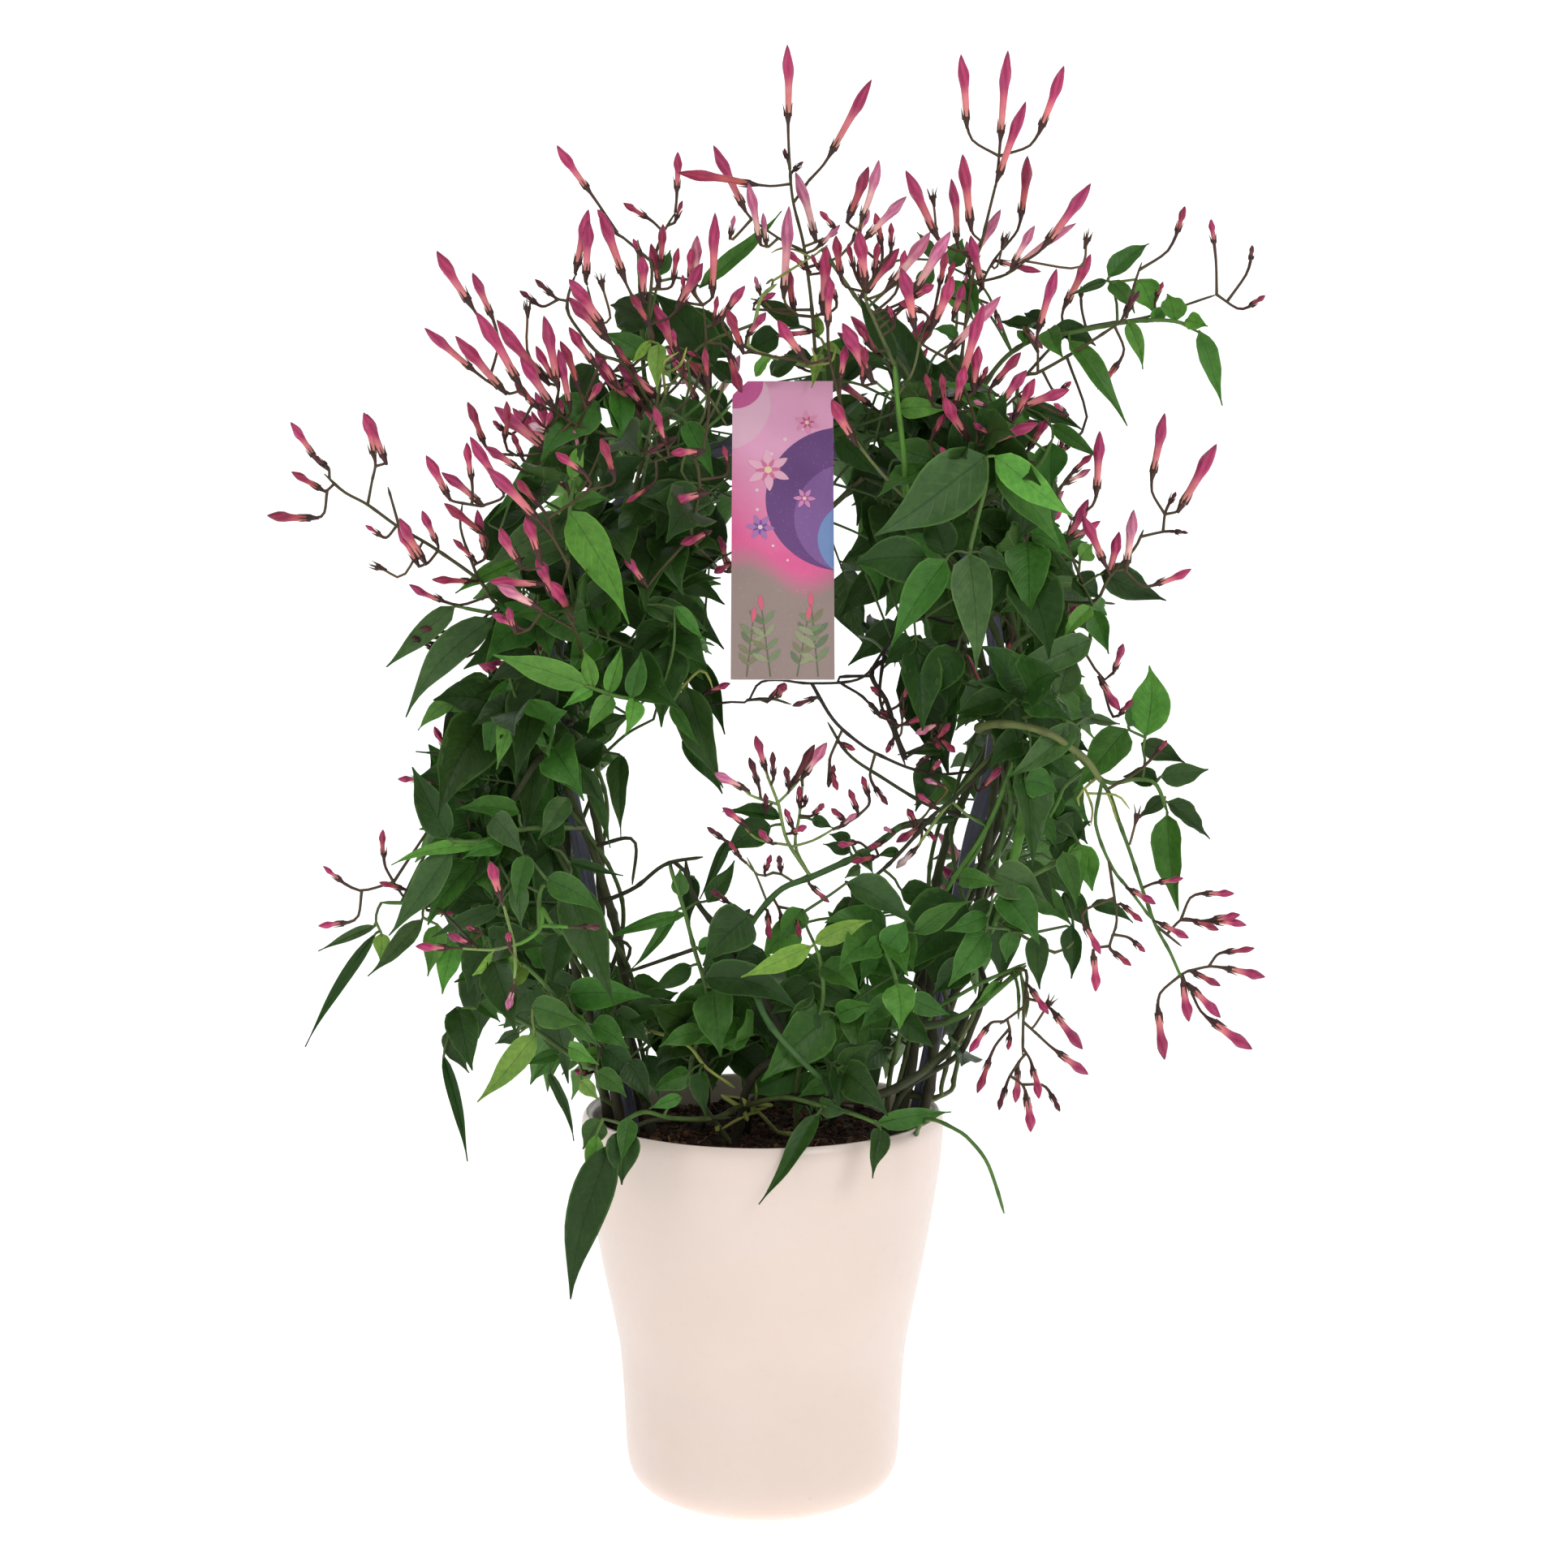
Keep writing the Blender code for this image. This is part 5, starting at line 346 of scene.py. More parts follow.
    "flower_cluster_front_top_right": dict(stems=[[(1196, 680, -20), (1196, 590, -52), (1204, 540, -54), (1196, 500, -50), (1176, 450, -44)], [(1204, 540, -54), (1240, 500, -46), (1262, 480, -44)]], buds=[
        (1163, 489, 1190, 536, 1.2, "p"), (1189, 450, 1177, 500, 1.1, "p"), (1233, 365, 1170, 431, 1.1, "s"), (1212, 374, 1184, 470, 1.1, "p"), (1206, 426, 1200, 480, 1.1, "p"), (1265, 456, 1230, 500, 1.1, "p"), (1275, 466, 1250, 515, 1.1, "p"), (1318, 480, 1258, 500, 1.0, "p"), (1164, 510, 1150, 536, 0.9, "r"), (1258, 434, 1224, 474, 1.0, "r"), (1174, 340, 1150, 400, 1.1, "p"), (1166, 310, 1158, 350, 0.9, "r"), (1161, 374, 1138, 408, 1.2, "p"), (1140, 460, 1148, 494, 0.8, "r"), (1160, 460, 1164, 496, 0.8, "r"), (1158, 550, 1172, 572, 0.9, "p")]),
    "flower_cluster_right_upper": dict(stems=[[(1200, 620, -2), (1244, 560, -14), (1256, 470, -18), (1279, 459, -20), (1330, 430, -22), (1388, 392, -24)], [(1279, 459, -20), (1279, 430, -20)], [(1256, 470, -18), (1320, 410, -10), (1415, 390, -12), (1499, 363, -14)], [(1388, 392, -24), (1398, 350, -26), (1407, 323, -26)]], buds=[
        (1302, 331, 1280, 405, 1.0, "p"), (1344, 313, 1313, 375, 1.0, "p"), (1460, 254, 1450, 287, 0.9, "r"), (1492, 270, 1496, 300, 0.8, "p"), (1543, 302, 1541, 320, 0.7, "k"), (1559, 364, 1540, 377, 0.8, "r"), (1433, 347, 1425, 365, 0.6, "r"), (1352, 480, 1378, 447, 1.0, "r"), (1404, 358, 1388, 384, 0.8, "k"), (1398, 360, 1386, 386, 0.8, "k"), (1332, 352, 1332, 366, 0.5, "k"),
        (1292, 514, 1270, 550, 1.0, "p"), (1274, 518, 1222, 536, 1.0, "p"), (1208, 520, 1230, 532, 0.8, "p")]),
    "flower_cluster_right_side": dict(stems=[[(1216, 760, -6), (1280, 740, -24), (1345, 742, -30), (1366, 712, -32), (1398, 676, -30), (1409, 653, -30)], [(1345, 742, -30), (1316, 672, -34), (1320, 640, -36)], [(1345, 742, -30), (1374, 744, -26)]], buds=[
        (1435, 509, 1420, 586, 1.0, "p"), (1499, 547, 1455, 624, 1.2, "p"), (1449, 606, 1441, 620, 0.7, "k"), (1397, 628, 1388, 697, 1.0, "s"), (1379, 655, 1366, 710, 1.0, "p"), (1468, 701, 1424, 720, 0.9, "p"), (1355, 531, 1351, 606, 1.0, "p"), (1341, 615, 1312, 672, 1.0, "p"), (1334, 635, 1360, 692, 1.0, "p"), (1464, 657, 1448, 655, 0.5, "k"),
        (1346, 560, 1322, 582, 0.9, "r"), (1344, 578, 1312, 596, 0.8, "s"), (1356, 642, 1318, 664, 0.9, "p"), (1310, 672, 1268, 682, 0.9, "p"), (1384, 793, 1373, 826, 0.9, "p"), (1380, 876, 1356, 838, 1.0, "p"), (1396, 862, 1380, 880, 0.8, "r"), (1326, 746, 1316, 764, 0.9, "p"), (1238, 812, 1246, 788, 0.9, "r")]),
    "flower_cluster_right_hanging": dict(look={0: (2.2, "o"), 1: (1.35, "g"), 2: (1.2, "g")}, stems=[[(1196, 908, -14), (1205, 898, -34), (1218, 893, -46), (1239, 892, -52), (1264, 895, -55), (1281, 900, -56), (1299, 907, -56), (1323, 924, -54), (1339, 937, -52), (1352, 955, -50), (1359, 966, -50)], [(1359, 966, -50), (1368, 980, -50), (1379, 1013, -50), (1390, 1044, -49), (1399, 1070, -48), (1412, 1108, -47), (1425, 1143, -46), (1441, 1172, -45), (1456, 1205, -43), (1468, 1222, -42)],
        [(1352, 968, -50), (1350, 1004, -54), (1352, 1024, -54), (1361, 1050, -54), (1374, 1075, -53), (1388, 1092, -52), (1405, 1114, -51), (1418, 1132, -50)], [(1364, 1062, -54), (1376, 1130, -58), (1368, 1160, -58)], [(1424, 1140, -46), (1456, 1166, -42)]], buds=[
        (1521, 1101, 1483, 1101, 0.9, "p"), (1528, 1127, 1494, 1133, 1.0, "p"), (1536, 1140, 1496, 1136, 0.9, "p"), (1546, 1168, 1510, 1173, 0.8, "r"), (1559, 1204, 1510, 1193, 1.0, "p"), (1504, 1215, 1470, 1198, 0.9, "r"), (1504, 1254, 1468, 1216, 1.0, "p"), (1465, 1259, 1458, 1208, 1.1, "p"), (1543, 1293, 1492, 1257, 1.1, "p"), (1435, 1306, 1427, 1244, 1.0, "p"),
        (1394, 1190, 1372, 1173, 0.9, "r"), (1350, 1222, 1347, 1176, 1.0, "p"), (1356, 1176, 1336, 1140, 0.9, "p"), (1411, 1173, 1397, 1160, 0.8, "p"), (1465, 1156, 1430, 1138, 0.9, "p"), (1502, 1146, 1470, 1134, 0.9, "r"), (1424, 1114, 1392, 1096, 0.9, "p"), (1458, 1082, 1428, 1087, 0.7, "p"), (1408, 1136, 1384, 1116, 0.8, "r")]),
    "flower_cluster_base_right": dict(stems=[[(1196, 1240, -16), (1222, 1212, -24), (1262, 1194, -30), (1263, 1230, -36), (1261, 1259, -38), (1260, 1300, -38)], [(1261, 1259, -38), (1282, 1278, -36)], [(1261, 1240, -37), (1232, 1262, -40)]], buds=[
        (1194, 1297, 1217, 1265, 0.9, "p"), (1204, 1347, 1219, 1305, 0.9, "r"), (1231, 1368, 1239, 1340, 0.8, "k"), (1251, 1359, 1254, 1317, 0.9, "p"), (1270, 1395, 1264, 1349, 1.1, "p"), (1280, 1354, 1272, 1315, 1.0, "p"), (1306, 1370, 1294, 1347, 0.8, "k"), (1341, 1324, 1303, 1296, 1.0, "p"), (1334, 1293, 1299, 1248, 1.0, "p"), (1242, 1294, 1244, 1276, 0.8, "r"), (1292, 1250, 1270, 1218, 0.9, "p")]),
    "flower_cluster_window": dict(look={0: (1.75, "a"), 1: (1.25, "p"), 2: (1.1, "p"), 4: (1.0, "p"), 5: (0.9, "p"), 6: (0.9, "p"), 7: (0.9, "p"), 8: (0.9, "o"), 9: (0.8, "o")}, stems=[[(1178, 1000, -16), (1115, 1017, -24), (1094, 1031, -28), (1061, 1052, -31), (1008, 1077, -35), (990, 1084, -36), (962, 1096, -37), (936, 1123, -38), (922, 1149, -38), (921, 1181, -36), (922, 1202, -34), (936, 1237, -30), (948, 1260, -26)],
        [(997, 1074, -36), (971, 1038, -38), (962, 1005, -38), (959, 991, -38), (943, 950, -38)], [(999, 1072, -36), (980, 1042, -36), (985, 1005, -34), (990, 959, -33)], [(1110, 1022, -26), (1134, 1010, -30), (1150, 990, -32)], [(959, 991, -38), (925, 980, -40), (913, 968, -40)],
        [(976, 1042, -37), (1003, 1035, -36), (1034, 1017, -34)], [(971, 1042, -37), (936, 1035, -39), (918, 1021, -40)], [(960, 989, -38), (974, 974, -37), (987, 959, -36)], [(976, 1078, -36), (957, 1075, -37), (936, 1079, -38), (913, 1056, -40)], [(939, 1107, -38), (932, 1079, -38), (920, 1056, -39)]], buds=[
        (871, 1019, 890, 1033, 0.8, "k"), (898, 1036, 910, 1054, 0.8, "r"), (874, 1096, 896, 1111, 0.8, "k"), (950, 1053, 943, 1072, 0.8, "r"), (960, 1054, 962, 1072, 0.8, "k"), (943, 977, 943, 998, 0.8, "k"), (935, 1022, 950, 1038, 0.9, "p"), (994, 1018, 976, 1026, 0.9, "p"), (985, 968, 985, 991, 0.9, "r"),
        (993, 979, 992, 990, 0.6, "k"), (1004, 917, 976, 968, 0.9, "k"), (1015, 990, 1003, 1003, 0.8, "r"), (1070, 1045, 1087, 1038, 0.8, "r"), (1089, 1019, 1100, 1026, 0.7, "s"), (1104, 1070, 1128, 1046, 1.0, "w"), (1048, 1062, 1078, 1056, 0.9, "r"), (1154, 1036, 1142, 1024, 0.8, "r"),
        (931, 906, 943, 947, 1.0, "p"), (952, 926, 953, 956, 0.8, "k"), (923, 933, 934, 966, 0.9, "k"), (968, 944, 972, 970, 0.8, "k"), (1019, 915, 990, 956, 1.1, "s"), (880, 952, 918, 972, 1.1, "s"), (890, 995, 918, 1016, 1.0, "p"), (967, 996, 976, 1018, 0.9, "p"), (1062, 956, 1070, 980, 0.9, "r"), (1046, 972, 1056, 998, 0.9, "r"), (1024, 996, 1040, 1010, 0.9, "r"), (1032, 1040, 1054, 1038, 0.9, "p"), (1056, 1002, 1036, 1018, 0.9, "s"),
        (1104, 1038, 1136, 1017, 1.1, "p"), (1118, 996, 1128, 1016, 1.1, "r"), (1138, 960, 1161, 968, 0.9, "s"), (1130, 978, 1150, 992, 0.9, "p"), (1022, 1112, 1000, 1092, 0.8, "p"), (948, 1158, 946, 1126, 0.9, "r"), (970, 1156, 962, 1127, 0.9, "r"), (985, 1156, 982, 1130, 0.8, "r")]),
    "flower_cluster_arch": dict(look={0: (0.75, "k"), 1: (1.1, "k"), 2: (1.15, "k"), 3: (1.0, "w"), 4: (0.9, "k")}, stems=[[(1120, 760, -10), (1090, 800, -22), (1060, 836, -30), (1000, 842, -34), (960, 838, -34), (935, 842, -33), (921, 864, -33), (900, 865, -31), (860, 870, -28)], [(1090, 800, -22), (1084, 860, -28), (1100, 900, -28), (1116, 944, -26)],
        [(1000, 842, -34), (1027, 887, -38), (1061, 917, -36), (1089, 933, -33), (1122, 947, -29), (1159, 954, -23), (1203, 950, -15)], [(921, 864, -33), (950, 861, -34), (975, 868, -34)], [(1117, 936, -26), (1136, 920, -26), (1154, 905, -24)]], buds=[
        (1159, 937, 1148, 950, 0.8, "p"), (1148, 929, 1133, 940, 0.8, "k"), (1139, 884, 1115, 892, 0.9, "r"), (1171, 890, 1154, 912, 0.9, "r"), (1147, 890, 1161, 905, 0.8, "k"), (1177, 927, 1159, 910, 0.9, "r"), (900, 842, 872, 852, 0.9, "p"), (967, 841, 948, 862, 0.9, "r"),
        (968, 842, 958, 858, 1.0, "r"), (976, 870, 1004, 860, 0.8, "k"), (1072, 846, 1088, 858, 0.9, "r"), (1084, 874, 1104, 892, 1.0, "r"),  (1122, 842, 1112, 862, 0.9, "r"), (1054, 924, 1036, 916, 0.9, "r"), (1092, 928, 1100, 912, 0.9, "p"), (1128, 904, 1156, 892, 1.0, "s"), (1158, 924, 1150, 900, 0.9, "r"), (1070, 864, 1082, 880, 0.9, "k"), (1032, 974, 1024, 950, 0.9, "r"), (1028, 942, 1022, 965, 0.8, "k"), (1094, 992, 1078, 970, 0.8, "k")]),
    "flower_cluster_left_low": dict(look={0: (1.25, "v"), 1: (1.3, "v"), 2: (1.0, "p"), 3: (1.0, "w"), 4: (1.1, "p"), 5: (1.1, "p")}, stems=[[(744, 1190, -4), (690, 1150, -40), (668, 1120, -64), (668, 1136, -70), (662, 1148, -71), (650, 1158, -72), (634, 1166, -72)], [(668, 1142, -70), (684, 1141, -72), (706, 1143, -73)], [(634, 1166, -72), (610, 1170, -71), (590, 1170, -69), (560, 1168, -68)], [(590, 1170, -69), (540, 1120, -44), (508, 1116, -34), (480, 1080, -30)], [(634, 1166, -72), (628, 1142, -72), (622, 1120, -71), (618, 1108, -70)], [(634, 1166, -72), (635, 1190, -72), (633, 1212, -71)]], buds=[
        (512, 1166, 552, 1168, 1.0, "p"), (552, 1151, 580, 1163, 1.1, "p"), (604, 1061, 616, 1104, 1.2, "p"), (626, 1148, 628, 1166, 1.1, "p"), (740, 1142, 718, 1142, 0.8, "k"), (574, 1142, 590, 1148, 0.8, "p"), (472, 1022, 473, 1056, 0.8, "r"), (398, 1067, 421, 1086, 0.7, "p"), (467, 1087, 496, 1095, 0.8, "r"), (392, 1141, 426, 1137, 0.9, "p"), (625, 1245, 633, 1216, 1.1, "s"), (708, 1320, 724, 1322, 1.0, "p"), (560, 1125, 530, 1122, 0.7, "r")]),
}

# ---------------------------------------------------------------- mesh building
class Build:
    """Gathers rings and patches into one mesh with a colour and a pair of surface coordinates at each point."""

    def __init__(self):
        self.v, self.uv, self.col, self.loops, self.sizes, self.mats = [], [], [], [], [], []
        self.n = 0

    def add(self, verts, faces, colour, uv=None, mat=0):
        verts = np.asarray(verts, float).reshape(-1, 3)
        k = len(verts)
        colour = np.asarray(colour, float)
        if colour.ndim == 1:
            colour = np.tile(colour, (k, 1))
        if colour.shape[1] == 3:
            colour = np.concatenate([colour, np.ones((k, 1))], 1)
        self.v.append(verts)
        self.col.append(colour)
        self.uv.append(np.zeros((k, 2)) if uv is None else np.asarray(uv, float))
        for f in faces:
            f = np.asarray(f, np.int64)
            if len(f) == 0:
                continue
            self.loops.append((f + self.n).ravel())
            self.sizes.append(np.full(len(f), f.shape[1], np.int32))
            self.mats.append(np.full(len(f), mat, np.int32))
        self.n += k

    def make(self, name, materials, angle=50.0):
        v = np.concatenate(self.v)
        loops = np.concatenate(self.loops).astype(np.int32)
        sizes = np.concatenate(self.sizes)
        me = bpy.data.meshes.new(name)
        me.vertices.add(len(v))
        me.vertices.foreach_set("co", v.astype(np.float32).ravel())
        me.loops.add(len(loops))
        me.loops.foreach_set("vertex_index", loops)
        me.polygons.add(len(sizes))
        me.polygons.foreach_set("loop_start", np.concatenate([[0], np.cumsum(sizes)[:-1]]).astype(np.int32))
        me.polygons.foreach_set("loop_total", sizes)
        used, index = np.unique(np.concatenate(self.mats), return_inverse=True)
        me.polygons.foreach_set("material_index", index.reshape(-1).astype(np.int32))
        me.update(calc_edges=True)
        me.validate()
        uv = np.concatenate(self.uv)
        layer = me.uv_layers.new(name="Surface")
        corner = np.empty(len(me.loops), np.int32)
        me.loops.foreach_get("vertex_index", corner)
        layer.data.foreach_set("uv", uv[corner].astype(np.float32).ravel())
        tone = me.attributes.new("tone", "FLOAT_COLOR", "POINT")
        tone.data.foreach_set("color", np.concatenate(self.col).astype(np.float32).ravel())
        me.polygons.foreach_set("use_smooth", np.ones(len(me.polygons), bool))
        me.set_sharp_from_angle(angle=math.radians(angle))
        for i in used:
            me.materials.append(materials[i])
        ob = bpy.data.objects.new(name, me)
        bpy.context.scene.collection.objects.link(ob)
        return ob


def ring_faces(rows, k, low=True, high=True):
    """Quads round ROWS rings of K points, and fans over the ends."""
    i, j = np.meshgrid(np.arange(rows - 1), np.arange(k), indexing="ij")
    m = (j + 1) % k
    quads = np.stack([i * k + j, i * k + m, (i + 1) * k + m, (i + 1) * k + j], -1).reshape(-1, 4)
    out = [quads]
    if low:
        out.append(np.array([list(range(k - 1, -1, -1))]))
    if high:
        out.append(np.array([[(rows - 1) * k + j for j in range(k)]]))
    return out


def frame_along(points, up=None):
    """Side and normal at each of an array of points, turned as little as possible."""
    p = np.asarray(points, float)
    t = np.gradient(p, axis=0)
    t /= np.linalg.norm(t, axis=1)[:, None] + 1e-12
    n = np.array([0.13, -1.0, 0.21] if up is None else up, float)
    sides, normals = np.empty_like(p), np.empty_like(p)
    for i in range(len(p)):
        n = n - t[i] * (n @ t[i])
        size = np.linalg.norm(n)
        if size < 1e-4:
            n = np.cross(t[i], [0.3, 0.5, 0.8])
            size = np.linalg.norm(n)
        n = n / size
        normals[i] = n
        sides[i] = np.cross(t[i], n)
    return sides, normals


def add_tube(b, points, radii, sides, colours, mat=0, ridge=None, up=None, round_end=True, u0=0.0):
    """A round stem along POINTS. COLOURS is one colour or one per point."""
    p = np.array([tuple(q) for q in points], float)
    r = np.broadcast_to(np.asarray(radii, float), (len(p),)).copy()
    c = np.asarray(colours, float)
    if c.ndim == 1:
        c = np.tile(c, (len(p), 1))
    if round_end and len(p) > 2:
        d = (p[-1] - p[-2]) / (np.linalg.norm(p[-1] - p[-2]) + 1e-12)
        p = np.concatenate([p, [p[-1] + d * r[-1] * 0.5, p[-1] + d * r[-1] * 0.75]])
        r = np.concatenate([r, [r[-1] * 0.70, r[-1] * 0.15]])
        c = np.concatenate([c, [c[-1], c[-1]]])
    s, n = frame_along(p, up)
    a = 2 * math.pi * np.arange(sides) / sides
    rr = np.tile(r[:, None], (1, sides))
    if ridge is not None:
        rr = rr * ridge(len(p), a)
    v = p[:, None] + s[:, None] * (rr * np.cos(a))[..., None] + n[:, None] * (rr * np.sin(a))[..., None]
    length = np.concatenate([[0], np.cumsum(np.linalg.norm(np.diff(p, axis=0), axis=1))]) + u0
    uv = np.stack([np.tile(length[:, None] * 100, (1, sides)), np.tile(np.arange(sides) / sides, (len(p), 1))], -1)
    b.add(v.reshape(-1, 3), ring_faces(len(p), sides), c.reshape(-1, 3) if c.ndim == 3 else np.repeat(c, sides, axis=0), uv.reshape(-1, 2), mat)


LEAF_ROWS = 12
BLADE, GREEN, FURLED, WOOD = 0, 1, 2, 3     # material places on a piece of the plant


def add_leaf(b, stem, base, tip, width, colour, seed, petiole=True, limp=1.0, view=None, inner=False):
    """One leaflet: a folded blade with a sunk midrib, a wavy margin, and its own thin stalk. INNER ones get fewer faces."""
    rnd = random.Random(seed)
    rows, half = (9, 3) if inner else (LEAF_ROWS, 4)
    stem, base, tip = Vector(stem), Vector(base), Vector(tip)
    length = (tip - base).length
    axis = (tip - base).normalized()
    view = Vector(view) if view is not None else Vector((0, -1, 0.15))
    side = axis.cross(view)
    side = side.normalized() if side.length > 0.2 else axis.orthogonal().normalized()
    normal = side.cross(axis).normalized()
    twist = rnd.uniform(-0.45, 0.45)
    normal = (normal * math.cos(twist) + side * math.sin(twist)).normalized()
    side = axis.cross(normal).normalized()
    width = width / max(0.75, math.cos(twist))
    t = np.linspace(0, 1, rows) ** 0.92
    line = np.array(base)[None] * (1 - t[:, None]) + np.array(tip)[None] * t[:, None]
    lift = 0.07 * length * rnd.uniform(0.5, 1.4) * limp
    line = line + np.array([0, 0, 1.0]) * (lift * 4 * t * (1 - t))[:, None]
    arch = rnd.uniform(-0.05, 0.08) * length
    line = line + np.array(normal) * (arch * 4 * t * (1 - t))[:, None]
    sway = rnd.uniform(-0.05, 0.05) * length
    line = line + np.array(side) * (sway * np.sin(math.pi * t) * (0.4 + t))[:, None]
    tan = np.gradient(line, axis=0)
    tan /= np.linalg.norm(tan, axis=1)[:, None] + 1e-12
    turn = rnd.uniform(-0.35, 0.35)
    nn = np.array(normal)[None] * np.cos(turn * t)[:, None] + np.array(side)[None] * np.sin(turn * t)[:, None]
    nn = nn - tan * (nn * tan).sum(1)[:, None]
    nn /= np.linalg.norm(nn, axis=1)[:, None]
    ss = np.cross(tan, nn)
    peak = rnd.uniform(0.58, 0.68)
    w = np.sin(math.pi * np.clip(t, 0, 1) ** peak) ** rnd.uniform(0.86, 1.12)
    w = w * (1 - 0.10 * t) * (1 - 0.34 * np.clip((t - 0.62) / 0.30, 0, 1)) * width / 2 * 1.02
    w = np.maximum(w, 0.00028)
    xs = np.concatenate([np.linspace(-1, 1, 2 * half + 1), np.linspace(1, -1, 2 * half + 1)[1:-1]])
    top = np.concatenate([np.ones(2 * half + 1), np.zeros(2 * half - 1)])
    x = np.tile(xs, (rows, 1))
    fold = rnd.uniform(0.10, 0.42)
    cup = rnd.uniform(-0.15, 0.30)
    ph, ph2 = rnd.uniform(0, 6.28), rnd.uniform(0, 6.28)
    waves = rnd.uniform(1.8, 3.4)
    ax = np.abs(x)
    wave = np.where(x > 0, np.sin(2 * math.pi * waves * t[:, None] + ph), np.sin(2 * math.pi * waves * t[:, None] + ph2))
    h = (fold * ax + cup * ax * ax) * w[:, None] * np.cos(0.7 * t[:, None]) + 0.055 * width * wave * ax ** 2.4 * (np.sin(math.pi * t) ** 0.6)[:, None]
    groove = 0.00022 * np.exp(-(x / 0.13) ** 2) * (1 - t[:, None]) ** 0.4
    thick = 0.00030 * (1 - 0.55 * ax)
    h = np.where(top > 0.5, h - groove, h - thick - 1.7 * groove)
    drop_edge = np.where((ax > 0.99), -0.00004, 0.0)
    v = line[:, None] + ss[:, None] * (x * w[:, None])[..., None] + nn[:, None] * (h + drop_edge)[..., None]
    k = len(xs)
    uv = np.stack([np.tile(t[:, None], (1, k)), (x + 1) / 2], -1).reshape(-1, 2)
    c = np.tile(np.array([*colour, 1.0]), (rows * k, 1))
    c[:, 3] = np.tile(top, rows)
    faces = ring_faces(rows, k)
    b.add(v.reshape(-1, 3), faces, c, uv, BLADE)
    if petiole and (stem - base).length > 0.0006:
        d = (base - stem)
        mid = stem.lerp(base, 0.5) + Vector((0, 0, -0.06 * d.length))
        pts = smooth([stem, mid, base + axis * 0.0012], 4)
        add_tube(b, pts, [0.00052, 0.00049, 0.00046, 0.00050], 5, stem_tone(colour), GREEN, round_end=False)


def stem_tone(colour):
    return (0.055 + colour[0] * 0.6, 0.10 + colour[1] * 0.45, 0.03 + colour[2] * 0.3)


# Tones of blades: dark, middle, light, yellow-green and grey-green; the grey-green one is a painted sheen.
LEAF_TONES = {"d": (0.0200, 0.0600, 0.0085), "m": (0.0425, 0.1380, 0.0185), "l": (0.0900, 0.2540, 0.0370), "y": (0.1750, 0.3300, 0.0540), "g": (0.0500, 0.1080, 0.0290)}
# Tones of buds: lobes, tube, foot of the tube, calyx.
BUD_TONES = {
    "p": ((0.475, 0.040, 0.142), (0.680, 0.185, 0.205), (0.640, 0.290, 0.190), (0.060, 0.026, 0.022)),
    "r": ((0.350, 0.028, 0.080), (0.440, 0.080, 0.085), (0.430, 0.140, 0.085), (0.050, 0.019, 0.020)),
    "s": ((0.640, 0.175, 0.310), (0.830, 0.430, 0.430), (0.780, 0.460, 0.360), (0.066, 0.036, 0.026)),
    "w": ((0.860, 0.560, 0.600), (0.900, 0.660, 0.640), (0.800, 0.560, 0.440), (0.070, 0.040, 0.028)),
    "g": ((0.380, 0.130, 0.110), (0.330, 0.300, 0.110), (0.300, 0.290, 0.090), (0.110, 0.120, 0.045)),
    "k": ((0.118, 0.015, 0.028), (0.122, 0.024, 0.028), (0.112, 0.036, 0.025), (0.042, 0.020, 0.017)),
    "y": ((0.300, 0.330, 0.080), (0.250, 0.300, 0.070), (0.200, 0.260, 0.050), (0.080, 0.130, 0.030)),
}


def varied(colour, rnd, amount=0.16):
    g = 1 + rnd.uniform(-amount, amount)
    return tuple(max(0.002, c * g * (1 + rnd.uniform(-amount, amount) * 0.5)) for c in colour)


def add_calyx(b, at, axis, size, colour, rnd, spread=0.25):
    """A small cup with five narrow teeth."""
    at, axis = Vector(at), Vector(axis).normalized()
    pts = [at - axis * 0.0022 * size, at - axis * 0.0006 * size, at + axis * 0.0006 * size, at + axis * 0.0016 * size, at + axis * 0.0023 * size]
    add_tube(b, pts, [0.00052 * size, 0.00082 * size, 0.00112 * size, 0.00126 * size, 0.00130 * size], 10, colour, GREEN, round_end=False)
    s, n = frame_along(np.array([tuple(q) for q in pts]))
    start = rnd.uniform(0, 6.28)
    for j in range(5):
        a = start + j * 2 * math.pi / 5 + rnd.uniform(-0.1, 0.1)
        out = Vector(s[3]) * math.cos(a) + Vector(n[3]) * math.sin(a)
        root = pts[3] + out * 0.00118 * size
        length = rnd.uniform(0.0026, 0.0046) * size
        end = root + axis * length + out * length * rnd.uniform(0.05, 0.40) * (spread * 3)
        add_tube(b, [root - axis * 0.0006, root + axis * length * 0.35 + out * 0.00015, end], [0.00040 * size, 0.00028 * size, 0.00006], 4, colour, GREEN, round_end=False)


BUD_RADII = ((0.0, 0.00086), (0.05, 0.00108), (0.15, 0.00114), (0.30, 0.00124), (0.42, 0.00134), (0.50, 0.00146), (0.57, 0.00170), (0.63, 0.00194), (0.69, 0.00204), (0.76, 0.00188), (0.83, 0.00150), (0.89, 0.00110), (0.94, 0.00074), (0.975, 0.00038), (1.0, 0.00010))


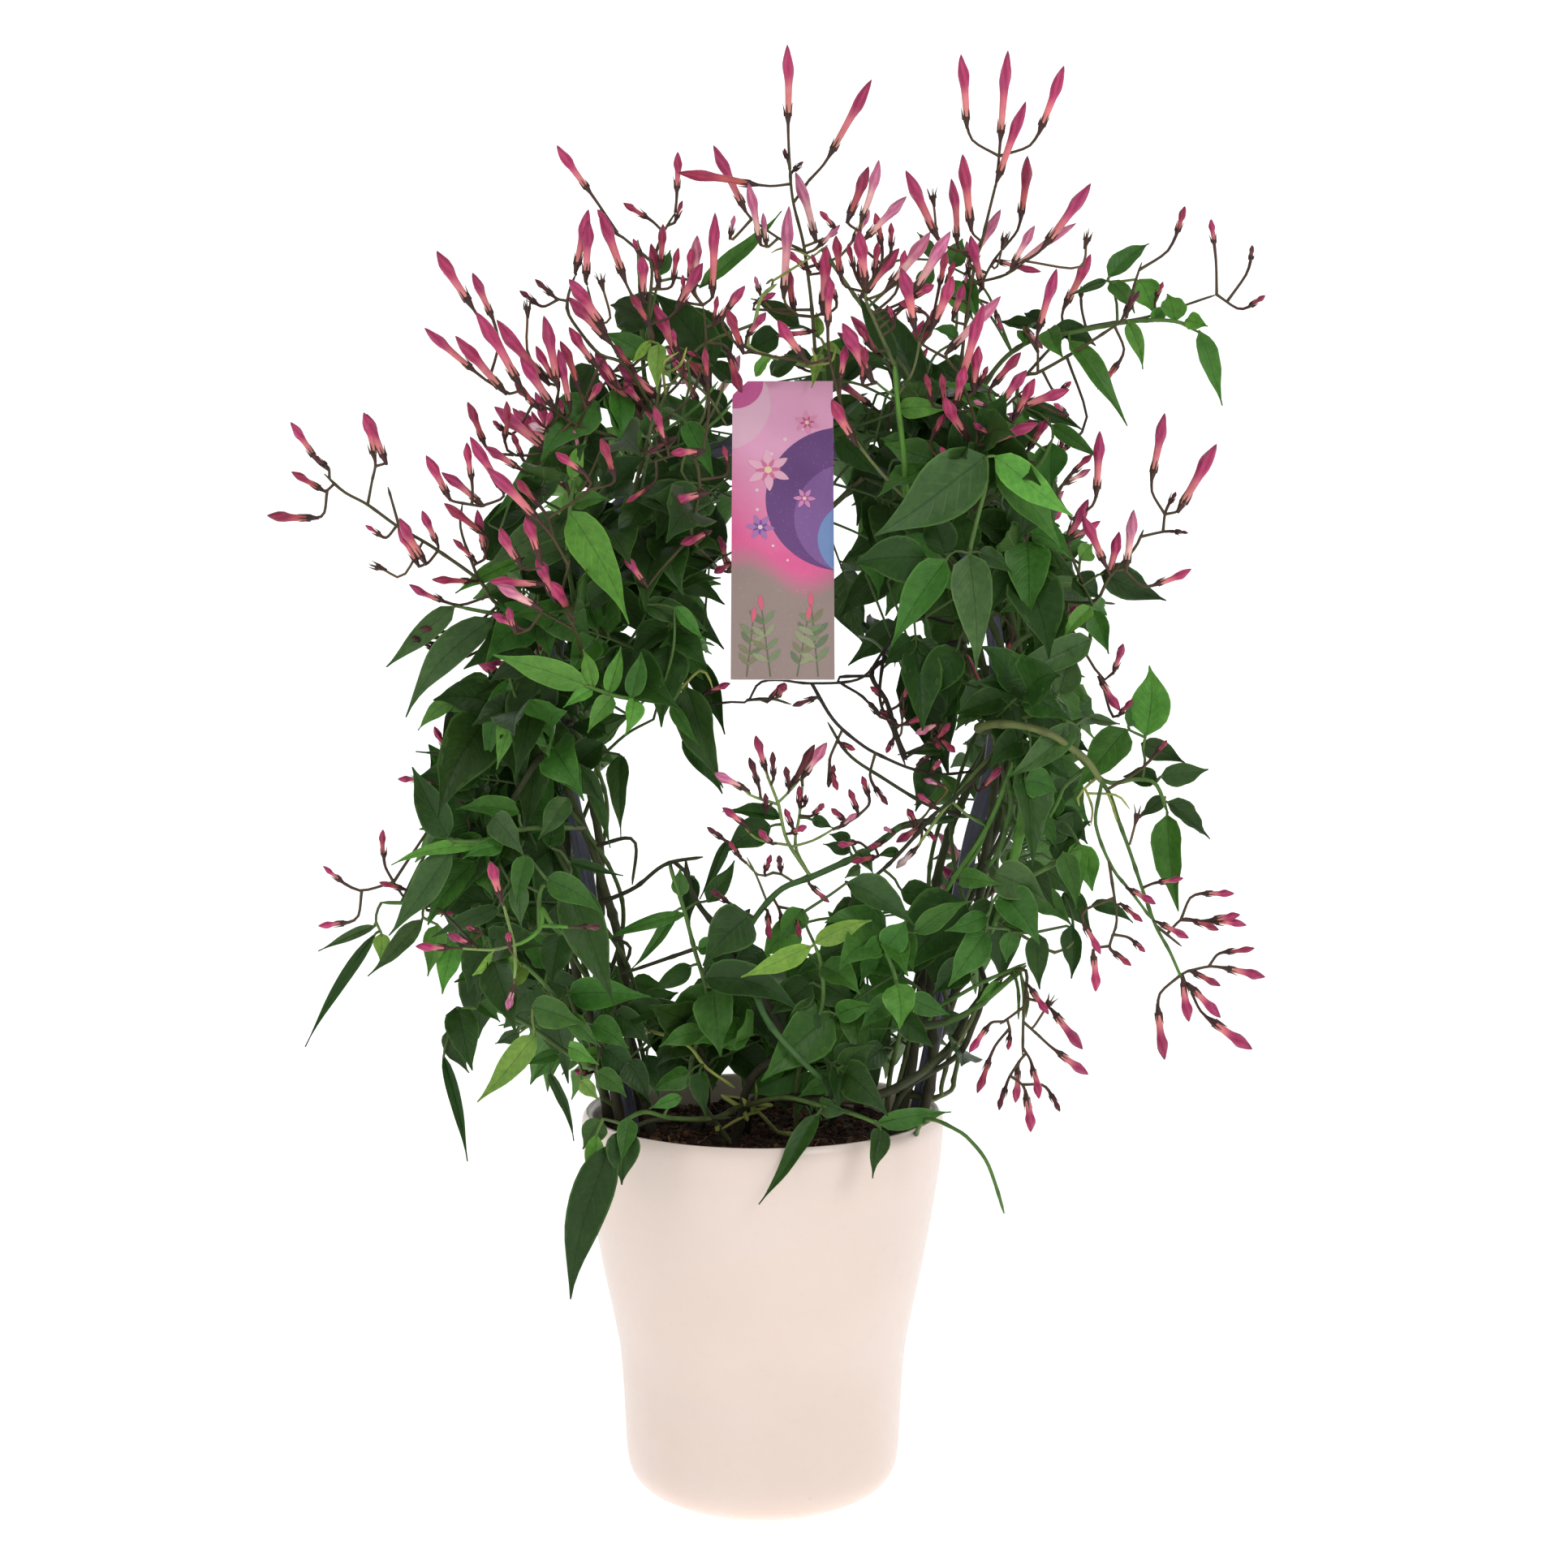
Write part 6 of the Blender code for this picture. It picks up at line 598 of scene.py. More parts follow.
def add_bud(b, stem, calyx, tip, girth, tone, seed, stalk_colour, end_colour):
    """A closed bud: stalk, toothed calyx, slim tube, and furled lobes that wind round each other to a point."""
    rnd = random.Random(seed)
    stem, calyx, tip = Vector(stem), Vector(calyx), Vector(tip)
    axis = (tip - calyx).normalized()
    length = (tip - calyx).length
    girth *= 1.06
    small = min(1.0, 0.35 + length / 0.030)
    lobes, tube, foot, cup = [varied(c, rnd, 0.12) for c in BUD_TONES[tone]]
    if (calyx - stem).length > 0.0008:
        gap = (calyx - stem).length
        bend = (calyx - axis * 0.42 * gap).lerp(stem.lerp(calyx, 0.5), 0.35)
        pts = smooth([stem, bend, calyx - axis * 0.001], 7)
        mix = np.linspace(0, 1, 7)[:, None]
        c = np.array(stalk_colour)[None] * (1 - mix) + np.array(end_colour)[None] * mix
        add_tube(b, pts, [0.00066, 0.00059, 0.00055, 0.00054, 0.00055, 0.00060, 0.00066], 6, c, GREEN, round_end=False)
    add_calyx(b, calyx, axis, max((0.72 + 0.20 * small) * (0.7 + 0.3 * girth), 1.02 * girth * small), cup, rnd, 0.16)
    ts = np.array([q[0] for q in BUD_RADII])
    rs = np.array([q[1] for q in BUD_RADII]) * girth * small
    bow = axis.orthogonal().normalized()
    bow = (bow * math.cos(rnd.uniform(0, 6.28)) + axis.cross(bow) * math.sin(rnd.uniform(0, 6.28))) * rnd.uniform(0, 0.035) * length
    line = [calyx.lerp(tip, float(q)) + bow * math.sin(math.pi * float(q)) for q in ts]
    sides = 15
    winding_rate = rnd.uniform(1.6, 2.6) * rnd.choice((1, 1, 1, -1))
    phase = rnd.uniform(0, 6.28)

    def ridge(rows, a):
        tt = ts[:, None]
        strength = np.clip((tt - 0.46) / 0.14, 0, 1) * 0.095 + 0.020
        return 1 + strength * np.cos(5 * a[None] - phase - winding_rate * 5 * tt) - strength * 0.35 * np.abs(np.sin(2.5 * a[None] - phase / 2 - winding_rate * 2.5 * tt))

    k = np.clip((ts - rnd.uniform(0.34, 0.44)) / 0.18, 0, 1)[:, None] ** 0.8
    f = np.clip(1 - ts / 0.26, 0, 1)[:, None]
    c = np.array(tube)[None] * (1 - k) + np.array(lobes)[None] * k
    c = c * (1 - f) + np.array(foot)[None] * f
    tipc = np.clip((ts - 0.88) / 0.12, 0, 1)[:, None]
    c = c * (1 - 0.45 * tipc)
    # painted shade: the grooves between the furled lobes are darkened by up to 46 %, where the lobes overlap; the rest
    # of the bud is lifted by 8 %
    around = 2 * math.pi * np.arange(sides)[None] / sides
    swirl = np.cos(5 * around - phase - winding_rate * 5 * ts[:, None])
    fold = np.clip((ts - 0.46) / 0.14, 0, 1)[:, None] * np.clip(0.3 - swirl, 0, 1.3) / 1.3
    c = c[:, None] * (1.08 - 0.46 * fold)[..., None]
    add_tube(b, line, rs, sides, c, FURLED, ridge=ridge, round_end=False)


# ---------------------------------------------------------------- materials
def nodes_of(name):
    m = bpy.data.materials.new(name)
    m.use_nodes = True
    tree = m.node_tree
    return m, tree, tree.nodes["Principled BSDF"]


def link(tree, a, b):
    tree.links.new(a, b)


def math_node(tree, op, a, b=None, c=None, clamp=False):
    n = tree.nodes.new("ShaderNodeMath")
    n.operation = op
    n.use_clamp = clamp
    for i, x in enumerate((a, b, c)):
        if x is None:
            continue
        if isinstance(x, (int, float)):
            n.inputs[i].default_value = x
        else:
            tree.links.new(x, n.inputs[i])
    return n.outputs[0]


def mix_colour(tree, factor, a, b, mode="MIX"):
    n = tree.nodes.new("ShaderNodeMix")
    n.data_type = "RGBA"
    n.blend_type = mode
    n.clamp_factor = True
    for socket, x in ((n.inputs[0], factor), (n.inputs[6], a), (n.inputs[7], b)):
        if isinstance(x, (int, float)):
            socket.default_value = x
        elif isinstance(x, tuple):
            socket.default_value = (*x, 1.0) if len(x) == 3 else x
        else:
            tree.links.new(x, socket)
    return n.outputs[2]


def position(tree):
    return tree.nodes.new("ShaderNodeTexCoord").outputs["Object"]


def noise_node(tree, vector, scale, detail=3.0, rough=0.55, stretch=None):
    n = tree.nodes.new("ShaderNodeTexNoise")
    n.inputs["Scale"].default_value = scale
    n.inputs["Detail"].default_value = detail
    n.inputs["Roughness"].default_value = rough
    if stretch is not None:
        m = tree.nodes.new("ShaderNodeMapping")
        m.inputs["Scale"].default_value = stretch
        tree.links.new(vector, m.inputs["Vector"])
        vector = m.outputs[0]
    tree.links.new(vector, n.inputs["Vector"])
    return n.outputs[0]


def ramp(tree, value, low, high, a=0.0, b=1.0):
    n = tree.nodes.new("ShaderNodeMapRange")
    n.inputs["From Min"].default_value = low
    n.inputs["From Max"].default_value = high
    n.inputs["To Min"].default_value = a
    n.inputs["To Max"].default_value = b
    tree.links.new(value, n.inputs["Value"])
    return n.outputs[0]


def bump(tree, shader, height, strength, distance):
    n = tree.nodes.new("ShaderNodeBump")
    n.inputs["Strength"].default_value = strength
    n.inputs["Distance"].default_value = distance
    tree.links.new(height, n.inputs["Height"])
    tree.links.new(n.outputs[0], shader.inputs["Normal"])


def tone_of(tree):
    n = tree.nodes.new("ShaderNodeAttribute")
    n.attribute_name = "tone"
    return n.outputs["Color"], n.outputs["Alpha"]


def surface_uv(tree):
    n = tree.nodes.new("ShaderNodeUVMap")
    n.uv_map = "Surface"
    s = tree.nodes.new("ShaderNodeSeparateXYZ")
    tree.links.new(n.outputs[0], s.inputs[0])
    return n.outputs[0], s.outputs[0], s.outputs[1]


def leaf_material():
    m, t, s = nodes_of("leaf_blade")
    colour, top = tone_of(t)
    _, along, across = surface_uv(t)
    x = math_node(t, "ABSOLUTE", math_node(t, "MULTIPLY_ADD", across, 2.0, -1.0))
    obj = position(t)
    mottle = noise_node(t, obj, 420.0, 4.0)
    broad = noise_node(t, obj, 90.0, 2.0)
    # side veins run forward from the midrib
    lane = math_node(t, "MULTIPLY_ADD", along, 8.5, math_node(t, "MULTIPLY", x, -2.1))
    saw = math_node(t, "PINGPONG", lane, 0.5)
    vein = ramp(t, saw, 0.0, 0.13, 1.0, 0.0)
    vein = math_node(t, "MULTIPLY", vein, ramp(t, x, 0.86, 0.55, 0.0, 1.0))
    rib = ramp(t, x, 0.020, 0.060, 1.0, 0.0)
    edge = ramp(t, x, 0.88, 0.97, 0.0, 1.0)
    c = mix_colour(t, ramp(t, mottle, 0.36, 0.70), colour, mix_colour(t, 1.0, colour, (1.42, 1.30, 1.2), "MULTIPLY"))
    c = mix_colour(t, ramp(t, broad, 0.35, 0.65, 0.0, 0.75), c, mix_colour(t, 1.0, c, (0.72, 0.80, 0.75), "MULTIPLY"))
    c = mix_colour(t, math_node(t, "MULTIPLY", vein, 0.30), c, mix_colour(t, 1.0, c, (1.75, 1.55, 1.5), "MULTIPLY"))
    # the midrib strip is painted darker: partly the rib's own colour, partly painted shade in its sunk groove
    c = mix_colour(t, math_node(t, "MULTIPLY", rib, 0.60), c, mix_colour(t, 1.0, c, (0.50, 0.55, 0.45), "MULTIPLY"))
    c = mix_colour(t, math_node(t, "MULTIPLY", edge, 0.60), c, mix_colour(t, 0.45, mix_colour(t, 1.0, c, (2.1, 1.9, 1.6), "MULTIPLY"), (0.120, 0.250, 0.055)))
    under = mix_colour(t, 0.42, mix_colour(t, 1.0, colour, (1.55, 1.45, 1.5), "MULTIPLY"), (0.085, 0.160, 0.045))
    under = mix_colour(t, math_node(t, "MULTIPLY", math_node(t, "MAXIMUM", vein, rib), 0.4), under, (0.16, 0.25, 0.08))
    c = mix_colour(t, top, under, c)
    link(t, c, s.inputs["Base Color"])
    link(t, ramp(t, math_node(t, "MULTIPLY_ADD", top, -0.5, mottle), -0.2, 0.8, 0.38, 0.68), s.inputs["Roughness"])
    s.inputs["Specular IOR Level"].default_value = 0.24
    h = math_node(t, "ADD", math_node(t, "MULTIPLY", math_node(t, "MAXIMUM", vein, math_node(t, "MULTIPLY", rib, 1.5)), -0.6), math_node(t, "MULTIPLY", mottle, 0.5))
    bump(t, s, h, 0.55, 0.00025)
    return m


def green_material(name, rough=0.5, streak=1.0, hairy=0.0):
    """Young green or woody stems, coloured by the piece's own tones."""
    m, t, s = nodes_of(name)
    colour, _ = tone_of(t)
    vec, along, across = surface_uv(t)
    obj = position(t)
    long_streaks = noise_node(t, vec, 6.0, 4.0, 0.6, (0.35, 9.0, 1.0))
    spots = noise_node(t, obj, 1500.0, 3.0)
    c = mix_colour(t, ramp(t, long_streaks, 0.35, 0.68, 0.0, 1.0), mix_colour(t, 1.0, colour, (0.62, 0.62, 0.62), "MULTIPLY"), mix_colour(t, 1.0, colour, (1.45, 1.38, 1.3), "MULTIPLY"))
    c = mix_colour(t, ramp(t, spots, 0.60, 0.75, 0.0, 0.5), c, (0.15, 0.12, 0.07))
    link(t, c, s.inputs["Base Color"])
    link(t, ramp(t, spots, 0.3, 0.7, rough - 0.1, rough + 0.15), s.inputs["Roughness"])
    s.inputs["Specular IOR Level"].default_value = 0.35
    bump(t, s, math_node(t, "ADD", long_streaks, math_node(t, "MULTIPLY", spots, 0.35)), 0.5 * streak, 0.0003)
    return m


def petal_material():
    m, t, s = nodes_of("petal_skin")
    colour, _ = tone_of(t)
    vec, along, across = surface_uv(t)
    obj = position(t)
    streak = noise_node(t, vec, 5.0, 4.0, 0.6, (0.5, 14.0, 1.0))
    grain = noise_node(t, obj, 1900.0, 2.0)
    blush = noise_node(t, obj, 160.0, 2.0)
    c = mix_colour(t, ramp(t, streak, 0.35, 0.66, 0.0, 0.55), colour, mix_colour(t, 1.0, colour, (0.70, 0.55, 0.62), "MULTIPLY"))
    c = mix_colour(t, ramp(t, blush, 0.42, 0.66, 0.0, 0.50), c, mix_colour(t, 1.0, c, (1.22, 1.55, 1.40), "MULTIPLY"))
    link(t, c, s.inputs["Base Color"])
    link(t, ramp(t, grain, 0.3, 0.7, 0.42, 0.62), s.inputs["Roughness"])
    s.inputs["Specular IOR Level"].default_value = 0.35
    s.inputs["Sheen Weight"].default_value = 0.25
    s.inputs["Sheen Roughness"].default_value = 0.4
    bump(t, s, math_node(t, "ADD", streak, math_node(t, "MULTIPLY", grain, 0.4)), 0.35, 0.0002)
    return m


def glaze_material():
    m, t, s = nodes_of("cream_glaze")
    colour, _ = tone_of(t)
    obj = position(t)
    cloud = noise_node(t, obj, 22.0, 3.0)
    fine = noise_node(t, obj, 260.0, 4.0, 0.6)
    bands = noise_node(t, obj, 9.0, 2.0, 0.5, (1.0, 1.0, 7.0))
    dust = t.nodes.new("ShaderNodeTexVoronoi")
    dust.inputs["Scale"].default_value = 70.0
    link(t, obj, dust.inputs["Vector"])
    pin = ramp(t, dust.outputs["Distance"], 0.030, 0.060, 1.0, 0.0)
    pin = math_node(t, "MULTIPLY", pin, ramp(t, noise_node(t, obj, 40.0, 1.0), 0.60, 0.64, 0.0, 1.0))
    c = mix_colour(t, ramp(t, cloud, 0.35, 0.68, 0.0, 0.65), colour, mix_colour(t, 1.0, colour, (0.965, 0.945, 0.925), "MULTIPLY"))
    c = mix_colour(t, ramp(t, bands, 0.40, 0.65, 0.0, 0.5), c, mix_colour(t, 1.0, c, (1.02, 1.005, 0.985), "MULTIPLY"))
    c = mix_colour(t, ramp(t, fine, 0.55, 0.75, 0.0, 0.35), c, mix_colour(t, 1.0, c, (0.955, 0.94, 0.925), "MULTIPLY"))
    c = mix_colour(t, math_node(t, "MULTIPLY", pin, 0.55), c, (0.36, 0.29, 0.23))
    link(t, c, s.inputs["Base Color"])
    link(t, ramp(t, fine, 0.3, 0.7, 0.30, 0.44), s.inputs["Roughness"])
    s.inputs["Specular IOR Level"].default_value = 0.45
    s.inputs["Coat Weight"].default_value = 0.25
    s.inputs["Coat Roughness"].default_value = 0.16
    bump(t, s, math_node(t, "ADD", math_node(t, "MULTIPLY", fine, 0.5), math_node(t, "ADD", bands, math_node(t, "MULTIPLY", cloud, 1.5))), 0.30, 0.0006)
    return m


def plastic_material():
    m, t, s = nodes_of("slate_moulded")
    obj = position(t)
    grain = noise_node(t, obj, 2600.0, 3.0)
    flow = noise_node(t, obj, 60.0, 3.0, 0.5, (1.0, 1.0, 0.25))
    c = mix_colour(t, ramp(t, flow, 0.35, 0.68), (0.072, 0.078, 0.118), (0.120, 0.128, 0.184))
    c = mix_colour(t, ramp(t, grain, 0.58, 0.74, 0.0, 0.5), c, (0.20, 0.20, 0.23))
    link(t, c, s.inputs["Base Color"])
    link(t, ramp(t, grain, 0.3, 0.7, 0.36, 0.56), s.inputs["Roughness"])
    bump(t, s, math_node(t, "ADD", grain, math_node(t, "MULTIPLY", flow, 2.0)), 0.35, 0.0002)
    return m


def soil_material():
    m, t, s = nodes_of("potting_mix")
    colour, _ = tone_of(t)
    obj = position(t)
    clump = noise_node(t, obj, 320.0, 5.0, 0.65)
    grit = noise_node(t, obj, 1700.0, 4.0, 0.65)
    c = mix_colour(t, ramp(t, clump, 0.32, 0.70), mix_colour(t, 1.0, colour, (0.45, 0.42, 0.42), "MULTIPLY"), mix_colour(t, 1.0, colour, (1.7, 1.6, 1.5), "MULTIPLY"))
    c = mix_colour(t, ramp(t, grit, 0.60, 0.75, 0.0, 0.6), c, (0.16, 0.11, 0.08))
    link(t, c, s.inputs["Base Color"])
    link(t, ramp(t, grit, 0.3, 0.7, 0.82, 1.0), s.inputs["Roughness"])
    s.inputs["Specular IOR Level"].default_value = 0.2
    bump(t, s, math_node(t, "ADD", clump, grit), 0.9, 0.0012)
    return m


def card_material():
    m, t, s = nodes_of("printed_card")
    colour, _ = tone_of(t)
    obj = position(t)
    fibre = noise_node(t, obj, 900.0, 4.0, 0.6)
    ink = noise_node(t, obj, 70.0, 3.0)
    c = mix_colour(t, ramp(t, ink, 0.35, 0.68, 0.0, 0.45), colour, mix_colour(t, 1.0, colour, (0.90, 0.88, 0.90), "MULTIPLY"))
    c = mix_colour(t, ramp(t, fibre, 0.60, 0.78, 0.0, 0.20), c, (0.80, 0.74, 0.78))
    link(t, c, s.inputs["Base Color"])
    link(t, ramp(t, fibre, 0.3, 0.7, 0.38, 0.58), s.inputs["Roughness"])
    bump(t, s, math_node(t, "ADD", fibre, math_node(t, "MULTIPLY", ink, 2.0)), 0.25, 0.0002)
    return m


LEAF, GREEN_STEM, PETAL, GLAZE = leaf_material(), green_material("green_stem"), petal_material(), glaze_material()
WOODY, PLASTIC, MIX, PRINT = green_material("woody_stem", 0.6, 2.0), plastic_material(), soil_material(), card_material()


def finished(ob, slot_name, *cad):
    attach(ob, "root")
    if cad:
        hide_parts(*cad)
    return ob


def srgb(r, g, b):
    return tuple(((c / 255.0) / 12.92 if c <= 10 else ((c / 255.0 + 0.055) / 1.055) ** 2.4) for c in (r, g, b))


# ---------------------------------------------------------------- pot
def make_pot():
    b = Build()
    outside = [(0.0340, 0.0012), (0.0356, 0.0002), (0.0372, 0.0)] + POT_OUTSIDE
    inner = POT_INSIDE
    profile = [Vector((r, 0, z)) for r, z in outside + inner]
    dense = smooth(profile, 150)
    rows = [(0.0, 0.0013), (0.0200, 0.0013), (0.0326, 0.0012)] + [(p.x, max(p.z, 0.0)) for p in dense] + [(0.0380, 0.0070), (0.0180, 0.0070), (0.0, 0.0070)]
    sides = 112
    # painted_wall_shade is a darker copy of the glaze: painted shade for the inside of the pot
    glaze, raw, painted_wall_shade = srgb(234, 216, 206), srgb(206, 178, 152), srgb(226, 206, 188)
    verts, colours = [], []
    for i, (r, z) in enumerate(rows[1:-1]):
        for j in range(sides):
            a = 2 * math.pi * j / sides
            wob = 1 + 0.0016 * noise.noise(Vector((math.cos(a) * 1.3, math.sin(a) * 1.3, z * 14.0))) if z > 0.004 and z < 0.150 and i < 118 else 1.0
            verts.append((r * wob * math.cos(a), r * wob * math.sin(a), z))
        # painted shade: the inside wall below the rim takes the darker copy of the glaze
        inside_wall = i > 95 and r < 0.0700 and z > 0.006 and rows[i][0] < 0.0702
        colours.extend([raw if (z < 0.0009 or (i < 3)) else painted_wall_shade if inside_wall else glaze] * sides)
    n = len(rows) - 2
    faces = []
    for i in range(n - 1):
        for j in range(sides):
            m = (j + 1) % sides
            faces.append((i * sides + j, (i + 1) * sides + j, (i + 1) * sides + m, i * sides + m)[::-1])
    low, high = len(verts), len(verts) + 1
    verts += [(0, 0, rows[0][1]), (0, 0, rows[-1][1])]
    # the middle of the inner floor takes the painted shade too
    colours += [raw, painted_wall_shade]
    fans = []
    for j in range(sides):
        m = (j + 1) % sides
        fans.append((low, m, j))
        fans.append((high, (n - 1) * sides + j, (n - 1) * sides + m))
    b.add(verts, [np.array(faces), np.array(fans)], colours, None, 0)
    return finished(b.make("glazed_pot", [GLAZE], 60), "cream_glaze", "cover_pot")


# ---------------------------------------------------------------- soil
def soil_height(x, y):
    r = math.hypot(x, y) / 0.068
    base = 0.1452 + 0.0022 * (1 - r * r)
    p = Vector((x, y, 0.0))
    lumps = noise.fractal(p * 95, 0.7, 2.0, 4) * 0.0016 + abs(noise.noise(p * 210)) * 0.0016
    return base + lumps


def lump(b, at, size, colour, rnd):
    """A squashed, irregular crumb."""
    verts, faces, k = [], [], 7
    phase = rnd.uniform(0, 6.28)
    squash = rnd.uniform(0.55, 0.9)
    turn = rnd.uniform(0, 3.14)
    for i, lat in enumerate((-0.9, -0.35, 0.35, 0.9)):
        rr = math.cos(lat * 1.25)
        for j in range(k):
            a = 2 * math.pi * j / k + phase
            g = size * (1 + rnd.uniform(-0.22, 0.22))
            x, y, z = g * rr * math.cos(a), g * rr * math.sin(a) * squash, g * math.sin(lat * 1.25) * 0.8
            verts.append((at[0] + x * math.cos(turn) - y * math.sin(turn), at[1] + x * math.sin(turn) + y * math.cos(turn), at[2] + z))
    b.add(verts, ring_faces(4, k), varied(colour, rnd, 0.3), None, 0)


def make_soil():
    b = Build()
    rnd = random.Random(3)
    sides, rows, edge = 144, 40, 0.0672
    dark = srgb(58, 42, 36)
    verts, colours = [], []
    for i in range(rows):
        r = edge * ((i + 1) / rows) ** 0.9
        for j in range(sides):
            a = 2 * math.pi * j / sides
            x, y = r * math.cos(a), r * math.sin(a)
            verts.append((x, y, soil_height(x, y) - (0.0005 if i == rows - 1 else 0)))
            g = 0.7 + 0.7 * noise.noise(Vector((x, y, 0.3)) * 160) ** 2 * 3
            colours.append(tuple(c * g for c in dark))
    faces = []
    for i in range(rows - 1):
        for j in range(sides):
            m = (j + 1) % sides
            faces.append((i * sides + j, (i + 1) * sides + j, (i + 1) * sides + m, i * sides + m))
    for r, z in ((0.0655, 0.1300), (0.0600, 0.0980), (0.0532, 0.0640), (0.0496, 0.0200), (0.0464, 0.0078)):
        for j in range(sides):
            a = 2 * math.pi * j / sides
            verts.append((r * math.cos(a), r * math.sin(a), z))
            colours.append(dark)
    for i in range(rows - 1, rows + 4):
        for j in range(sides):
            m = (j + 1) % sides
            faces.append((i * sides + j, (i + 1) * sides + j, (i + 1) * sides + m, i * sides + m))
    top, low = len(verts), len(verts) + 1
    verts += [(0, 0, soil_height(0, 0)), (0, 0, 0.0078)]
    colours += [dark, dark]
    fans = [(top, j, (j + 1) % sides) for j in range(sides)] + [(low, (rows + 4) * sides + (j + 1) % sides, (rows + 4) * sides + j) for j in range(sides)]
    b.add(verts, [np.array(faces), np.array(fans)], colours, None, 0)
    for _ in range(560):
        r, a = 0.0655 * math.sqrt(rnd.random()), rnd.uniform(0, 6.28)
        x, y = r * math.cos(a), r * math.sin(a)
        size = rnd.choice((0.0008, 0.0011, 0.0015, 0.0021)) * rnd.uniform(0.8, 1.2)
        tone = rnd.choice((srgb(62, 44, 36), srgb(44, 32, 28), srgb(84, 62, 48), srgb(104, 80, 60)))
        lump(b, (x, y, soil_height(x, y) + size * 0.25), size, tone, rnd)
    for _ in range(190):
        r, a = 0.060 * math.sqrt(rnd.random()), rnd.uniform(0, 6.28)
        x, y, turn, length = r * math.cos(a), r * math.sin(a), rnd.uniform(0, 6.28), rnd.uniform(0.004, 0.013)
        pts = []
        for q in range(5):
            px, py = x + math.cos(turn) * length * (q / 4 - 0.5), y + math.sin(turn) * length * (q / 4 - 0.5)
            turn += rnd.uniform(-0.35, 0.35)
            over = math.hypot(px, py) / 0.0660
            if over > 1:
                px, py = px / over, py / over
            pts.append(Vector((px, py, soil_height(px, py) + 0.0007 + rnd.uniform(-0.0004, 0.0010))))
        add_tube(b, pts, rnd.uniform(0.00016, 0.00034), 4, varied(rnd.choice((srgb(112, 86, 66), srgb(78, 58, 44), srgb(140, 112, 86))), rnd, 0.2), 0)
    return finished(b.make("soil_bed", [MIX], 70), "dark_soil", "potting_soil")


# ---------------------------------------------------------------- hoop
def make_hoop():
    b = Build()
    line = smooth(HOOP_LINE, 260)
    w, d = HOOP_BAND[0] / 2, HOOP_BAND[1] / 2
    front = [(-1.0, -0.30), (-0.93, -0.62), (-0.78, -0.74), (-0.44, -0.74), (-0.30, -0.80), (-0.20, -1.0), (0.0, -1.06), (0.20, -1.0), (0.30, -0.80), (0.44, -0.74), (0.78, -0.74), (0.93, -0.62), (1.0, -0.30)]
    back = [(1.0, 0.30), (0.92, 0.66), (0.74, 0.80), (0.26, 0.84), (0.12, 0.66), (-0.12, 0.66), (-0.26, 0.84), (-0.74, 0.80), (-0.92, 0.66), (-1.0, 0.30)]
    section = np.array([(x * w, y * d) for x, y in front + back])
    p = np.array([tuple(q) for q in line])
    t = np.gradient(p, axis=0)
    t /= np.linalg.norm(t, axis=1)[:, None]
    side = np.cross(t, [0.0, 1.0, 0.0])
    side /= np.linalg.norm(side, axis=1)[:, None]
    k = len(section)
    v = p[:, None] + side[:, None] * section[None, :, 0:1] + np.array([0, 1.0, 0])[None, None] * section[None, :, 1:2]
    b.add(v.reshape(-1, 3), ring_faces(len(p), k), (0.05, 0.05, 0.08), None, 0)
    # small moulded lugs on the back of the band, where the plant is tied in
    for s in (0.16, 0.24, 0.32, 0.68, 0.76, 0.84):
        q, tan = hoop_at(s)
        across = tan.cross(Vector((0, 1, 0))).normalized()
        ring_pts = []
        for z0, g in ((0.0010, 1.0), (0.0024, 1.0), (0.0029, 0.8)):
            for a in range(10):
                ang = 2 * math.pi * a / 10
                ring_pts.append(tuple(q + across * (0.0026 * g * math.cos(ang)) + tan * (0.0018 * g * math.sin(ang)) + Vector((0, z0, 0))))
        faces = [np.asarray(f)[:, ::-1] for f in ring_faces(3, 10)]
        b.add(ring_pts, faces, (0.05, 0.05, 0.08), None, 0)
    return finished(b.make("hoop_band", [PLASTIC], 35), "slate_plastic", "hoop_trellis")


# ---------------------------------------------------------------- vines
SEGMENTS = []     # (piece name, start, end, radius) of everything that leaves and flowers can grow from


def noded_tube(b, line, r0, r1, sides, tone0, tone1, seed, mat=GREEN, pitch=0.021, swell=0.30, taper=True):
    """A stem with slightly swollen joints, wandering a little, dark at its foot and greener at its end."""
    rnd = random.Random(seed)
    length = sum((q - p).length for p, q in zip(line, line[1:]))
    rows = max(8, int(length / 0.0026))
    pts = smooth(line, rows)
    first = rnd.uniform(0.2, 0.8)
    radii, colours = [], []
    for i in range(rows):
        t = i / (rows - 1)
        run = t * length / pitch + first
        near = abs(run - round(run))
        g = 1 + swell * math.exp(-(near / 0.07) ** 2) + 0.06 * noise.noise(Vector((run * 1.7, seed, 0)))
        r = (r0 + (r1 - r0) * t) * g
        if taper and t > 0.97:
            r *= 1 - (t - 0.97) / 0.03 * 0.6
        radii.append(r)
        f = min(1, max(0, t * 1.15 - 0.05))
        dark = 1 - 0.35 * math.exp(-(near / 0.09) ** 2)
        colours.append(tuple((a + (c - a) * f) * dark for a, c in zip(tone0, tone1)))
    wander = [Vector((noise.noise(Vector((i * 0.13, seed, 1.0))), noise.noise(Vector((i * 0.13, seed, 5.0))), 0)) * r0 * 0.35 for i in range(rows)]
    pts = [p + o * min(1, i / 6) for i, (p, o) in enumerate(zip(pts, wander))]
    add_tube(b, pts, radii, sides, colours, mat)
    return pts, radii


VINE_LINES = {}
STEM_PARTS = {}


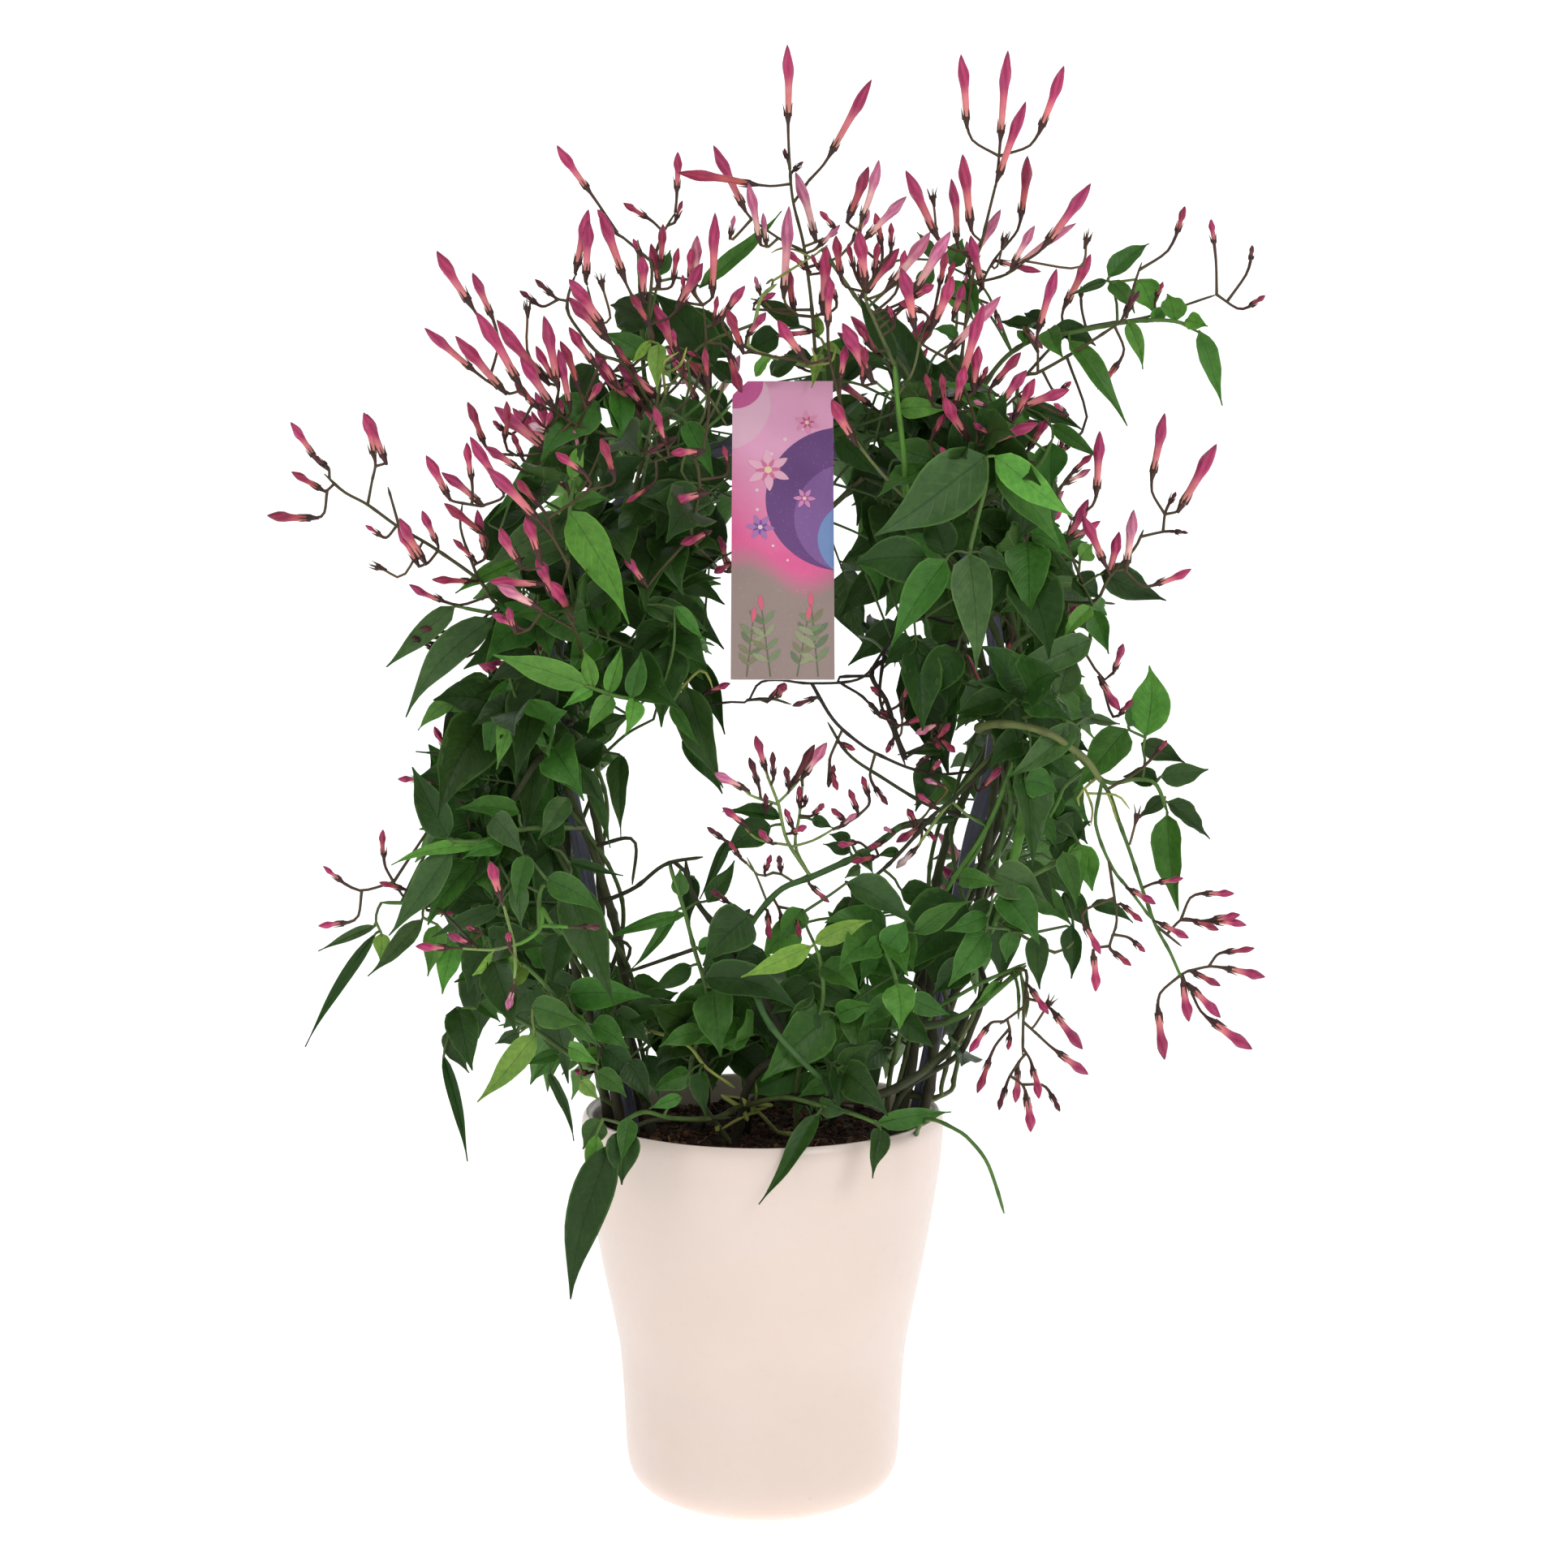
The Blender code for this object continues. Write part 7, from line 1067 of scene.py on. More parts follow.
def make_vines():
    for k, (name, line, (r0, r1)) in enumerate(VINES):
        b = STEM_PARTS[name] = Build()
        low, high = srgb(66, 62, 44), srgb(74, 96, 48)
        if "crossing" in name:
            low, high = srgb(50, 44, 34), srgb(60, 66, 40)
        pts, radii = noded_tube(b, line, r0, r1, 12, low, high, 31 + k, WOOD)
        for p, q, r in zip(pts[::2], pts[2::2], radii[::2]):
            SEGMENTS.append((name, p, q, r))
        VINE_LINES[name] = pts
    # thinner shoots that twine with the main ones
    for k in range(4):
        for side, (s0, s1), phase, turns in (("left", (0.110, 0.470), 0.9, 1.7), ("right", (0.890, 0.560), 2.2, -1.6)):
            name = "vine_stem_%s_%d" % (side, k + 1)
            rnd = random.Random(77 + k + (side == "left") * 10)
            line = winding(s0, s1 + (rnd.uniform(-0.06, 0.0) if side == "left" else rnd.uniform(0, 0.05)), phase + k * 1.57 + rnd.uniform(-0.2, 0.2), turns * rnd.uniform(0.8, 1.25), 0.0122 + 0.0014 * rnd.random(), 60, 0.16)
            b = STEM_PARTS[name]
            root = min((q for q in VINE_LINES[name][4:30]), key=lambda q: (q - line[2]).length)
            line = [root] + line[3:]
            pts, radii = noded_tube(b, line, 0.0010, 0.0007, 8, srgb(76, 92, 46), srgb(84, 118, 50), 131 + k, GREEN, 0.017)
            for p, q, r in zip(pts[::3], pts[3::3], radii[::3]):
                SEGMENTS.append((name, p, q, r))


# ---------------------------------------------------------------- growth
def nearest(segs, point):
    best, where = 1e9, None
    for s in segs:
        a, c = s[-3], s[-2]
        ab = c - a
        t = max(0.0, min(1.0, (point - a).dot(ab) / max(ab.length_squared, 1e-12)))
        q = a + ab * t
        gap = (q - point).length
        if gap < best:
            best, where = gap, q
    return where, best


def vine_root(start, after):
    """The point on the nearest vine where a shoot leaves it."""
    if start.z < SOIL_LEVEL:
        return start
    vines = [s for s in SEGMENTS if s[0].startswith("vine")]
    where, _ = nearest(vines, start)
    return where


def grow_path(b, segs, line, r0, r1, tone0, tone1, seed, first, name, mat=GREEN, pitch=0.017):
    pts = [Vector(p) for p in line]
    if first:
        root = vine_root(pts[0], pts[1])
        if (root - pts[0]).length > 0.012 and root.z > SOIL_LEVEL:
            pts = [root] + pts
        else:
            pts[0] = root
    else:
        pts[0] = nearest(segs, pts[0])[0]
    out, radii = noded_tube(b, pts, r0, r1, 8, tone0, tone1, seed, mat, pitch, 0.28)
    for p, q, r in zip(out[::2], out[2::2], radii[::2]):
        segs.append((name, p, q, r))
        SEGMENTS.append((name, p, q, r))
    return out


def scale_at(d):
    return (1.15 + d / 1000.0) / VIEW_SCALE


def petiole(b, segs, base, aim, seed, tone, name, thick=1.0):
    """A leaf's stalk from the nearest stem; later leaves may grow from it too."""
    where, gap = nearest(segs, base)
    if gap < 0.0008:
        return
    mid = where.lerp(base, 0.5) + (aim * 0.10 + Vector((0, 0, 0.10))) * gap
    count = max(5, int(gap / 0.0025))
    pts = smooth([where, mid, base, base + aim * 0.0010], count)
    add_tube(b, pts, np.linspace(0.00062, 0.00048, count) * thick, 6, stem_tone(tone), GREEN)
    for p, q in zip(pts[:-1:2], pts[1::2]):
        segs.append((name, p, q, 0.0005))


PIECES = {}


def make_leaf_shoot(name, spec, k):
    b = PIECES[name] = Build()
    segs = []
    path = [place(*p) for p in spec["path"]]
    grow_path(b, segs, path, 0.00115, 0.00075, srgb(78, 84, 48), srgb(82, 122, 52), 200 + k, True, name)
    for extra in spec.get("more", ()):
        grow_path(b, segs, [place(*p) for p in extra], 0.00085, 0.0006, srgb(78, 92, 48), srgb(82, 122, 52), 240 + k, False, name)
    leaves = []
    for i, (u, v, tu, tv, w, tone, d0, d1) in enumerate(spec["leaves"]):
        base, tip = place(u, v, d0), place(tu, tv, d1)
        leaves.append((nearest(segs, base)[1], i, base, tip, w * scale_at(d0), tone))
    for _, i, base, tip, width, tone in sorted(leaves, key=lambda q: q[0]):
        rnd = random.Random(k * 97 + i)
        colour = varied(LEAF_TONES[tone], rnd)
        aim = (tip - base).normalized()
        petiole(b, segs, base, aim, i, colour, name)
        add_leaf(b, base, base, tip, width, colour, k * 131 + i, petiole=False, limp=0.4)


def seen_at(p):
    """Where a point stands on the front elevation: the inverse of place."""
    c, s = math.cos(VIEW_PITCH), math.sin(VIEW_PITCH)
    q = Vector(p) - Vector(VIEW_POINT)
    ahead, rise = q.y * c - q.z * s, q.y * s + q.z * c
    return VIEW_CENTRE + q.x / ahead * VIEW_SCALE, VIEW_CENTRE - rise / ahead * VIEW_SCALE


def inside(poly, u, v):
    hit = False
    for (a, c), (d, e) in zip(poly, poly[1:] + poly[:1]):
        if (c > v) != (e > v) and u < (d - a) * (v - c) / (e - c) + a:
            hit = not hit
    return hit


# the outline of the dense growth on the front elevation: left, right, low middle, top
COVER = [
    [(700, 480), (770, 485), (830, 512), (890, 520), (890, 850), (860, 880), (800, 900), (765, 940), (742, 1000), (745, 1100), (765, 1200), (800, 1300), (790, 1362), (722, 1380), (640, 1330), (575, 1290), (555, 1200), (515, 1140), (508, 1000), (520, 880), (572, 810), (556, 720), (600, 640), (640, 560)],
    [(1045, 490), (1200, 455), (1270, 475), (1318, 560), (1310, 640), (1372, 680), (1350, 760), (1345, 850), (1372, 900), (1355, 990), (1335, 1060), (1320, 1130), (1290, 1160), (1190, 1150), (1130, 1060), (1120, 900), (1100, 840), (1045, 800)],
    [(760, 1220), (850, 1215), (880, 1110), (930, 1050), (1090, 1040), (1120, 1080), (1220, 1100), (1240, 1190), (1222, 1260), (1165, 1330), (1110, 1378), (780, 1378)],
    [(740, 436), (830, 436), (900, 468), (1000, 468), (1060, 420), (1140, 440), (1200, 480), (1040, 500), (740, 490)],
]


# room in front of the big buds over the left shoulder
BUD_ROOM = [(722, 425), (768, 430), (838, 492), (812, 536), (768, 530)]
# and in front of the long vine that sweeps down to the soil
VINE_ROOM = [(912, 1196), (948, 1190), (962, 1240), (1000, 1290), (1064, 1326), (1060, 1366), (996, 1344), (944, 1290)]


def clear_of_pot(p):
    """True where a point is over the rim, outside the wall, or over the soil inside it."""
    r = math.hypot(p.x, p.y)
    return p.z > 0.163 or r > 0.0775 or (r < 0.0640 and p.z > 0.1500)


def covered(p):
    u, v = seen_at(p)
    if (p.y < -0.010 and inside(BUD_ROOM, u, v)) or (p.y < -0.026 and inside(VINE_ROOM, u, v)):
        return False
    return clear_of_pot(p) and any(inside(poly, u, v) for poly in COVER)


def add_compound(b, segs, root, aim, length, pairs, tone, seed, name, view, droop=0.16, keep=None):
    """A compound leaf: an end leaflet and PAIRS pairs of smaller ones on one rachis. KEEP says which leaflet tips may stay."""
    rnd = random.Random(seed)
    aim = Vector(aim).normalized()
    view = Vector(view).normalized()
    across = aim.cross(view).normalized() if aim.cross(view).length > 0.1 else aim.orthogonal().normalized()
    reach = length * 0.50
    line = smooth([root, root + aim * reach * 0.5 + Vector((0, 0, -droop * reach * 0.15)), root + aim * reach + Vector((0, 0, -droop * reach * 0.6))], 7)
    colour = varied(LEAF_TONES[tone], rnd, 0.18)
    add_tube(b, line, np.linspace(0.00060, 0.00040, 7), 5, stem_tone(colour), GREEN, round_end=False)
    for p, q in zip(line, line[1:]):
        segs.append((name, p, q, 0.0005))
    end = line[-1]
    t = (line[-1] - line[-2]).normalized()
    tip = end + (t + Vector((0, 0, -droop))) * length * rnd.uniform(0.50, 0.60)
    add_leaf(b, end, end, tip, length * rnd.uniform(0.26, 0.34), varied(colour, rnd, 0.08), seed * 7, petiole=False, view=view, inner=True)
    for j in range(pairs):
        f = 0.42 + 0.46 * (j + 1) / pairs
        at = line[min(6, int(round(f * 6)))]
        for sign in (-1, 1):
            out = (across * sign * rnd.uniform(0.85, 1.1) + t * rnd.uniform(0.45, 0.8) + view * rnd.uniform(-0.25, 0.25) + Vector((0, 0, -droop * 1.2))).normalized()
            size = length * (0.34 + 0.06 * j) * rnd.uniform(0.85, 1.1)
            base = at + out * 0.0018
            if keep is not None and not (keep(base + out * size) and clear_of_pot(base) and clear_of_pot(base + out * size * 0.5)):
                continue
            add_leaf(b, at, base, base + out * size, size * rnd.uniform(0.52, 0.66), varied(colour, rnd, 0.10), seed * 7 + j * 2 + sign + 3, view=view, inner=True)


def bud_depth(stems, cu, cv):
    best, depth = 1e9, 0.0
    for line in stems:
        for (a, c, d), (a2, c2, d2) in zip(line, line[1:]):
            for f in (0.0, 0.25, 0.5, 0.75, 1.0):
                gap = math.hypot(cu - a - (a2 - a) * f, cv - c - (c2 - c) * f)
                if gap < best:
                    best, depth = gap, d + (d2 - d) * f
    return depth


PEDUNCLE, PEDICEL = srgb(78, 70, 44), srgb(104, 84, 56)
STEM_TONES = {"w": (srgb(58, 54, 40), srgb(64, 74, 42)), "g": (srgb(72, 104, 48), srgb(84, 128, 54)), "v": (srgb(84, 132, 48), srgb(94, 152, 54)), "o": (srgb(84, 98, 50), srgb(112, 124, 72)),
              "p": (srgb(118, 144, 82), srgb(138, 166, 92)), "y": (srgb(140, 156, 76), srgb(168, 176, 92)), "k": (srgb(42, 36, 30), srgb(52, 44, 34)), "a": (srgb(60, 98, 50), srgb(70, 108, 54))}
PEDICELS = {"p": srgb(80, 52, 42), "r": srgb(72, 44, 36), "s": srgb(112, 96, 54), "w": srgb(112, 96, 54), "k": srgb(70, 44, 34), "y": srgb(116, 140, 56), "g": srgb(116, 132, 56)}


def joint(segs, calyx, axis, least=0.004):
    """The place on a cluster's stems that a bud's stalk comes from: near, and behind the bud rather than beside it."""
    best, where = 1e9, None
    for s in segs:
        for f in (0.0, 0.5, 1.0):
            q = s[-3].lerp(s[-2], f)
            d = calyx - q
            gap = d.length
            if gap < 1e-5:
                continue
            cost = max(gap, least) * (1.9 - d.dot(axis) / gap) + (0.004 if gap < least * 0.5 else 0.0)
            if cost < best:
                best, where = cost, q
    return where if where is not None else calyx


def make_cluster(name, spec, k):
    b = PIECES[name] = Build()
    segs = []
    for i, stem in enumerate(spec["stems"]):
        line = [place(*p) for p in stem]
        girth, tone = spec.get("look", {}).get(i, (1.0, None))
        low, high = STEM_TONES[tone] if tone else (srgb(84, 92, 50) if i == 0 else PEDUNCLE, PEDUNCLE)
        grow_path(b, segs, line, (0.00088 if i == 0 else 0.00062) * girth, (0.00055 if i == 0 else 0.00045) * girth, low, high, 300 + k * 7 + i, i == 0, name)
    buds = []
    count = len(spec["buds"])
    for i, (u, v, cu, cv, girth, tone) in enumerate(spec["buds"]):
        lean = random.Random(i * 31 + count).uniform(-14, 4)
        depth = bud_depth(spec["stems"], cu, cv)
        calyx, tip = place(cu, cv, depth + lean * 0.35), place(u, v, depth + lean)
        buds.append((nearest(segs, calyx)[1], i, calyx, tip, girth, tone))
    for _, i, calyx, tip, girth, tone in sorted(buds, key=lambda q: q[0]):
        axis = (tip - calyx).normalized()
        where = joint(segs, calyx, axis)
        add_bud(b, where, calyx, tip, girth, tone, k * 53 + i, PEDUNCLE, PEDICELS[tone])
        gap = (calyx - where).length
        if gap > 0.004:
            bend = (calyx - axis * 0.42 * gap).lerp(where.lerp(calyx, 0.5), 0.35)
            segs.append((name, where, bend, 0.0005))



# ---------------------------------------------------------------- growth that fills the mass between the drawn shoots
# u, v, d of a leaf's foot and of its tip, width, tone: single leaflets deep in the mass
DEEP_LEAVES = [
    (845, 846, 891, 971, 50, "d", -30, -34), (826, 869, 861, 918, 18, "m", -32, -36), (765, 930, 765, 1032, 30, "d", -26, -30), (855, 1080, 850, 1140, 22, "d", -30, -30),
    (600, 690, 668, 610, 60, "d", -14, -8), (640, 700, 700, 640, 50, "d", -8, 0), (900, 440, 826, 372, 46, "d", 4, 12), (760, 440, 836, 392, 46, "d", 0, 6),
    (860, 520, 916, 526, 30, "d", -14, -10), (1104, 1196, 1184, 1128, 60, "d", -20, -12), (1150, 1210, 1196, 1150, 40, "d", -16, -8),
    (820, 690, 893, 745, 44, "d", -12, -10), (800, 740, 892, 800, 46, "d", -10, -8), (815, 780, 880, 850, 40, "m", -16, -20), (850, 815, 893, 905, 34, "d", -18, -24), (846, 900, 890, 978, 36, "d", -20, -26),
    (1100, 560, 1034, 620, 36, "d", 4, 6), (1110, 640, 1040, 690, 40, "d", 4, 6), (1100, 700, 1035, 760, 44, "d", 4, 8), (1110, 770, 1045, 820, 36, "d", 2, 8),
    (1290, 980, 1335, 960, 34, "d", -20, -16), (1300, 1000, 1340, 1040, 36, "d", -18, -16), (1290, 1040, 1332, 1000, 30, "d", -20, -18), (1285, 1070, 1325, 1110, 34, "d", -22, -20), (1270, 1100, 1320, 1140, 36, "m", -22, -22),
    (1310, 1100, 1345, 1148, 34, "d", -20, -20), (1300, 1062, 1345, 1012, 30, "d", -18, -14), (1262, 1100, 1255, 1160, 36, "d", -18, -20), (1090, 1100, 1040, 1132, 34, "d", -34, -38), (1110, 1098, 1170, 1130, 34, "d", -30, -32),
    (925, 1128, 866, 1190, 62, "d", -50, -56), (868, 1205, 985, 1246, 46, "d", -50, -54), (940, 1170, 905, 1222, 40, "d", -46, -50), (985, 1140, 938, 1184, 42, "l", -30, -32), (1010, 1240, 960, 1290, 46, "d", -48, -52),
    (730, 1262, 775, 1292, 34, "m", -32, -36), (700, 1290, 738, 1312, 24, "l", -34, -38), (745, 1290, 792, 1332, 38, "d", -30, -34), (758, 1248, 802, 1290, 38, "d", -28, -32), (772, 1308, 802, 1360, 36, "d", -34, -38), (735, 1322, 772, 1352, 28, "m", -36, -40),
    (715, 1332, 738, 1356, 20, "y", -32, -34), (775, 1255, 830, 1248, 34, "d", -30, -34), (1150, 320, 1130, 286, 18, "m", -10, -8), (1174, 330, 1186, 294, 26, "m", -10, -6), (1132, 350, 1152, 326, 22, "m", -10, -12), (1186, 346, 1206, 398, 26, "m", -14, -16),
    (866, 520, 838, 486, 22, "m", -6, -4), (892, 506, 872, 478, 20, "d", -6, -2), (850, 1322, 802, 1346, 30, "m", -44, -48), (862, 1320, 870, 1376, 26, "d", -44, -50), (836, 1300, 812, 1340, 30, "d", -28, -32), (796, 1300, 812, 1352, 30, "d", -26, -30), (1022, 1334, 984, 1352, 22, "m", -38, -42), (1000, 1300, 1032, 1338, 28, "d", -14, -18),
    (905, 472, 872, 446, 28, "d", -6, 0), (931, 464, 957, 438, 16, "l", -26, -30), (950, 462, 990, 440, 24, "d", -20, -24), (1192, 1190, 1150, 1226, 40, "d", -40, -44),
    (740, 720, 800, 790, 44, "d", -6, -2), (790, 720, 836, 800, 40, "m", -8, -4), (704, 470, 764, 512, 34, "d", -6, 0),
]
# the same for leaves on the thin growth of the open lower middle and round the right leg
THIN_LEAVES = [
    (962, 1008, 890, 1000, 22, "d", -36, -34), (950, 1018, 893, 1052, 40, "d", -36, -36), (897, 1035, 862, 1108, 14, "d", -32, -32), (1000, 1010, 1026, 1020, 16, "d", -36, -36), (1048, 1050, 1014, 1040, 18, "d", -32, -34),
    (1048, 1035, 1022, 1028, 16, "d", -32, -34), (1108, 1050, 1080, 1056, 14, "d", -28, -30), (1056, 1048, 1076, 1078, 20, "g", -32, -34), (1060, 1070, 1041, 1082, 14, "g", -32, -34), (1165, 925, 1106, 930, 14, "d", -22, -26),
    (1150, 935, 1128, 1000, 36, "d", -22, -26), (1195, 850, 1162, 886, 30, "d", -16, -20),
    (1240, 962, 1303, 980, 36, "m", -26, -30), (1275, 998, 1302, 1046, 24, "m", -30, -34), (1262, 1061, 1300, 1120, 34, "d", -30, -34), (1326, 1038, 1330, 1104, 26, "l", -44, -48), (1345, 1115, 1396, 1137, 18, "d", -46, -46),
    (1237, 1130, 1272, 1145, 22, "m", -26, -30), (1233, 1211, 1203, 1236, 16, "l", -28, -32),
]
LONE_BUDS = [
    (990, 199, 978, 210, 0.6, "k"), (966, 183, 970, 195, 0.6, "k"), (905, 265, 900, 290, 0.7, "s"), (930, 340, 936, 360, 0.7, "s"), (1115, 308, 1110, 340, 0.9, "p"), (1151, 351, 1124, 366, 1.25, "p"),
    (1188, 350, 1175, 390, 1.0, "p"), (1185, 455, 1178, 500, 1.0, "p"), (1320, 470, 1308, 480, 0.8, "r"), (607, 518, 620, 530, 0.8, "r"), (786, 468, 804, 506, 1.0, "p"), (598, 550, 638, 576, 1.0, "p"),
    (594, 813, 635, 820, 1.0, "p"), (507, 786, 520, 790, 0.6, "k"), (517, 774, 545, 778, 0.7, "k"), (520, 783, 548, 788, 0.7, "k"), (514, 788, 535, 800, 0.7, "k"), (490, 960, 520, 960, 0.9, "p"),
    (540, 965, 555, 975, 0.8, "r"), (535, 895, 550, 925, 0.9, "p"), (1235, 945, 1210, 972, 0.9, "p"), (1287, 655, 1295, 680, 0.8, "p"), (1438, 912, 1425, 928, 0.8, "r"), 
    (1146, 286, 1096, 352, 1.15, "s"), (1171, 285, 1126, 360, 1.15, "s"),
    (736, 258, 757, 285, 0.8, "r"), (780, 294, 789, 313, 0.8, "p"), (829, 405, 834, 432, 0.8, "p"), (846, 433, 861, 440, 0.7, "r"), (851, 306, 850, 344, 0.9, "p"), (841, 338, 843, 364, 0.7, "p"),
    (884, 364, 880, 396, 0.7, "r"), (733, 433, 758, 474, 0.95, "p"), (783, 475, 821, 546, 1.0, "p"), (768, 470, 789, 499, 1.0, "s"), (754, 424, 780, 454, 0.9, "r"), (651, 523, 676, 533, 1.2, "w"),
    (680, 506, 671, 530, 0.9, "p"), (631, 532, 643, 563, 0.8, "r"), (706, 529, 712, 554, 0.8, "s"), (688, 490, 695, 515, 0.8, "p"), (683, 580, 695, 599, 0.8, "s"), (891, 549, 897, 573, 0.8, "r"),
    (1071, 258, 1052, 294, 1.0, "s"), (966, 308, 995, 332, 0.9, "p"), (1000, 313, 1010, 332, 0.7, "r"), (1022, 342, 1030, 369, 0.8, "p"), (1035, 277, 1009, 303, 0.8, "s"), (1095, 377, 1101, 396, 0.8, "p"),
    (1191, 297, 1194, 335, 0.8, "s"), (1217, 451, 1208, 472, 0.8, "r"), (1279, 521, 1216, 546, 1.0, "p"), (1199, 521, 1221, 535, 0.9, "p"), (1298, 497, 1313, 509, 0.8, "p"), (1311, 539, 1304, 555, 0.8, "r"),
    (1066, 427, 1063, 470, 0.9, "r"), (1057, 403, 1071, 426, 0.8, "r"), (957, 414, 1000, 408, 0.8, "p"), (966, 436, 988, 453, 0.8, "r"), (956, 361, 933, 372, 0.9, "p"), (918, 352, 885, 395, 0.95, "p"),
    (1291, 514, 1268, 553, 1.0, "p"), (1208, 300, 1202, 322, 0.7, "s"), (1240, 510, 1263, 515, 0.7, "s"), (914, 484, 899, 436, 1.1, "r"), (1082, 298, 1077, 336, 0.9, "r"), (1285, 430, 1264, 406, 0.9, "s"), (1234, 408, 1227, 386, 0.7, "p"), (1108, 372, 1136, 384, 0.9, "p"),
    (1045, 300, 1052, 330, 0.8, "r"), (1064, 311, 1058, 332, 0.8, "r"), (1128, 368, 1108, 380, 0.8, "p"), (1176, 322, 1166, 352, 0.9, "r"), (1190, 350, 1192, 334, 0.7, "s"), (1199, 494, 1216, 500, 0.8, "s"), (1300, 560, 1318, 548, 0.7, "r"),
]
BARE_CALYXES = [(1150, 248, 1160, 300), (650, 385, 652, 440), (1338, 300, 1330, 330), (1236, 300, 1228, 330), (742, 352, 752, 392), (1400, 1010, 1392, 1040), (1290, 1240, 1276, 1262), (470, 700, 496, 710), (1112, 880, 1110, 905)]
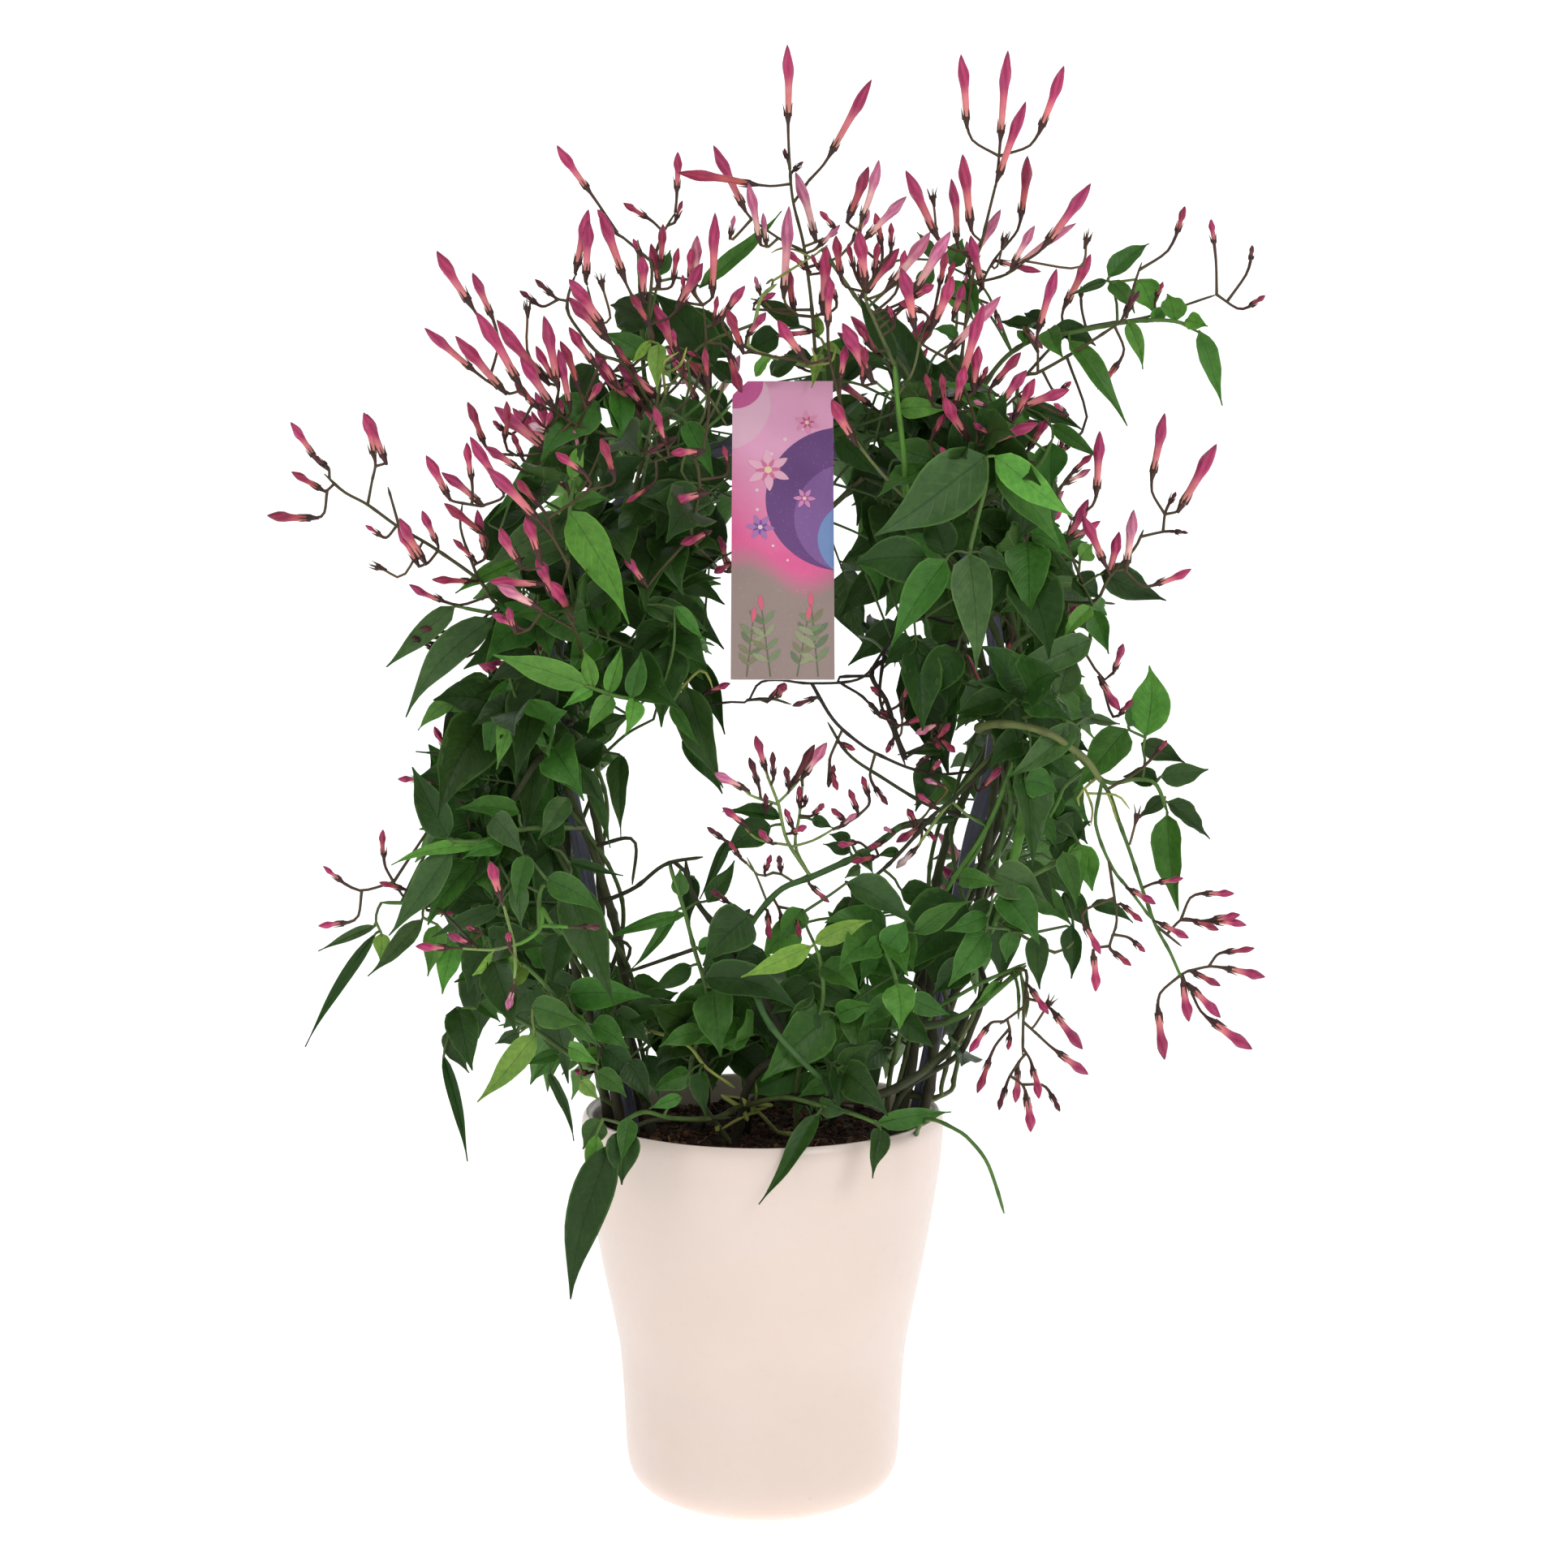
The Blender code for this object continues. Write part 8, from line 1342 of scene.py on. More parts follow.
# u, v, d lines of bare or leafless growth, with its thickness and its tone
BARE_STEMS = [
    ([(705, 880, -20), (660, 940, -34), (630, 990, -38)], 1.5, "w"), ([(690, 900, -16), (655, 990, -28)], 1.1, "w"), ([(1258, 1000, -26), (1256, 1030, -26), (1250, 1060, -24)], 1.6, "g"), ([(1180, 985, -14), (1196, 1006, -22), (1215, 1018, -26)], 1.0, "g"),
    ([(1235, 900, -20), (1222, 935, -24), (1185, 975, -28), (1140, 1012, -28)], 0.9, "w"), ([(1258, 905, -24), (1245, 950, -24), (1228, 990, -24), (1190, 1060, -20), (1165, 1095, -14)], 1.0, "w"), ([(1250, 935, -22), (1245, 1000, -20), (1210, 1075, -14)], 1.0, "w"),
    ([(1270, 1190, -18), (1215, 1230, -26), (1175, 1255, -28), (1120, 1265, -28)], 1.2, "w"), ([(1270, 1205, -20), (1200, 1260, -30), (1180, 1300, -30), (1120, 1340, -26), (1096, 1380, -22), (1090, 1412, -20)], 1.3, "w"), ([(1090, 1335, -20), (1100, 1300, -24)], 0.8, "w"),
    ([(760, 1420, -30), (780, 1392, -36), (810, 1380, -40), (900, 1377, -42)], 1.1, "w"), ([(1120, 1420, -20), (1140, 1380, -58), (1180, 1393, -74), (1200, 1410, -78), (1215, 1430, -80), (1225, 1455, -80), (1237, 1495, -80)], 0.9, "g"),
    ([(1100, 448, -34), (1107, 500, -36), (1118, 600, -30), (1122, 650, -22)], 1.2, "g"), ([(778, 1015, -14), (781, 1035, -18), (779, 1090, -16)], 0.8, "w"), ([(815, 1050, -30), (825, 1060, -32), (836, 1100, -38)], 0.8, "w"), ([(740, 1115, -8), (780, 1095, -18), (820, 1065, -26), (866, 1056, -30)], 0.9, "w"),
    ([(782, 1140, -10), (776, 1166, -14), (770, 1190, -14)], 0.8, "w"), ([(816, 1175, -30), (790, 1192, -24), (765, 1200, -14)], 0.8, "w"), ([(1178, 1010, -16), (1140, 990, -28), (1090, 960, -34), (1046, 930, -36), (1020, 890, -36)], 0.8, "w"), ([(1140, 1040, -22), (1100, 1060, -30), (1060, 1096, -34), (1040, 1130, -38)], 0.8, "w"),
    ([(1090, 800, -20), (1078, 820, -24), (1094, 866, -28), (1105, 906, -28), (1117, 936, -26)], 1.1, "k"), ([(1020, 834, -32), (1031, 836, -32), (1061, 857, -32), (1080, 876, -31), (1105, 889, -29)], 0.6, "k"),
    ([(1110, 812, -18), (1115, 820, -20), (1161, 855, -20)], 0.85, "g"), ([(1166, 1100, -16), (1203, 1049, -22), (1222, 1000, -22)], 1.05, "v"), ([(1220, 924, -18), (1203, 950, -22), (1177, 982, -26), (1159, 1003, -28), (1131, 1042, -29)], 0.75, "p"),
    ([(1177, 982, -26), (1193, 1005, -26), (1217, 1019, -22)], 0.6, "p"),
    ([(1259, 904, -30), (1253, 924, -29), (1244, 953, -28), (1237, 973, -27), (1228, 995, -26), (1215, 1021, -25), (1200, 1046, -24), (1180, 1075, -20), (1164, 1101, -15)], 1.0, "v"),
    ([(1262, 962, -20), (1261, 990, -26), (1257, 1021, -30), (1253, 1048, -31), (1248, 1068, -28)], 2.3, "v"), ([(1244, 964, -27), (1246, 990, -28), (1239, 1021, -28), (1233, 1044, -28), (1217, 1070, -24)], 1.1, "g"),
    ([(1240, 1096, -16), (1235, 1110, -22), (1228, 1130, -24), (1222, 1150, -22)], 1.5, "g"), ([(1312, 960, -30), (1312, 968, -34), (1304, 986, -36), (1293, 1008, -36)], 0.9, "g"),
    ([(1354, 968, -50), (1335, 973, -52), (1327, 986, -53), (1330, 993, -53)], 0.6, "y"), ([(1348, 975, -50), (1346, 996, -52), (1344, 1017, -52)], 0.5, "y"), ([(1361, 971, -50), (1376, 980, -52), (1392, 997, -52)], 0.5, "y"), ([(1365, 975, -50), (1371, 994, -52), (1376, 1013, -52)], 0.5, "y"),
    ([(1280, 1160, -30), (1290, 1170, -32), (1304, 1172, -34), (1319, 1165, -35), (1328, 1152, -35)], 0.7, "o"),
    ([(1120, 1268, -22), (1140, 1265, -26), (1171, 1258, -28), (1200, 1243, -30), (1228, 1220, -30), (1264, 1190, -26)], 1.35, "g"), ([(1140, 1252, -22), (1153, 1243, -28), (1184, 1225, -31), (1213, 1209, -31), (1264, 1187, -26)], 0.9, "g"), ([(1200, 1243, -30), (1191, 1269, -32), (1173, 1296, -32)], 0.8, "o"),
    ([(1253, 1187, -28), (1255, 1222, -33), (1255, 1256, -34)], 0.7, "g"), ([(1259, 1194, -28), (1261, 1226, -34), (1260, 1258, -35)], 0.6, "p"), ([(1268, 1200, -28), (1267, 1228, -33), (1264, 1254, -34)], 0.6, "o"),
    ([(926, 470, -26), (926, 430, -30), (931, 395, -31), (937, 368, -31), (950, 355, -30), (957, 350, -28)], 0.9, "p"), ([(957, 350, -28), (952, 344, -28), (944, 350, -28)], 0.5, "o"), ([(1004, 332, -14), (1001, 316, -16), (1014, 306, -17), (1020, 302, -18)], 0.5, "y"), ([(1001, 316, -16), (980, 308, -17), (962, 306, -18), (950, 312, -18)], 0.45, "y"),
    ([(840, 445, -10), (862, 478, -16), (896, 525, -20)], 0.65, "o"), ([(884, 396, -12), (866, 425, -16), (842, 455, -18), (812, 490, -18)], 0.65, "o"), ([(875, 440, -14), (872, 480, -18), (866, 520, -18)], 0.55, "o"), ([(793, 372, -14), (797, 400, -20), (800, 440, -20)], 0.7, "o"),
    ([(822, 548, -20), (840, 575, -24), (850, 596, -24)], 0.65, "o"), ([(790, 512, -16), (800, 540, -20), (822, 570, -22)], 0.65, "o"),
    ([(1101, 447, -36), (1106, 495, -40), (1115, 573, -38), (1120, 611, -32)], 0.8, "v"), ([(1068, 376, -24), (1085, 411, -26), (1101, 445, -30)], 0.8, "o"), ([(1130, 438, -22), (1120, 464, -26), (1110, 490, -30)], 0.7, "o"),
    ([(812, 545, -10), (835, 520, -18), (862, 498, -22), (885, 470, -24)], 0.7, "g"), ([(800, 560, -8), (846, 545, -16), (880, 520, -20), (900, 500, -22)], 0.8, "g"), ([(830, 540, -10), (842, 505, -16), (850, 470, -18), (846, 440, -18)], 0.6, "g"), ([(870, 540, -12), (880, 505, -18), (893, 470, -20)], 0.6, "o"),
    ([(922, 1192, -38), (926, 1208, -48), (937, 1241, -58), (955, 1271, -61), (979, 1297, -61), (1002, 1320, -58), (1025, 1338, -50), (1048, 1347, -42), (1071, 1346, -38)], 1.3, "a"),
    ([(896, 1388, -25), (884, 1394, -25)], 1.15, "y"), ([(952, 1389, -18), (961, 1396, -13)], 1.1, "y"), ([(931, 1340, -29), (931, 1328, -29)], 1.25, "y"), ([(924, 1360, -27), (915, 1350, -28)], 1.1, "y"), ([(942, 1366, -27), (952, 1362, -28)], 1.1, "y"), ([(930, 1375, -26), (921, 1381, -26)], 1.1, "y"), ([(899, 1353, -29), (889, 1349, -29)], 1.1, "y"),
    ([(828, 832, -40), (806, 846, -44), (788, 842, -46), (780, 828, -46)], 0.6, "y"), ([(850, 836, -40), (862, 826, -42), (872, 832, -42), (878, 848, -42)], 0.6, "y"),
    ([(806, 470, -30), (818, 448, -38), (836, 434, -40)], 0.6, "y"), ([(822, 468, -32), (838, 450, -38), (846, 428, -40)], 0.55, "y"), ([(1008, 470, -22), (1006, 448, -28), (1000, 428, -30)], 0.6, "y"), ([(1014, 466, -22), (1024, 446, -28), (1030, 430, -30)], 0.55, "y"),
    ([(812, 1262, -20), (818, 1275, -30), (850, 1290, -38), (870, 1315, -40), (905, 1340, -36)], 0.8, "y"), ([(960, 1402, -8), (958, 1395, -16), (944, 1380, -22), (933, 1370, -24), (908, 1380, -26), (888, 1392, -24)], 0.8, "y"),
    ([(933, 1370, -24), (922, 1356, -26), (895, 1350, -28)], 0.6, "y"), ([(933, 1370, -24), (932, 1350, -26), (931, 1333, -28)], 0.6, "y"), ([(933, 1370, -24), (940, 1366, -26), (948, 1362, -27)], 0.55, "y"),
    ([(930, 1345, -20), (1010, 1355, -40), (1080, 1350, -44), (1130, 1325, -34), (1185, 1275, -22)], 1.6, "w"), ([(860, 1412, 4), (872, 1350, -16), (860, 1290, -26), (800, 1250, -20), (752, 1216, -10)], 1.2, "w"), ([(1010, 1420, 12), (1040, 1350, -10), (1100, 1290, -14), (1160, 1240, -12), (1200, 1200, -10)], 1.2, "w"),
]
# areas of the elevation: corners, number of compound leaves, depths in millimetres, tones
MASSES = [
    ([(600, 640), (640, 580), (690, 520), (740, 480), (890, 480), (890, 840), (840, 840), (760, 930), (700, 900), (640, 930), (520, 880), (560, 800), (600, 740)], 34, (-30, 24), "ddddm"),
    ([(500, 880), (600, 860), (700, 880), (720, 940), (690, 1060), (740, 1120), (755, 1200), (800, 1290), (780, 1350), (720, 1290), (640, 1260), (600, 1200), (560, 1100), (500, 960)], 26, (-30, 24), "dddmm"),
    ([(770, 1210), (860, 1210), (920, 1140), (1050, 1120), (1170, 1110), (1230, 1150), (1240, 1230), (1180, 1300), (1130, 1340), (880, 1350), (770, 1290)], 22, (-40, 12), "dddmm"),
    ([(1030, 500), (1200, 480), (1290, 510), (1330, 600), (1310, 680), (1360, 720), (1340, 870), (1390, 900), (1330, 990), (1350, 1060), (1330, 1130), (1290, 1160), (1240, 1150), (1200, 1100), (1240, 1000), (1240, 900), (1100, 800), (1040, 790)], 33, (-30, 24), "ddddm"),
    ([(740, 400), (860, 400), (860, 480), (740, 480)], 2, (-14, 10), "dddm"), ([(1060, 370), (1140, 370), (1140, 490), (1060, 490)], 4, (-14, 10), "dddm"), ([(905, 480), (1030, 480), (1030, 660), (905, 660)], 5, (-20, 8), "dddm"),
]
# the same on the far side, which the drawing can't show
FAR_MASSES = [
    ([(560, 640), (700, 520), (890, 480), (890, 820), (760, 930), (560, 900)], 20, (14, 52), "dmmm"), ([(540, 900), (720, 930), (740, 1120), (790, 1300), (640, 1250), (540, 1050)], 18, (12, 50), "dmmm"),
    ([(790, 1230), (900, 1250), (1160, 1240), (1220, 1180), (1180, 1320), (820, 1340)], 12, (14, 44), "dmmm"), ([(1060, 500), (1290, 510), (1330, 700), (1330, 880), (1240, 900), (1080, 790)], 22, (14, 52), "dmmm"),
    ([(1240, 900), (1370, 900), (1340, 1120), (1240, 1160), (1200, 1080)], 10, (12, 48), "dmmm"), ([(760, 420), (1140, 420), (1120, 640), (900, 640)], 16, (14, 50), "dmmm"),
]
# the zone over the dense growth where many buds show
BUD_CROWN = [(600, 480), (640, 420), (720, 340), (800, 300), (960, 280), (1060, 260), (1200, 280), (1290, 400), (1320, 520), (1200, 560), (700, 560)]
FAR_CLUSTERS = [(0.20, 26, 8), (0.30, 34, 10), (0.40, 36, 11), (0.47, 34, 9), (0.55, 34, 10), (0.63, 36, 10), (0.72, 32, 9), (0.80, 26, 7)]


DEEPEST, NEAREST = cad_high[1] + 0.008, cad_low[1] - 0.006


def behind_card(p, room=0.004):
    """True where a point is clear of the card: beside it, or behind it."""
    fx, fy, fz = CARD_FOOT
    rise = (p.z - fz) / math.cos(CARD_LEAN)
    if not (fx - room < p.x < fx + CARD_SIZE[0] + room and -room < rise < CARD_SIZE[1] + room):
        return True
    return p.y > fy + rise * math.sin(CARD_LEAN) + room


LEG_LINES = [[seen_at(hoop_at(s)[0]) for s in (0.14, 0.17, 0.20, 0.23, 0.26)], [seen_at(hoop_at(s)[0]) for s in (0.86, 0.83, 0.80, 0.77, 0.74)]]


def on_leg(p, room=30):
    """True where a point hides the open part of a leg of the hoop."""
    u, v = seen_at(p)
    for line in LEG_LINES:
        for (a, c), (d, e) in zip(line, line[1:]):
            t = max(0.0, min(1.0, ((u - a) * (d - a) + (v - c) * (e - c)) / ((d - a) ** 2 + (e - c) ** 2)))
            if math.hypot(u - a - (d - a) * t, v - c - (e - c) * t) < room:
                return True
    return False


def owners():
    """The stems that may carry extra growth, as arrays for a quick search."""
    rows = [s for s in SEGMENTS if not s[0].startswith("flower")]
    return rows, np.array([tuple(s[1].lerp(s[2], 0.5)) for s in rows])


def fill(areas, seed, size, facing):
    rnd = random.Random(seed)
    rows, mids = owners()
    for number, (poly, count, (d0, d1), tones) in enumerate(areas):
        us, vs = [q[0] for q in poly], [q[1] for q in poly]
        made = tries = 0
        while made < count and tries < count * 40:
            tries += 1
            u, v = rnd.uniform(min(us), max(us)), rnd.uniform(min(vs), max(vs))
            if not inside(poly, u, v):
                continue
            d = rnd.uniform(d0, d1)
            goal = place(u, v, d)
            gaps = np.linalg.norm(mids - np.array(goal), axis=1)
            i = int(np.argmin(gaps))
            if gaps[i] > 0.052:
                continue
            name, a, c, r = rows[i]
            root = a.lerp(c, rnd.random())
            b = PIECES.get(name) or STEM_PARTS[name]
            out = goal - root
            away = Vector((goal.x - 0.0055, 0, goal.z - 0.31))
            away = away.normalized() if away.length > 0.03 else Vector((0, 0, 1))
            aim = (out.normalized() * 0.8 + Vector((rnd.uniform(-0.8, 0.8), rnd.uniform(-0.5, 0.5) + (0.35 if facing > 0 else -0.35), rnd.uniform(-0.9, 0.5))) + away * 0.25).normalized()
            reach = size * rnd.uniform(0.75, 1.2)
            end = goal + (aim + Vector((0, 0, -0.10))) * reach * 1.06
            if not (covered(end) and covered(goal.lerp(end, 0.6)) and clear_of_pot(goal) and clear_of_pot(goal.lerp(end, 0.3))):
                continue
            if min(goal.y, end.y) < 0.004 and any(on_leg(q) for q in (goal, goal.lerp(end, 0.5), end)):
                continue
            if not (NEAREST < end.y < DEEPEST and behind_card(goal, 0.008) and behind_card(end, 0.008) and behind_card(goal.lerp(end, 0.6), 0.010)):
                continue
            segs = []
            if out.length > 0.006:
                mid = root.lerp(goal, 0.5) + Vector((0, 0, 0.002))
                n = max(5, int(out.length / 0.003))
                add_tube(b, smooth([root, mid, goal], n), np.linspace(0.00075, 0.00055, n), 5, srgb(74, 104, 48), GREEN, round_end=False)
            else:
                goal = root
            view = Vector((rnd.uniform(-0.5, 0.5), facing * rnd.uniform(0.5, 1.0), rnd.uniform(0.0, 0.8)))
            add_compound(b, segs, goal, aim, reach, rnd.choice((1, 1, 2, 2)), rnd.choice(tones), seed * 1000 + number * 100 + made, name, view, 0.12, covered)
            made += 1


def make_back(name, spec, k):
    """The far-side shoots: compound leaves all along a shoot that follows the hoop."""
    s0, s1, out_mm, count, seed = spec
    b = PIECES[name] = Build()
    rnd = random.Random(seed)
    p0, _ = hoop_at(s0)
    mid, _ = hoop_at((s0 + s1) / 2)
    end, _ = hoop_at(s1)
    centre = Vector((HOOP_TOP_CENTRE[0], 0, mid.z))
    outward = mid - centre
    outward.y = 0
    outward = outward.normalized() if outward.length > 0.01 else Vector((0, 0, 1))
    back = Vector((0, 1, 0))
    path = [p0 + back * 0.010, p0.lerp(mid, 0.4) + back * out_mm * 0.0006 + outward * 0.006, mid + back * out_mm * 0.001 + outward * 0.010, end + back * out_mm * 0.0012 + outward * 0.008]
    segs = []
    grow_path(b, segs, path, 0.0011, 0.0007, srgb(78, 84, 48), srgb(82, 122, 52), 400 + k, True, name)
    line = smooth(path, count + 1)
    for j in range(1, count + 1):
        for sign in ((1, -1) if j < count else (0,)):
            t = (line[j] - line[j - 1]).normalized()
            base = nearest(segs, line[j])[0]
            for tries in range(40):
                turn = sign if tries < 14 else rnd.choice((-1, 1))
                across = t.cross(Vector((0, 1, 0))).normalized() * turn
                aim = (across * rnd.uniform(0.3, 1.1) + t * rnd.uniform(-0.3, 0.8) + Vector((0, 1, 0)) * rnd.uniform(0.1, 0.95) + Vector((0, 0, -0.25))).normalized()
                length = rnd.uniform(0.030, 0.044)
                end = base + (aim + Vector((0, 0, -0.14))) * length * 1.06
                if end.y < DEEPEST and covered(end) and all(clear_of_pot(base.lerp(end, f)) for f in (0.25, 0.5, 0.75)):
                    add_compound(b, segs, base, aim, length, rnd.choice((1, 2, 2)), rnd.choice("mmdl"), seed * 100 + j * 3 + sign, name, (0.1, 1, 0.3), 0.14, covered)
                    break


def make_far_clusters():
    """Buds on the far side, on stalks that rise from the vines."""
    names = list(BACK_SHOOTS)
    for k, (s, out_mm, count) in enumerate(FAR_CLUSTERS):
        rnd = random.Random(900 + k)
        p, tan = hoop_at(s)
        name = min(names, key=lambda n: abs((BACK_SHOOTS[n][0] + BACK_SHOOTS[n][1]) / 2 - s))
        b = PIECES[name]
        outward = Vector((p.x - 0.0055, 0, (p.z - 0.30) * 0.6))
        outward = outward.normalized()
        head = p + Vector((0, out_mm / 1000.0, 0)) + outward * rnd.uniform(0.006, 0.024) + Vector((0, 0, rnd.uniform(0.004, 0.024)))
        segs = [q for q in SEGMENTS if q[0] == name]
        root = nearest(segs, p + Vector((0, 0.012, 0)))[0]
        mine = []
        out, radii = noded_tube(b, [root, root.lerp(head, 0.5) + Vector((0, 0.004, 0.006)), head], 0.0009, 0.0006, 8, srgb(84, 92, 50), PEDUNCLE, 950 + k, GREEN)
        for a, c in zip(out[len(out) // 2:-1], out[len(out) // 2 + 1:]):
            mine.append((name, a, c, 0.0006))
        axis = (out[-1] - out[-3]).normalized()
        for j in range(count):
            at = mine[rnd.randrange(len(mine))][1] if j > 2 else out[-1]
            aim = (axis * rnd.uniform(0.1, 0.7) + Vector((rnd.uniform(-0.8, 0.8), rnd.uniform(0.0, 0.7), rnd.uniform(0.2, 1.0)))).normalized()
            calyx = at + aim * rnd.uniform(0.006, 0.012)
            length = rnd.uniform(0.016, 0.028)
            tip = calyx + aim * length
            if not any(inside(poly, *seen_at(tip)) for poly in COVER + [BUD_CROWN]):
                continue
            over = tip.y - 0.082
            if over > 0:
                calyx.y -= over
                tip.y -= over
            add_bud(b, at, calyx, tip, rnd.uniform(0.9, 1.15), rnd.choice("ppppprs"), 5000 + k * 40 + j, PEDUNCLE, PEDICELS["p"])


def host_of(point, kinds):
    rows = [s for s in SEGMENTS if s[0].startswith(kinds)]
    best, gap = None, 1e9
    for s in rows:
        q = s[1].lerp(s[2], 0.5)
        if (q - point).length < gap:
            best, gap = s, (q - point).length
    return best, gap


def make_extras():
    for k, (line, thick, tone) in enumerate(BARE_STEMS):
        pts = [place(*p) for p in line]
        s, _ = host_of(pts[0], ("vine", "leaf"))
        name = s[0]
        b = PIECES.get(name) or STEM_PARTS[name]
        if pts[0].z > SOIL_LEVEL:
            pts[0] = s[1].lerp(s[2], 0.5)
        low, high = STEM_TONES[tone]
        out, radii = noded_tube(b, pts, 0.00105 * thick, 0.00075 * thick, 8, low, high, 700 + k, WOOD if tone in "wk" else GREEN, 0.017)
        for p, q in zip(out[::2], out[2::2]):
            SEGMENTS.append((name, p, q, 0.0008))
    for k, (u, v, tu, tv, w, tone, d0, d1) in enumerate(DEEP_LEAVES + THIN_LEAVES):
        base, tip = place(u, v, d0), place(tu, tv, d1)
        s, _ = host_of(base, ("vine", "leaf") if k < len(DEEP_LEAVES) else ("vine", "leaf", "flower"))
        b = PIECES.get(s[0]) or STEM_PARTS[s[0]]
        rnd = random.Random(k)
        colour = varied(LEAF_TONES[tone], rnd)
        segs = [s]
        petiole(b, segs, base, (tip - base).normalized(), k, colour, s[0])
        add_leaf(b, base, base, tip, w * scale_at(d0), colour, 880 + k, petiole=False)
    for k, (u, v, cu, cv, girth, tone) in enumerate(LONE_BUDS):
        s, _ = min((host_of(place(cu, cv, d), ("flower",)) for d in (-50, -30, -10)), key=lambda q: q[1])
        d = (s[1].y) * 1000.0
        calyx, tip = place(cu, cv, d - 1), place(u, v, d - 4)
        b = PIECES[s[0]]
        where = joint([q for q in SEGMENTS if q[0] == s[0]], calyx, (tip - calyx).normalized())
        add_bud(b, where, calyx, tip, girth, tone, 8000 + k, PEDUNCLE, PEDICELS[tone])
    for k, (u, v, cu, cv) in enumerate(BARE_CALYXES):
        s, _ = min((host_of(place(cu, cv, d), ("flower",)) for d in (-50, -30, -10)), key=lambda q: q[1])
        d = (s[1].y) * 1000.0
        foot, top = place(cu, cv, d), place(u, v, d - 3)
        b = PIECES[s[0]]
        where = nearest([q for q in SEGMENTS if q[0] == s[0]], foot)[0]
        pts = smooth([where, foot, top], 8)
        add_tube(b, pts, [0.0005] * 8, 6, PEDICEL, GREEN)
        add_calyx(b, top, (top - foot).normalized(), 1.0, srgb(68, 46, 36), random.Random(k), 0.4)
        add_tube(b, [top, top + (top - foot).normalized() * 0.006], [0.00012, 0.00006], 5, srgb(150, 160, 90), GREEN)


# ---------------------------------------------------------------- label
def lay_shape(b, outline, lift, colour, thick=0.00003):
    """A thin flat patch of colour on the card, cut off at the card's edges. OUTLINE is in millimetres and bulges round its middle."""
    w, h, _ = CARD_SIZE
    pts = [(min(max(x / 1000, 0.00005), w - 0.00005), min(max(y / 1000, 0.00005), h - 0.00005)) for x, y in outline]
    pts = [(max(x, y - (h - 0.0060) + 0.0001), y) if y > h - 0.0060 else (x, y) for x, y in pts]
    n = len(pts)
    cx, cy = sum(p[0] for p in pts) / n, sum(p[1] for p in pts) / n
    verts = [card_point(x, y, lift) for x, y in pts] + [card_point(x, y, lift + thick) for x, y in pts] + [card_point(cx, cy, lift + thick), card_point(cx, cy, lift)]
    quads = [(i, (i + 1) % n, n + (i + 1) % n, n + i) for i in range(n)]
    fans = [(n + i, n + (i + 1) % n, 2 * n) for i in range(n)] + [((i + 1) % n, i, 2 * n + 1) for i in range(n)]
    b.add([tuple(v) for v in verts], [np.array(quads), np.array(fans)], colour, None, 0)


def disc(x, y, r, n=40):
    return [(x + r * math.cos(2 * math.pi * q / n), y + r * math.sin(2 * math.pi * q / n)) for q in range(n)]


def blade_outline(x, y, turn, size, wide, n=22):
    a, out = math.radians(turn), []
    for q in range(n):
        s = q / n * 2
        f = s if s <= 1 else 2 - s
        g = math.sin(math.pi * f) ** 0.8 * wide * (1 if s <= 1 else -1)
        out.append((x + size * (f * math.cos(a) - g * math.sin(a)), y + size * (f * math.sin(a) + g * math.cos(a))))
    return out


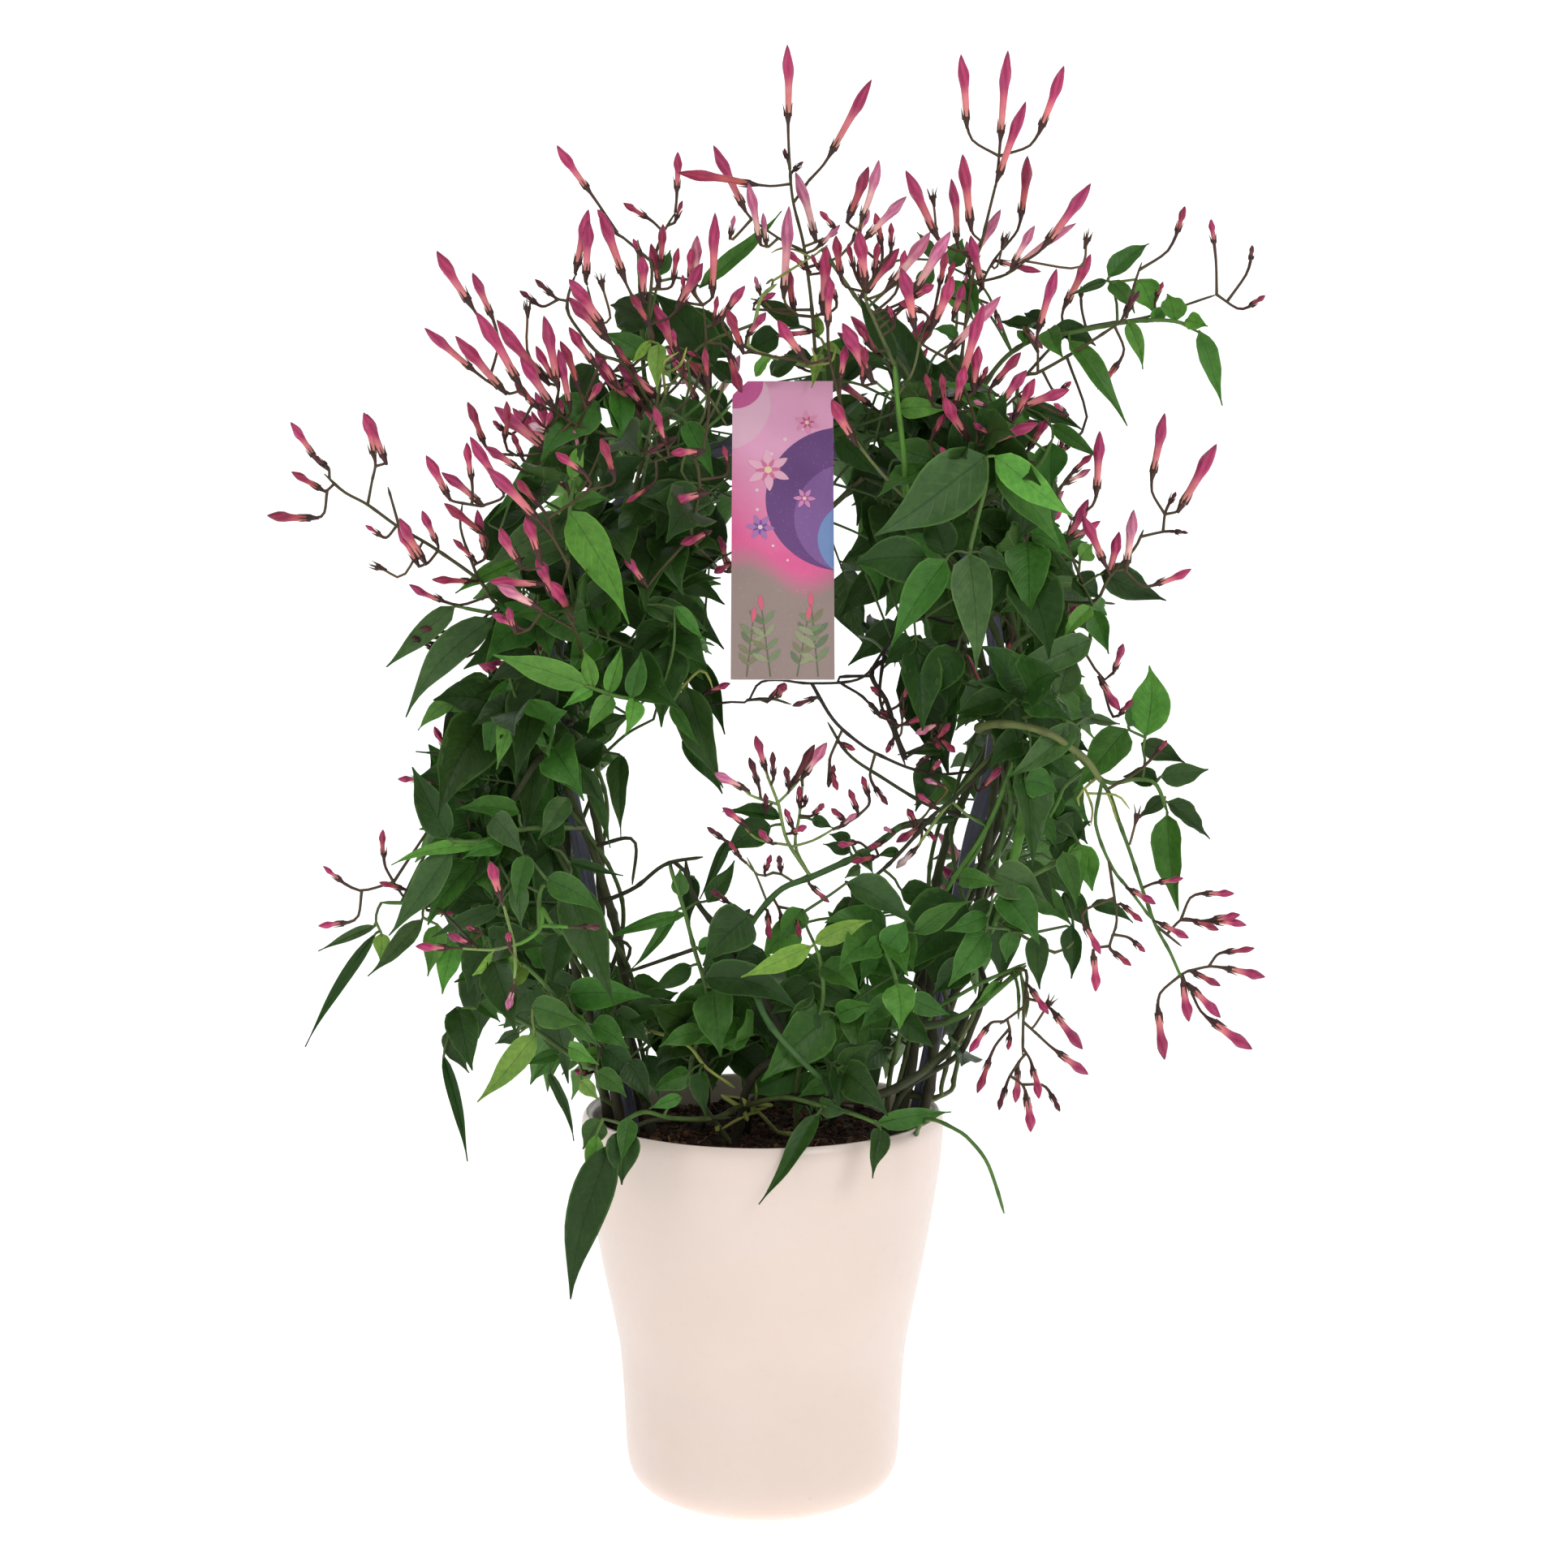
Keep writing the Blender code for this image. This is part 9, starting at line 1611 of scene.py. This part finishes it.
def make_label():
    b = Build()
    w, h, t = CARD_SIZE
    fold = 0.0060
    rows, cols = 90, 24
    top_pink, mid_pink, taupe = srgb(244, 176, 212), srgb(238, 104, 160), srgb(160, 140, 134)
    verts, colours = [], []
    for side in (0, 1):
        for i in range(rows + 1):
            y = h * i / rows
            for j in range(cols + 1):
                cut = max(0.0, y - (h - fold))
                x = cut + (w - cut) * j / cols
                verts.append(tuple(card_point(x, y, -side * t)))
                f, g = y / h, x / w
                wave = max(0.0, min(1.0, (f - 0.50 + 0.10 * math.sin(3.5 * g)) / 0.34))
                base = [p * (1 - wave) + q * wave for p, q in zip(mid_pink, top_pink)]
                down = max(0.0, min(1.0, (0.40 + 0.05 * math.sin(5 * g + 1) - f) / 0.09))
                base = [p * (1 - down) + q * down for p, q in zip(base, taupe)]
                colours.append(base if side == 0 else srgb(236, 232, 226))
    k = cols + 1
    layer = (rows + 1) * k
    faces = []
    for i in range(rows):
        for j in range(cols):
            a = i * k + j
            faces.append((a, a + 1, a + k + 1, a + k))
            faces.append((layer + a, layer + a + k, layer + a + k + 1, layer + a + 1))
    for i in range(rows):
        a = i * k
        faces.append((a, a + k, layer + a + k, layer + a))
        a = i * k + cols
        faces.append((a, layer + a, layer + a + k, a + k))
    for j in range(cols):
        faces.append((j, layer + j, layer + j + 1, j + 1))
        a = rows * k + j
        faces.append((a, a + 1, layer + a + 1, layer + a))
    b.add(verts, [np.array(faces)], colours, None, 0)
    rnd = random.Random(12)
    for i, (x, y, r, tone) in enumerate(((43, 74, 30, (112, 72, 134)), (47, 66, 23, (138, 98, 162)), (49, 57, 16, (122, 152, 204)), (-5, 114, 20, (240, 192, 214)), (1, 123, 11, (212, 98, 160)))):
        lay_shape(b, disc(x, y, r, 72), 0.000004 + i * 0.000016, srgb(*tone), 0.000014)
    for i in range(9):
        a = math.radians(118 + i * 14)
        lay_shape(b, disc(43 + 33.5 * math.cos(a), 74 + 33.5 * math.sin(a), 0.9 - 0.05 * i, 14), 0.00010, srgb(246, 214, 228))
    for x, turn, size in ((6, 84, 22), (15, 97, 27), (25, 80, 23), (33, 95, 28)):
        a = math.radians(turn)
        lay_shape(b, [(x - 0.25, 1), (x + 0.25, 1), (x + 0.2 + size * math.cos(a), 1 + size * math.sin(a)), (x - 0.2 + size * math.cos(a), 1 + size * math.sin(a))], 0.00010, srgb(104, 112, 78))
        for q in range(4):
            f = 0.22 + 0.19 * q
            px, py = x + size * f * math.cos(a), 1 + size * f * math.sin(a)
            for sign in (-1, 1):
                tone = rnd.choice(((126, 144, 104), (108, 126, 92), (154, 160, 124), (132, 132, 96)))
                lay_shape(b, blade_outline(px, py, turn - sign * rnd.uniform(38, 56), size * rnd.uniform(0.22, 0.30), 0.17), 0.00012 + rnd.random() * 0.00002, srgb(*tone))
        lay_shape(b, blade_outline(x + size * math.cos(a), 1 + size * math.sin(a), turn, 6.5, 0.15), 0.00015, srgb(*rnd.choice(((226, 104, 128), (214, 84, 118)))))
    for x, y, r, petals, tone, inner, heart in ((14, 86, 9.0, 6, (248, 190, 212), (228, 122, 168), (252, 226, 180)), (29, 106, 5.2, 6, (240, 158, 194), (206, 92, 150), (252, 226, 190)), (11, 62, 5.6, 6, (176, 128, 190), (134, 84, 158), (246, 214, 228)), (28, 74, 4.4, 6, (226, 150, 198), (190, 100, 164), (252, 226, 190))):
        turn = rnd.uniform(0, 60)
        for i in range(petals):
            lay_shape(b, blade_outline(x, y, turn + i * 360 / petals, r, 0.19), 0.00014 + 0.000005 * i, srgb(*tone))
        for i in range(petals):
            lay_shape(b, blade_outline(x, y, turn + 30 + i * 360 / petals, r * 0.55, 0.17), 0.00018 + 0.000005 * i, srgb(*inner))
        lay_shape(b, disc(x, y, r * 0.16, 16), 0.00023, srgb(*heart))
    line = smooth(STRAP_LINE, 40)
    verts = []
    for i, p in enumerate(line):
        tt = (line[min(i + 1, 39)] - line[max(i - 1, 0)]).normalized()
        n = tt.cross(Vector((1, 0, 0))).normalized()
        for a, c in ((-0.006, -0.00035), (0.006, -0.00035), (0.006, 0.00035), (-0.006, 0.00035)):
            verts.append(tuple(p + Vector((1, 0, 0)) * a + n * c))
    b.add(verts, ring_faces(40, 4), srgb(222, 196, 212), None, 0)
    return finished(b.make("label_card", [PRINT], 35), "printed_card", "plant_label")


# ---------------------------------------------------------------- the whole plant
make_pot()
make_soil()
make_hoop()
make_vines()
for k, (name, spec) in enumerate(LEAF_SHOOTS.items()):
    make_leaf_shoot(name, spec, k)
for k, (name, spec) in enumerate(PANICLES.items()):
    make_cluster(name, spec, k)
for k, (name, spec) in enumerate(BACK_SHOOTS.items()):
    make_back(name, spec, k)
make_far_clusters()
make_extras()
fill(MASSES, 5, 0.062, -1)
fill(FAR_MASSES, 6, 0.062, 1)
make_label()
for group, slot_name in ((STEM_PARTS, "stem_wood"), (PIECES, "leaf_green")):
    for name, b in group.items():
        piece = name.replace("vine_stem", "stem").replace("leaf_shoot", "foliage").replace("flower_cluster", "blossom")
        finished(b.make(piece, [LEAF, GREEN_STEM, PETAL, WOODY], 60), "petal_pink" if name.startswith("flower") else slot_name, name)

# ---------------------------------------------------------------- studio
def make_sweep():
    """A wide pale floor that curves up into a backdrop far behind."""
    line = [(-5.0, 0.0), (2.2, 0.0)] + [(2.2 + 1.2 * math.sin(math.radians(a)), 1.2 - 1.2 * math.cos(math.radians(a))) for a in range(6, 91, 6)] + [(3.4, 4.5)]
    verts = [(x, y, z - 0.0002) for y, z in line for x in (-7.0, 7.0)]
    faces = [(2 * i, 2 * i + 1, 2 * i + 3, 2 * i + 2) for i in range(len(line) - 1)]
    me = bpy.data.meshes.new("studio_floor")
    me.from_pydata(verts, [], faces)
    me.polygons.foreach_set("use_smooth", [True] * len(me.polygons))
    ob = bpy.data.objects.new("studio_floor", me)
    bpy.context.scene.collection.objects.link(ob)
    m, t, s = nodes_of("studio_floor")
    s.inputs["Base Color"].default_value = (0.90, 0.90, 0.90, 1)
    s.inputs["Roughness"].default_value = 0.9
    s.inputs["Specular IOR Level"].default_value = 0.0
    s.inputs["Emission Color"].default_value = (1, 1, 1, 1)
    s.inputs["Emission Strength"].default_value = 0.58
    me.materials.append(m)


make_sweep()
world = bpy.data.worlds.new("studio")
world.use_nodes = True
world.node_tree.nodes["Background"].inputs[0].default_value = (1, 1, 1, 1)
world.node_tree.nodes["Background"].inputs[1].default_value = 0.46
bpy.context.scene.world = world


def lamp(name, at, aim, size, watts, colour=(1, 1, 1)):
    data = bpy.data.lights.new(name, "AREA")
    data.shape = "DISK"
    data.size = size
    data.energy = watts
    data.color = colour
    ob = bpy.data.objects.new(name, data)
    ob.location = at
    ob.rotation_euler = (Vector(aim) - Vector(at)).to_track_quat("-Z", "Y").to_euler()
    bpy.context.scene.collection.objects.link(ob)


lamp("key", (1.1, -1.5, 1.5), (0, 0, 0.30), 0.8, 11.5)
lamp("fill", (-1.5, -1.2, 0.8), (0, 0, 0.30), 1.2, 3.6)

camera = bpy.data.cameras.new("front")
camera.lens = VIEW_SCALE / 1932.0 * 36.0
camera.sensor_width = 36.0
camera.clip_start = 0.01
camera.dof.use_dof = False
eye = bpy.data.objects.new("front", camera)
eye.location = VIEW_POINT
eye.rotation_euler = (math.radians(90) - VIEW_PITCH, 0, 0)
bpy.context.scene.collection.objects.link(eye)
bpy.context.scene.camera = eye
bpy.context.scene.view_settings.view_transform = "Standard"
bpy.context.scene.view_settings.look = "None"
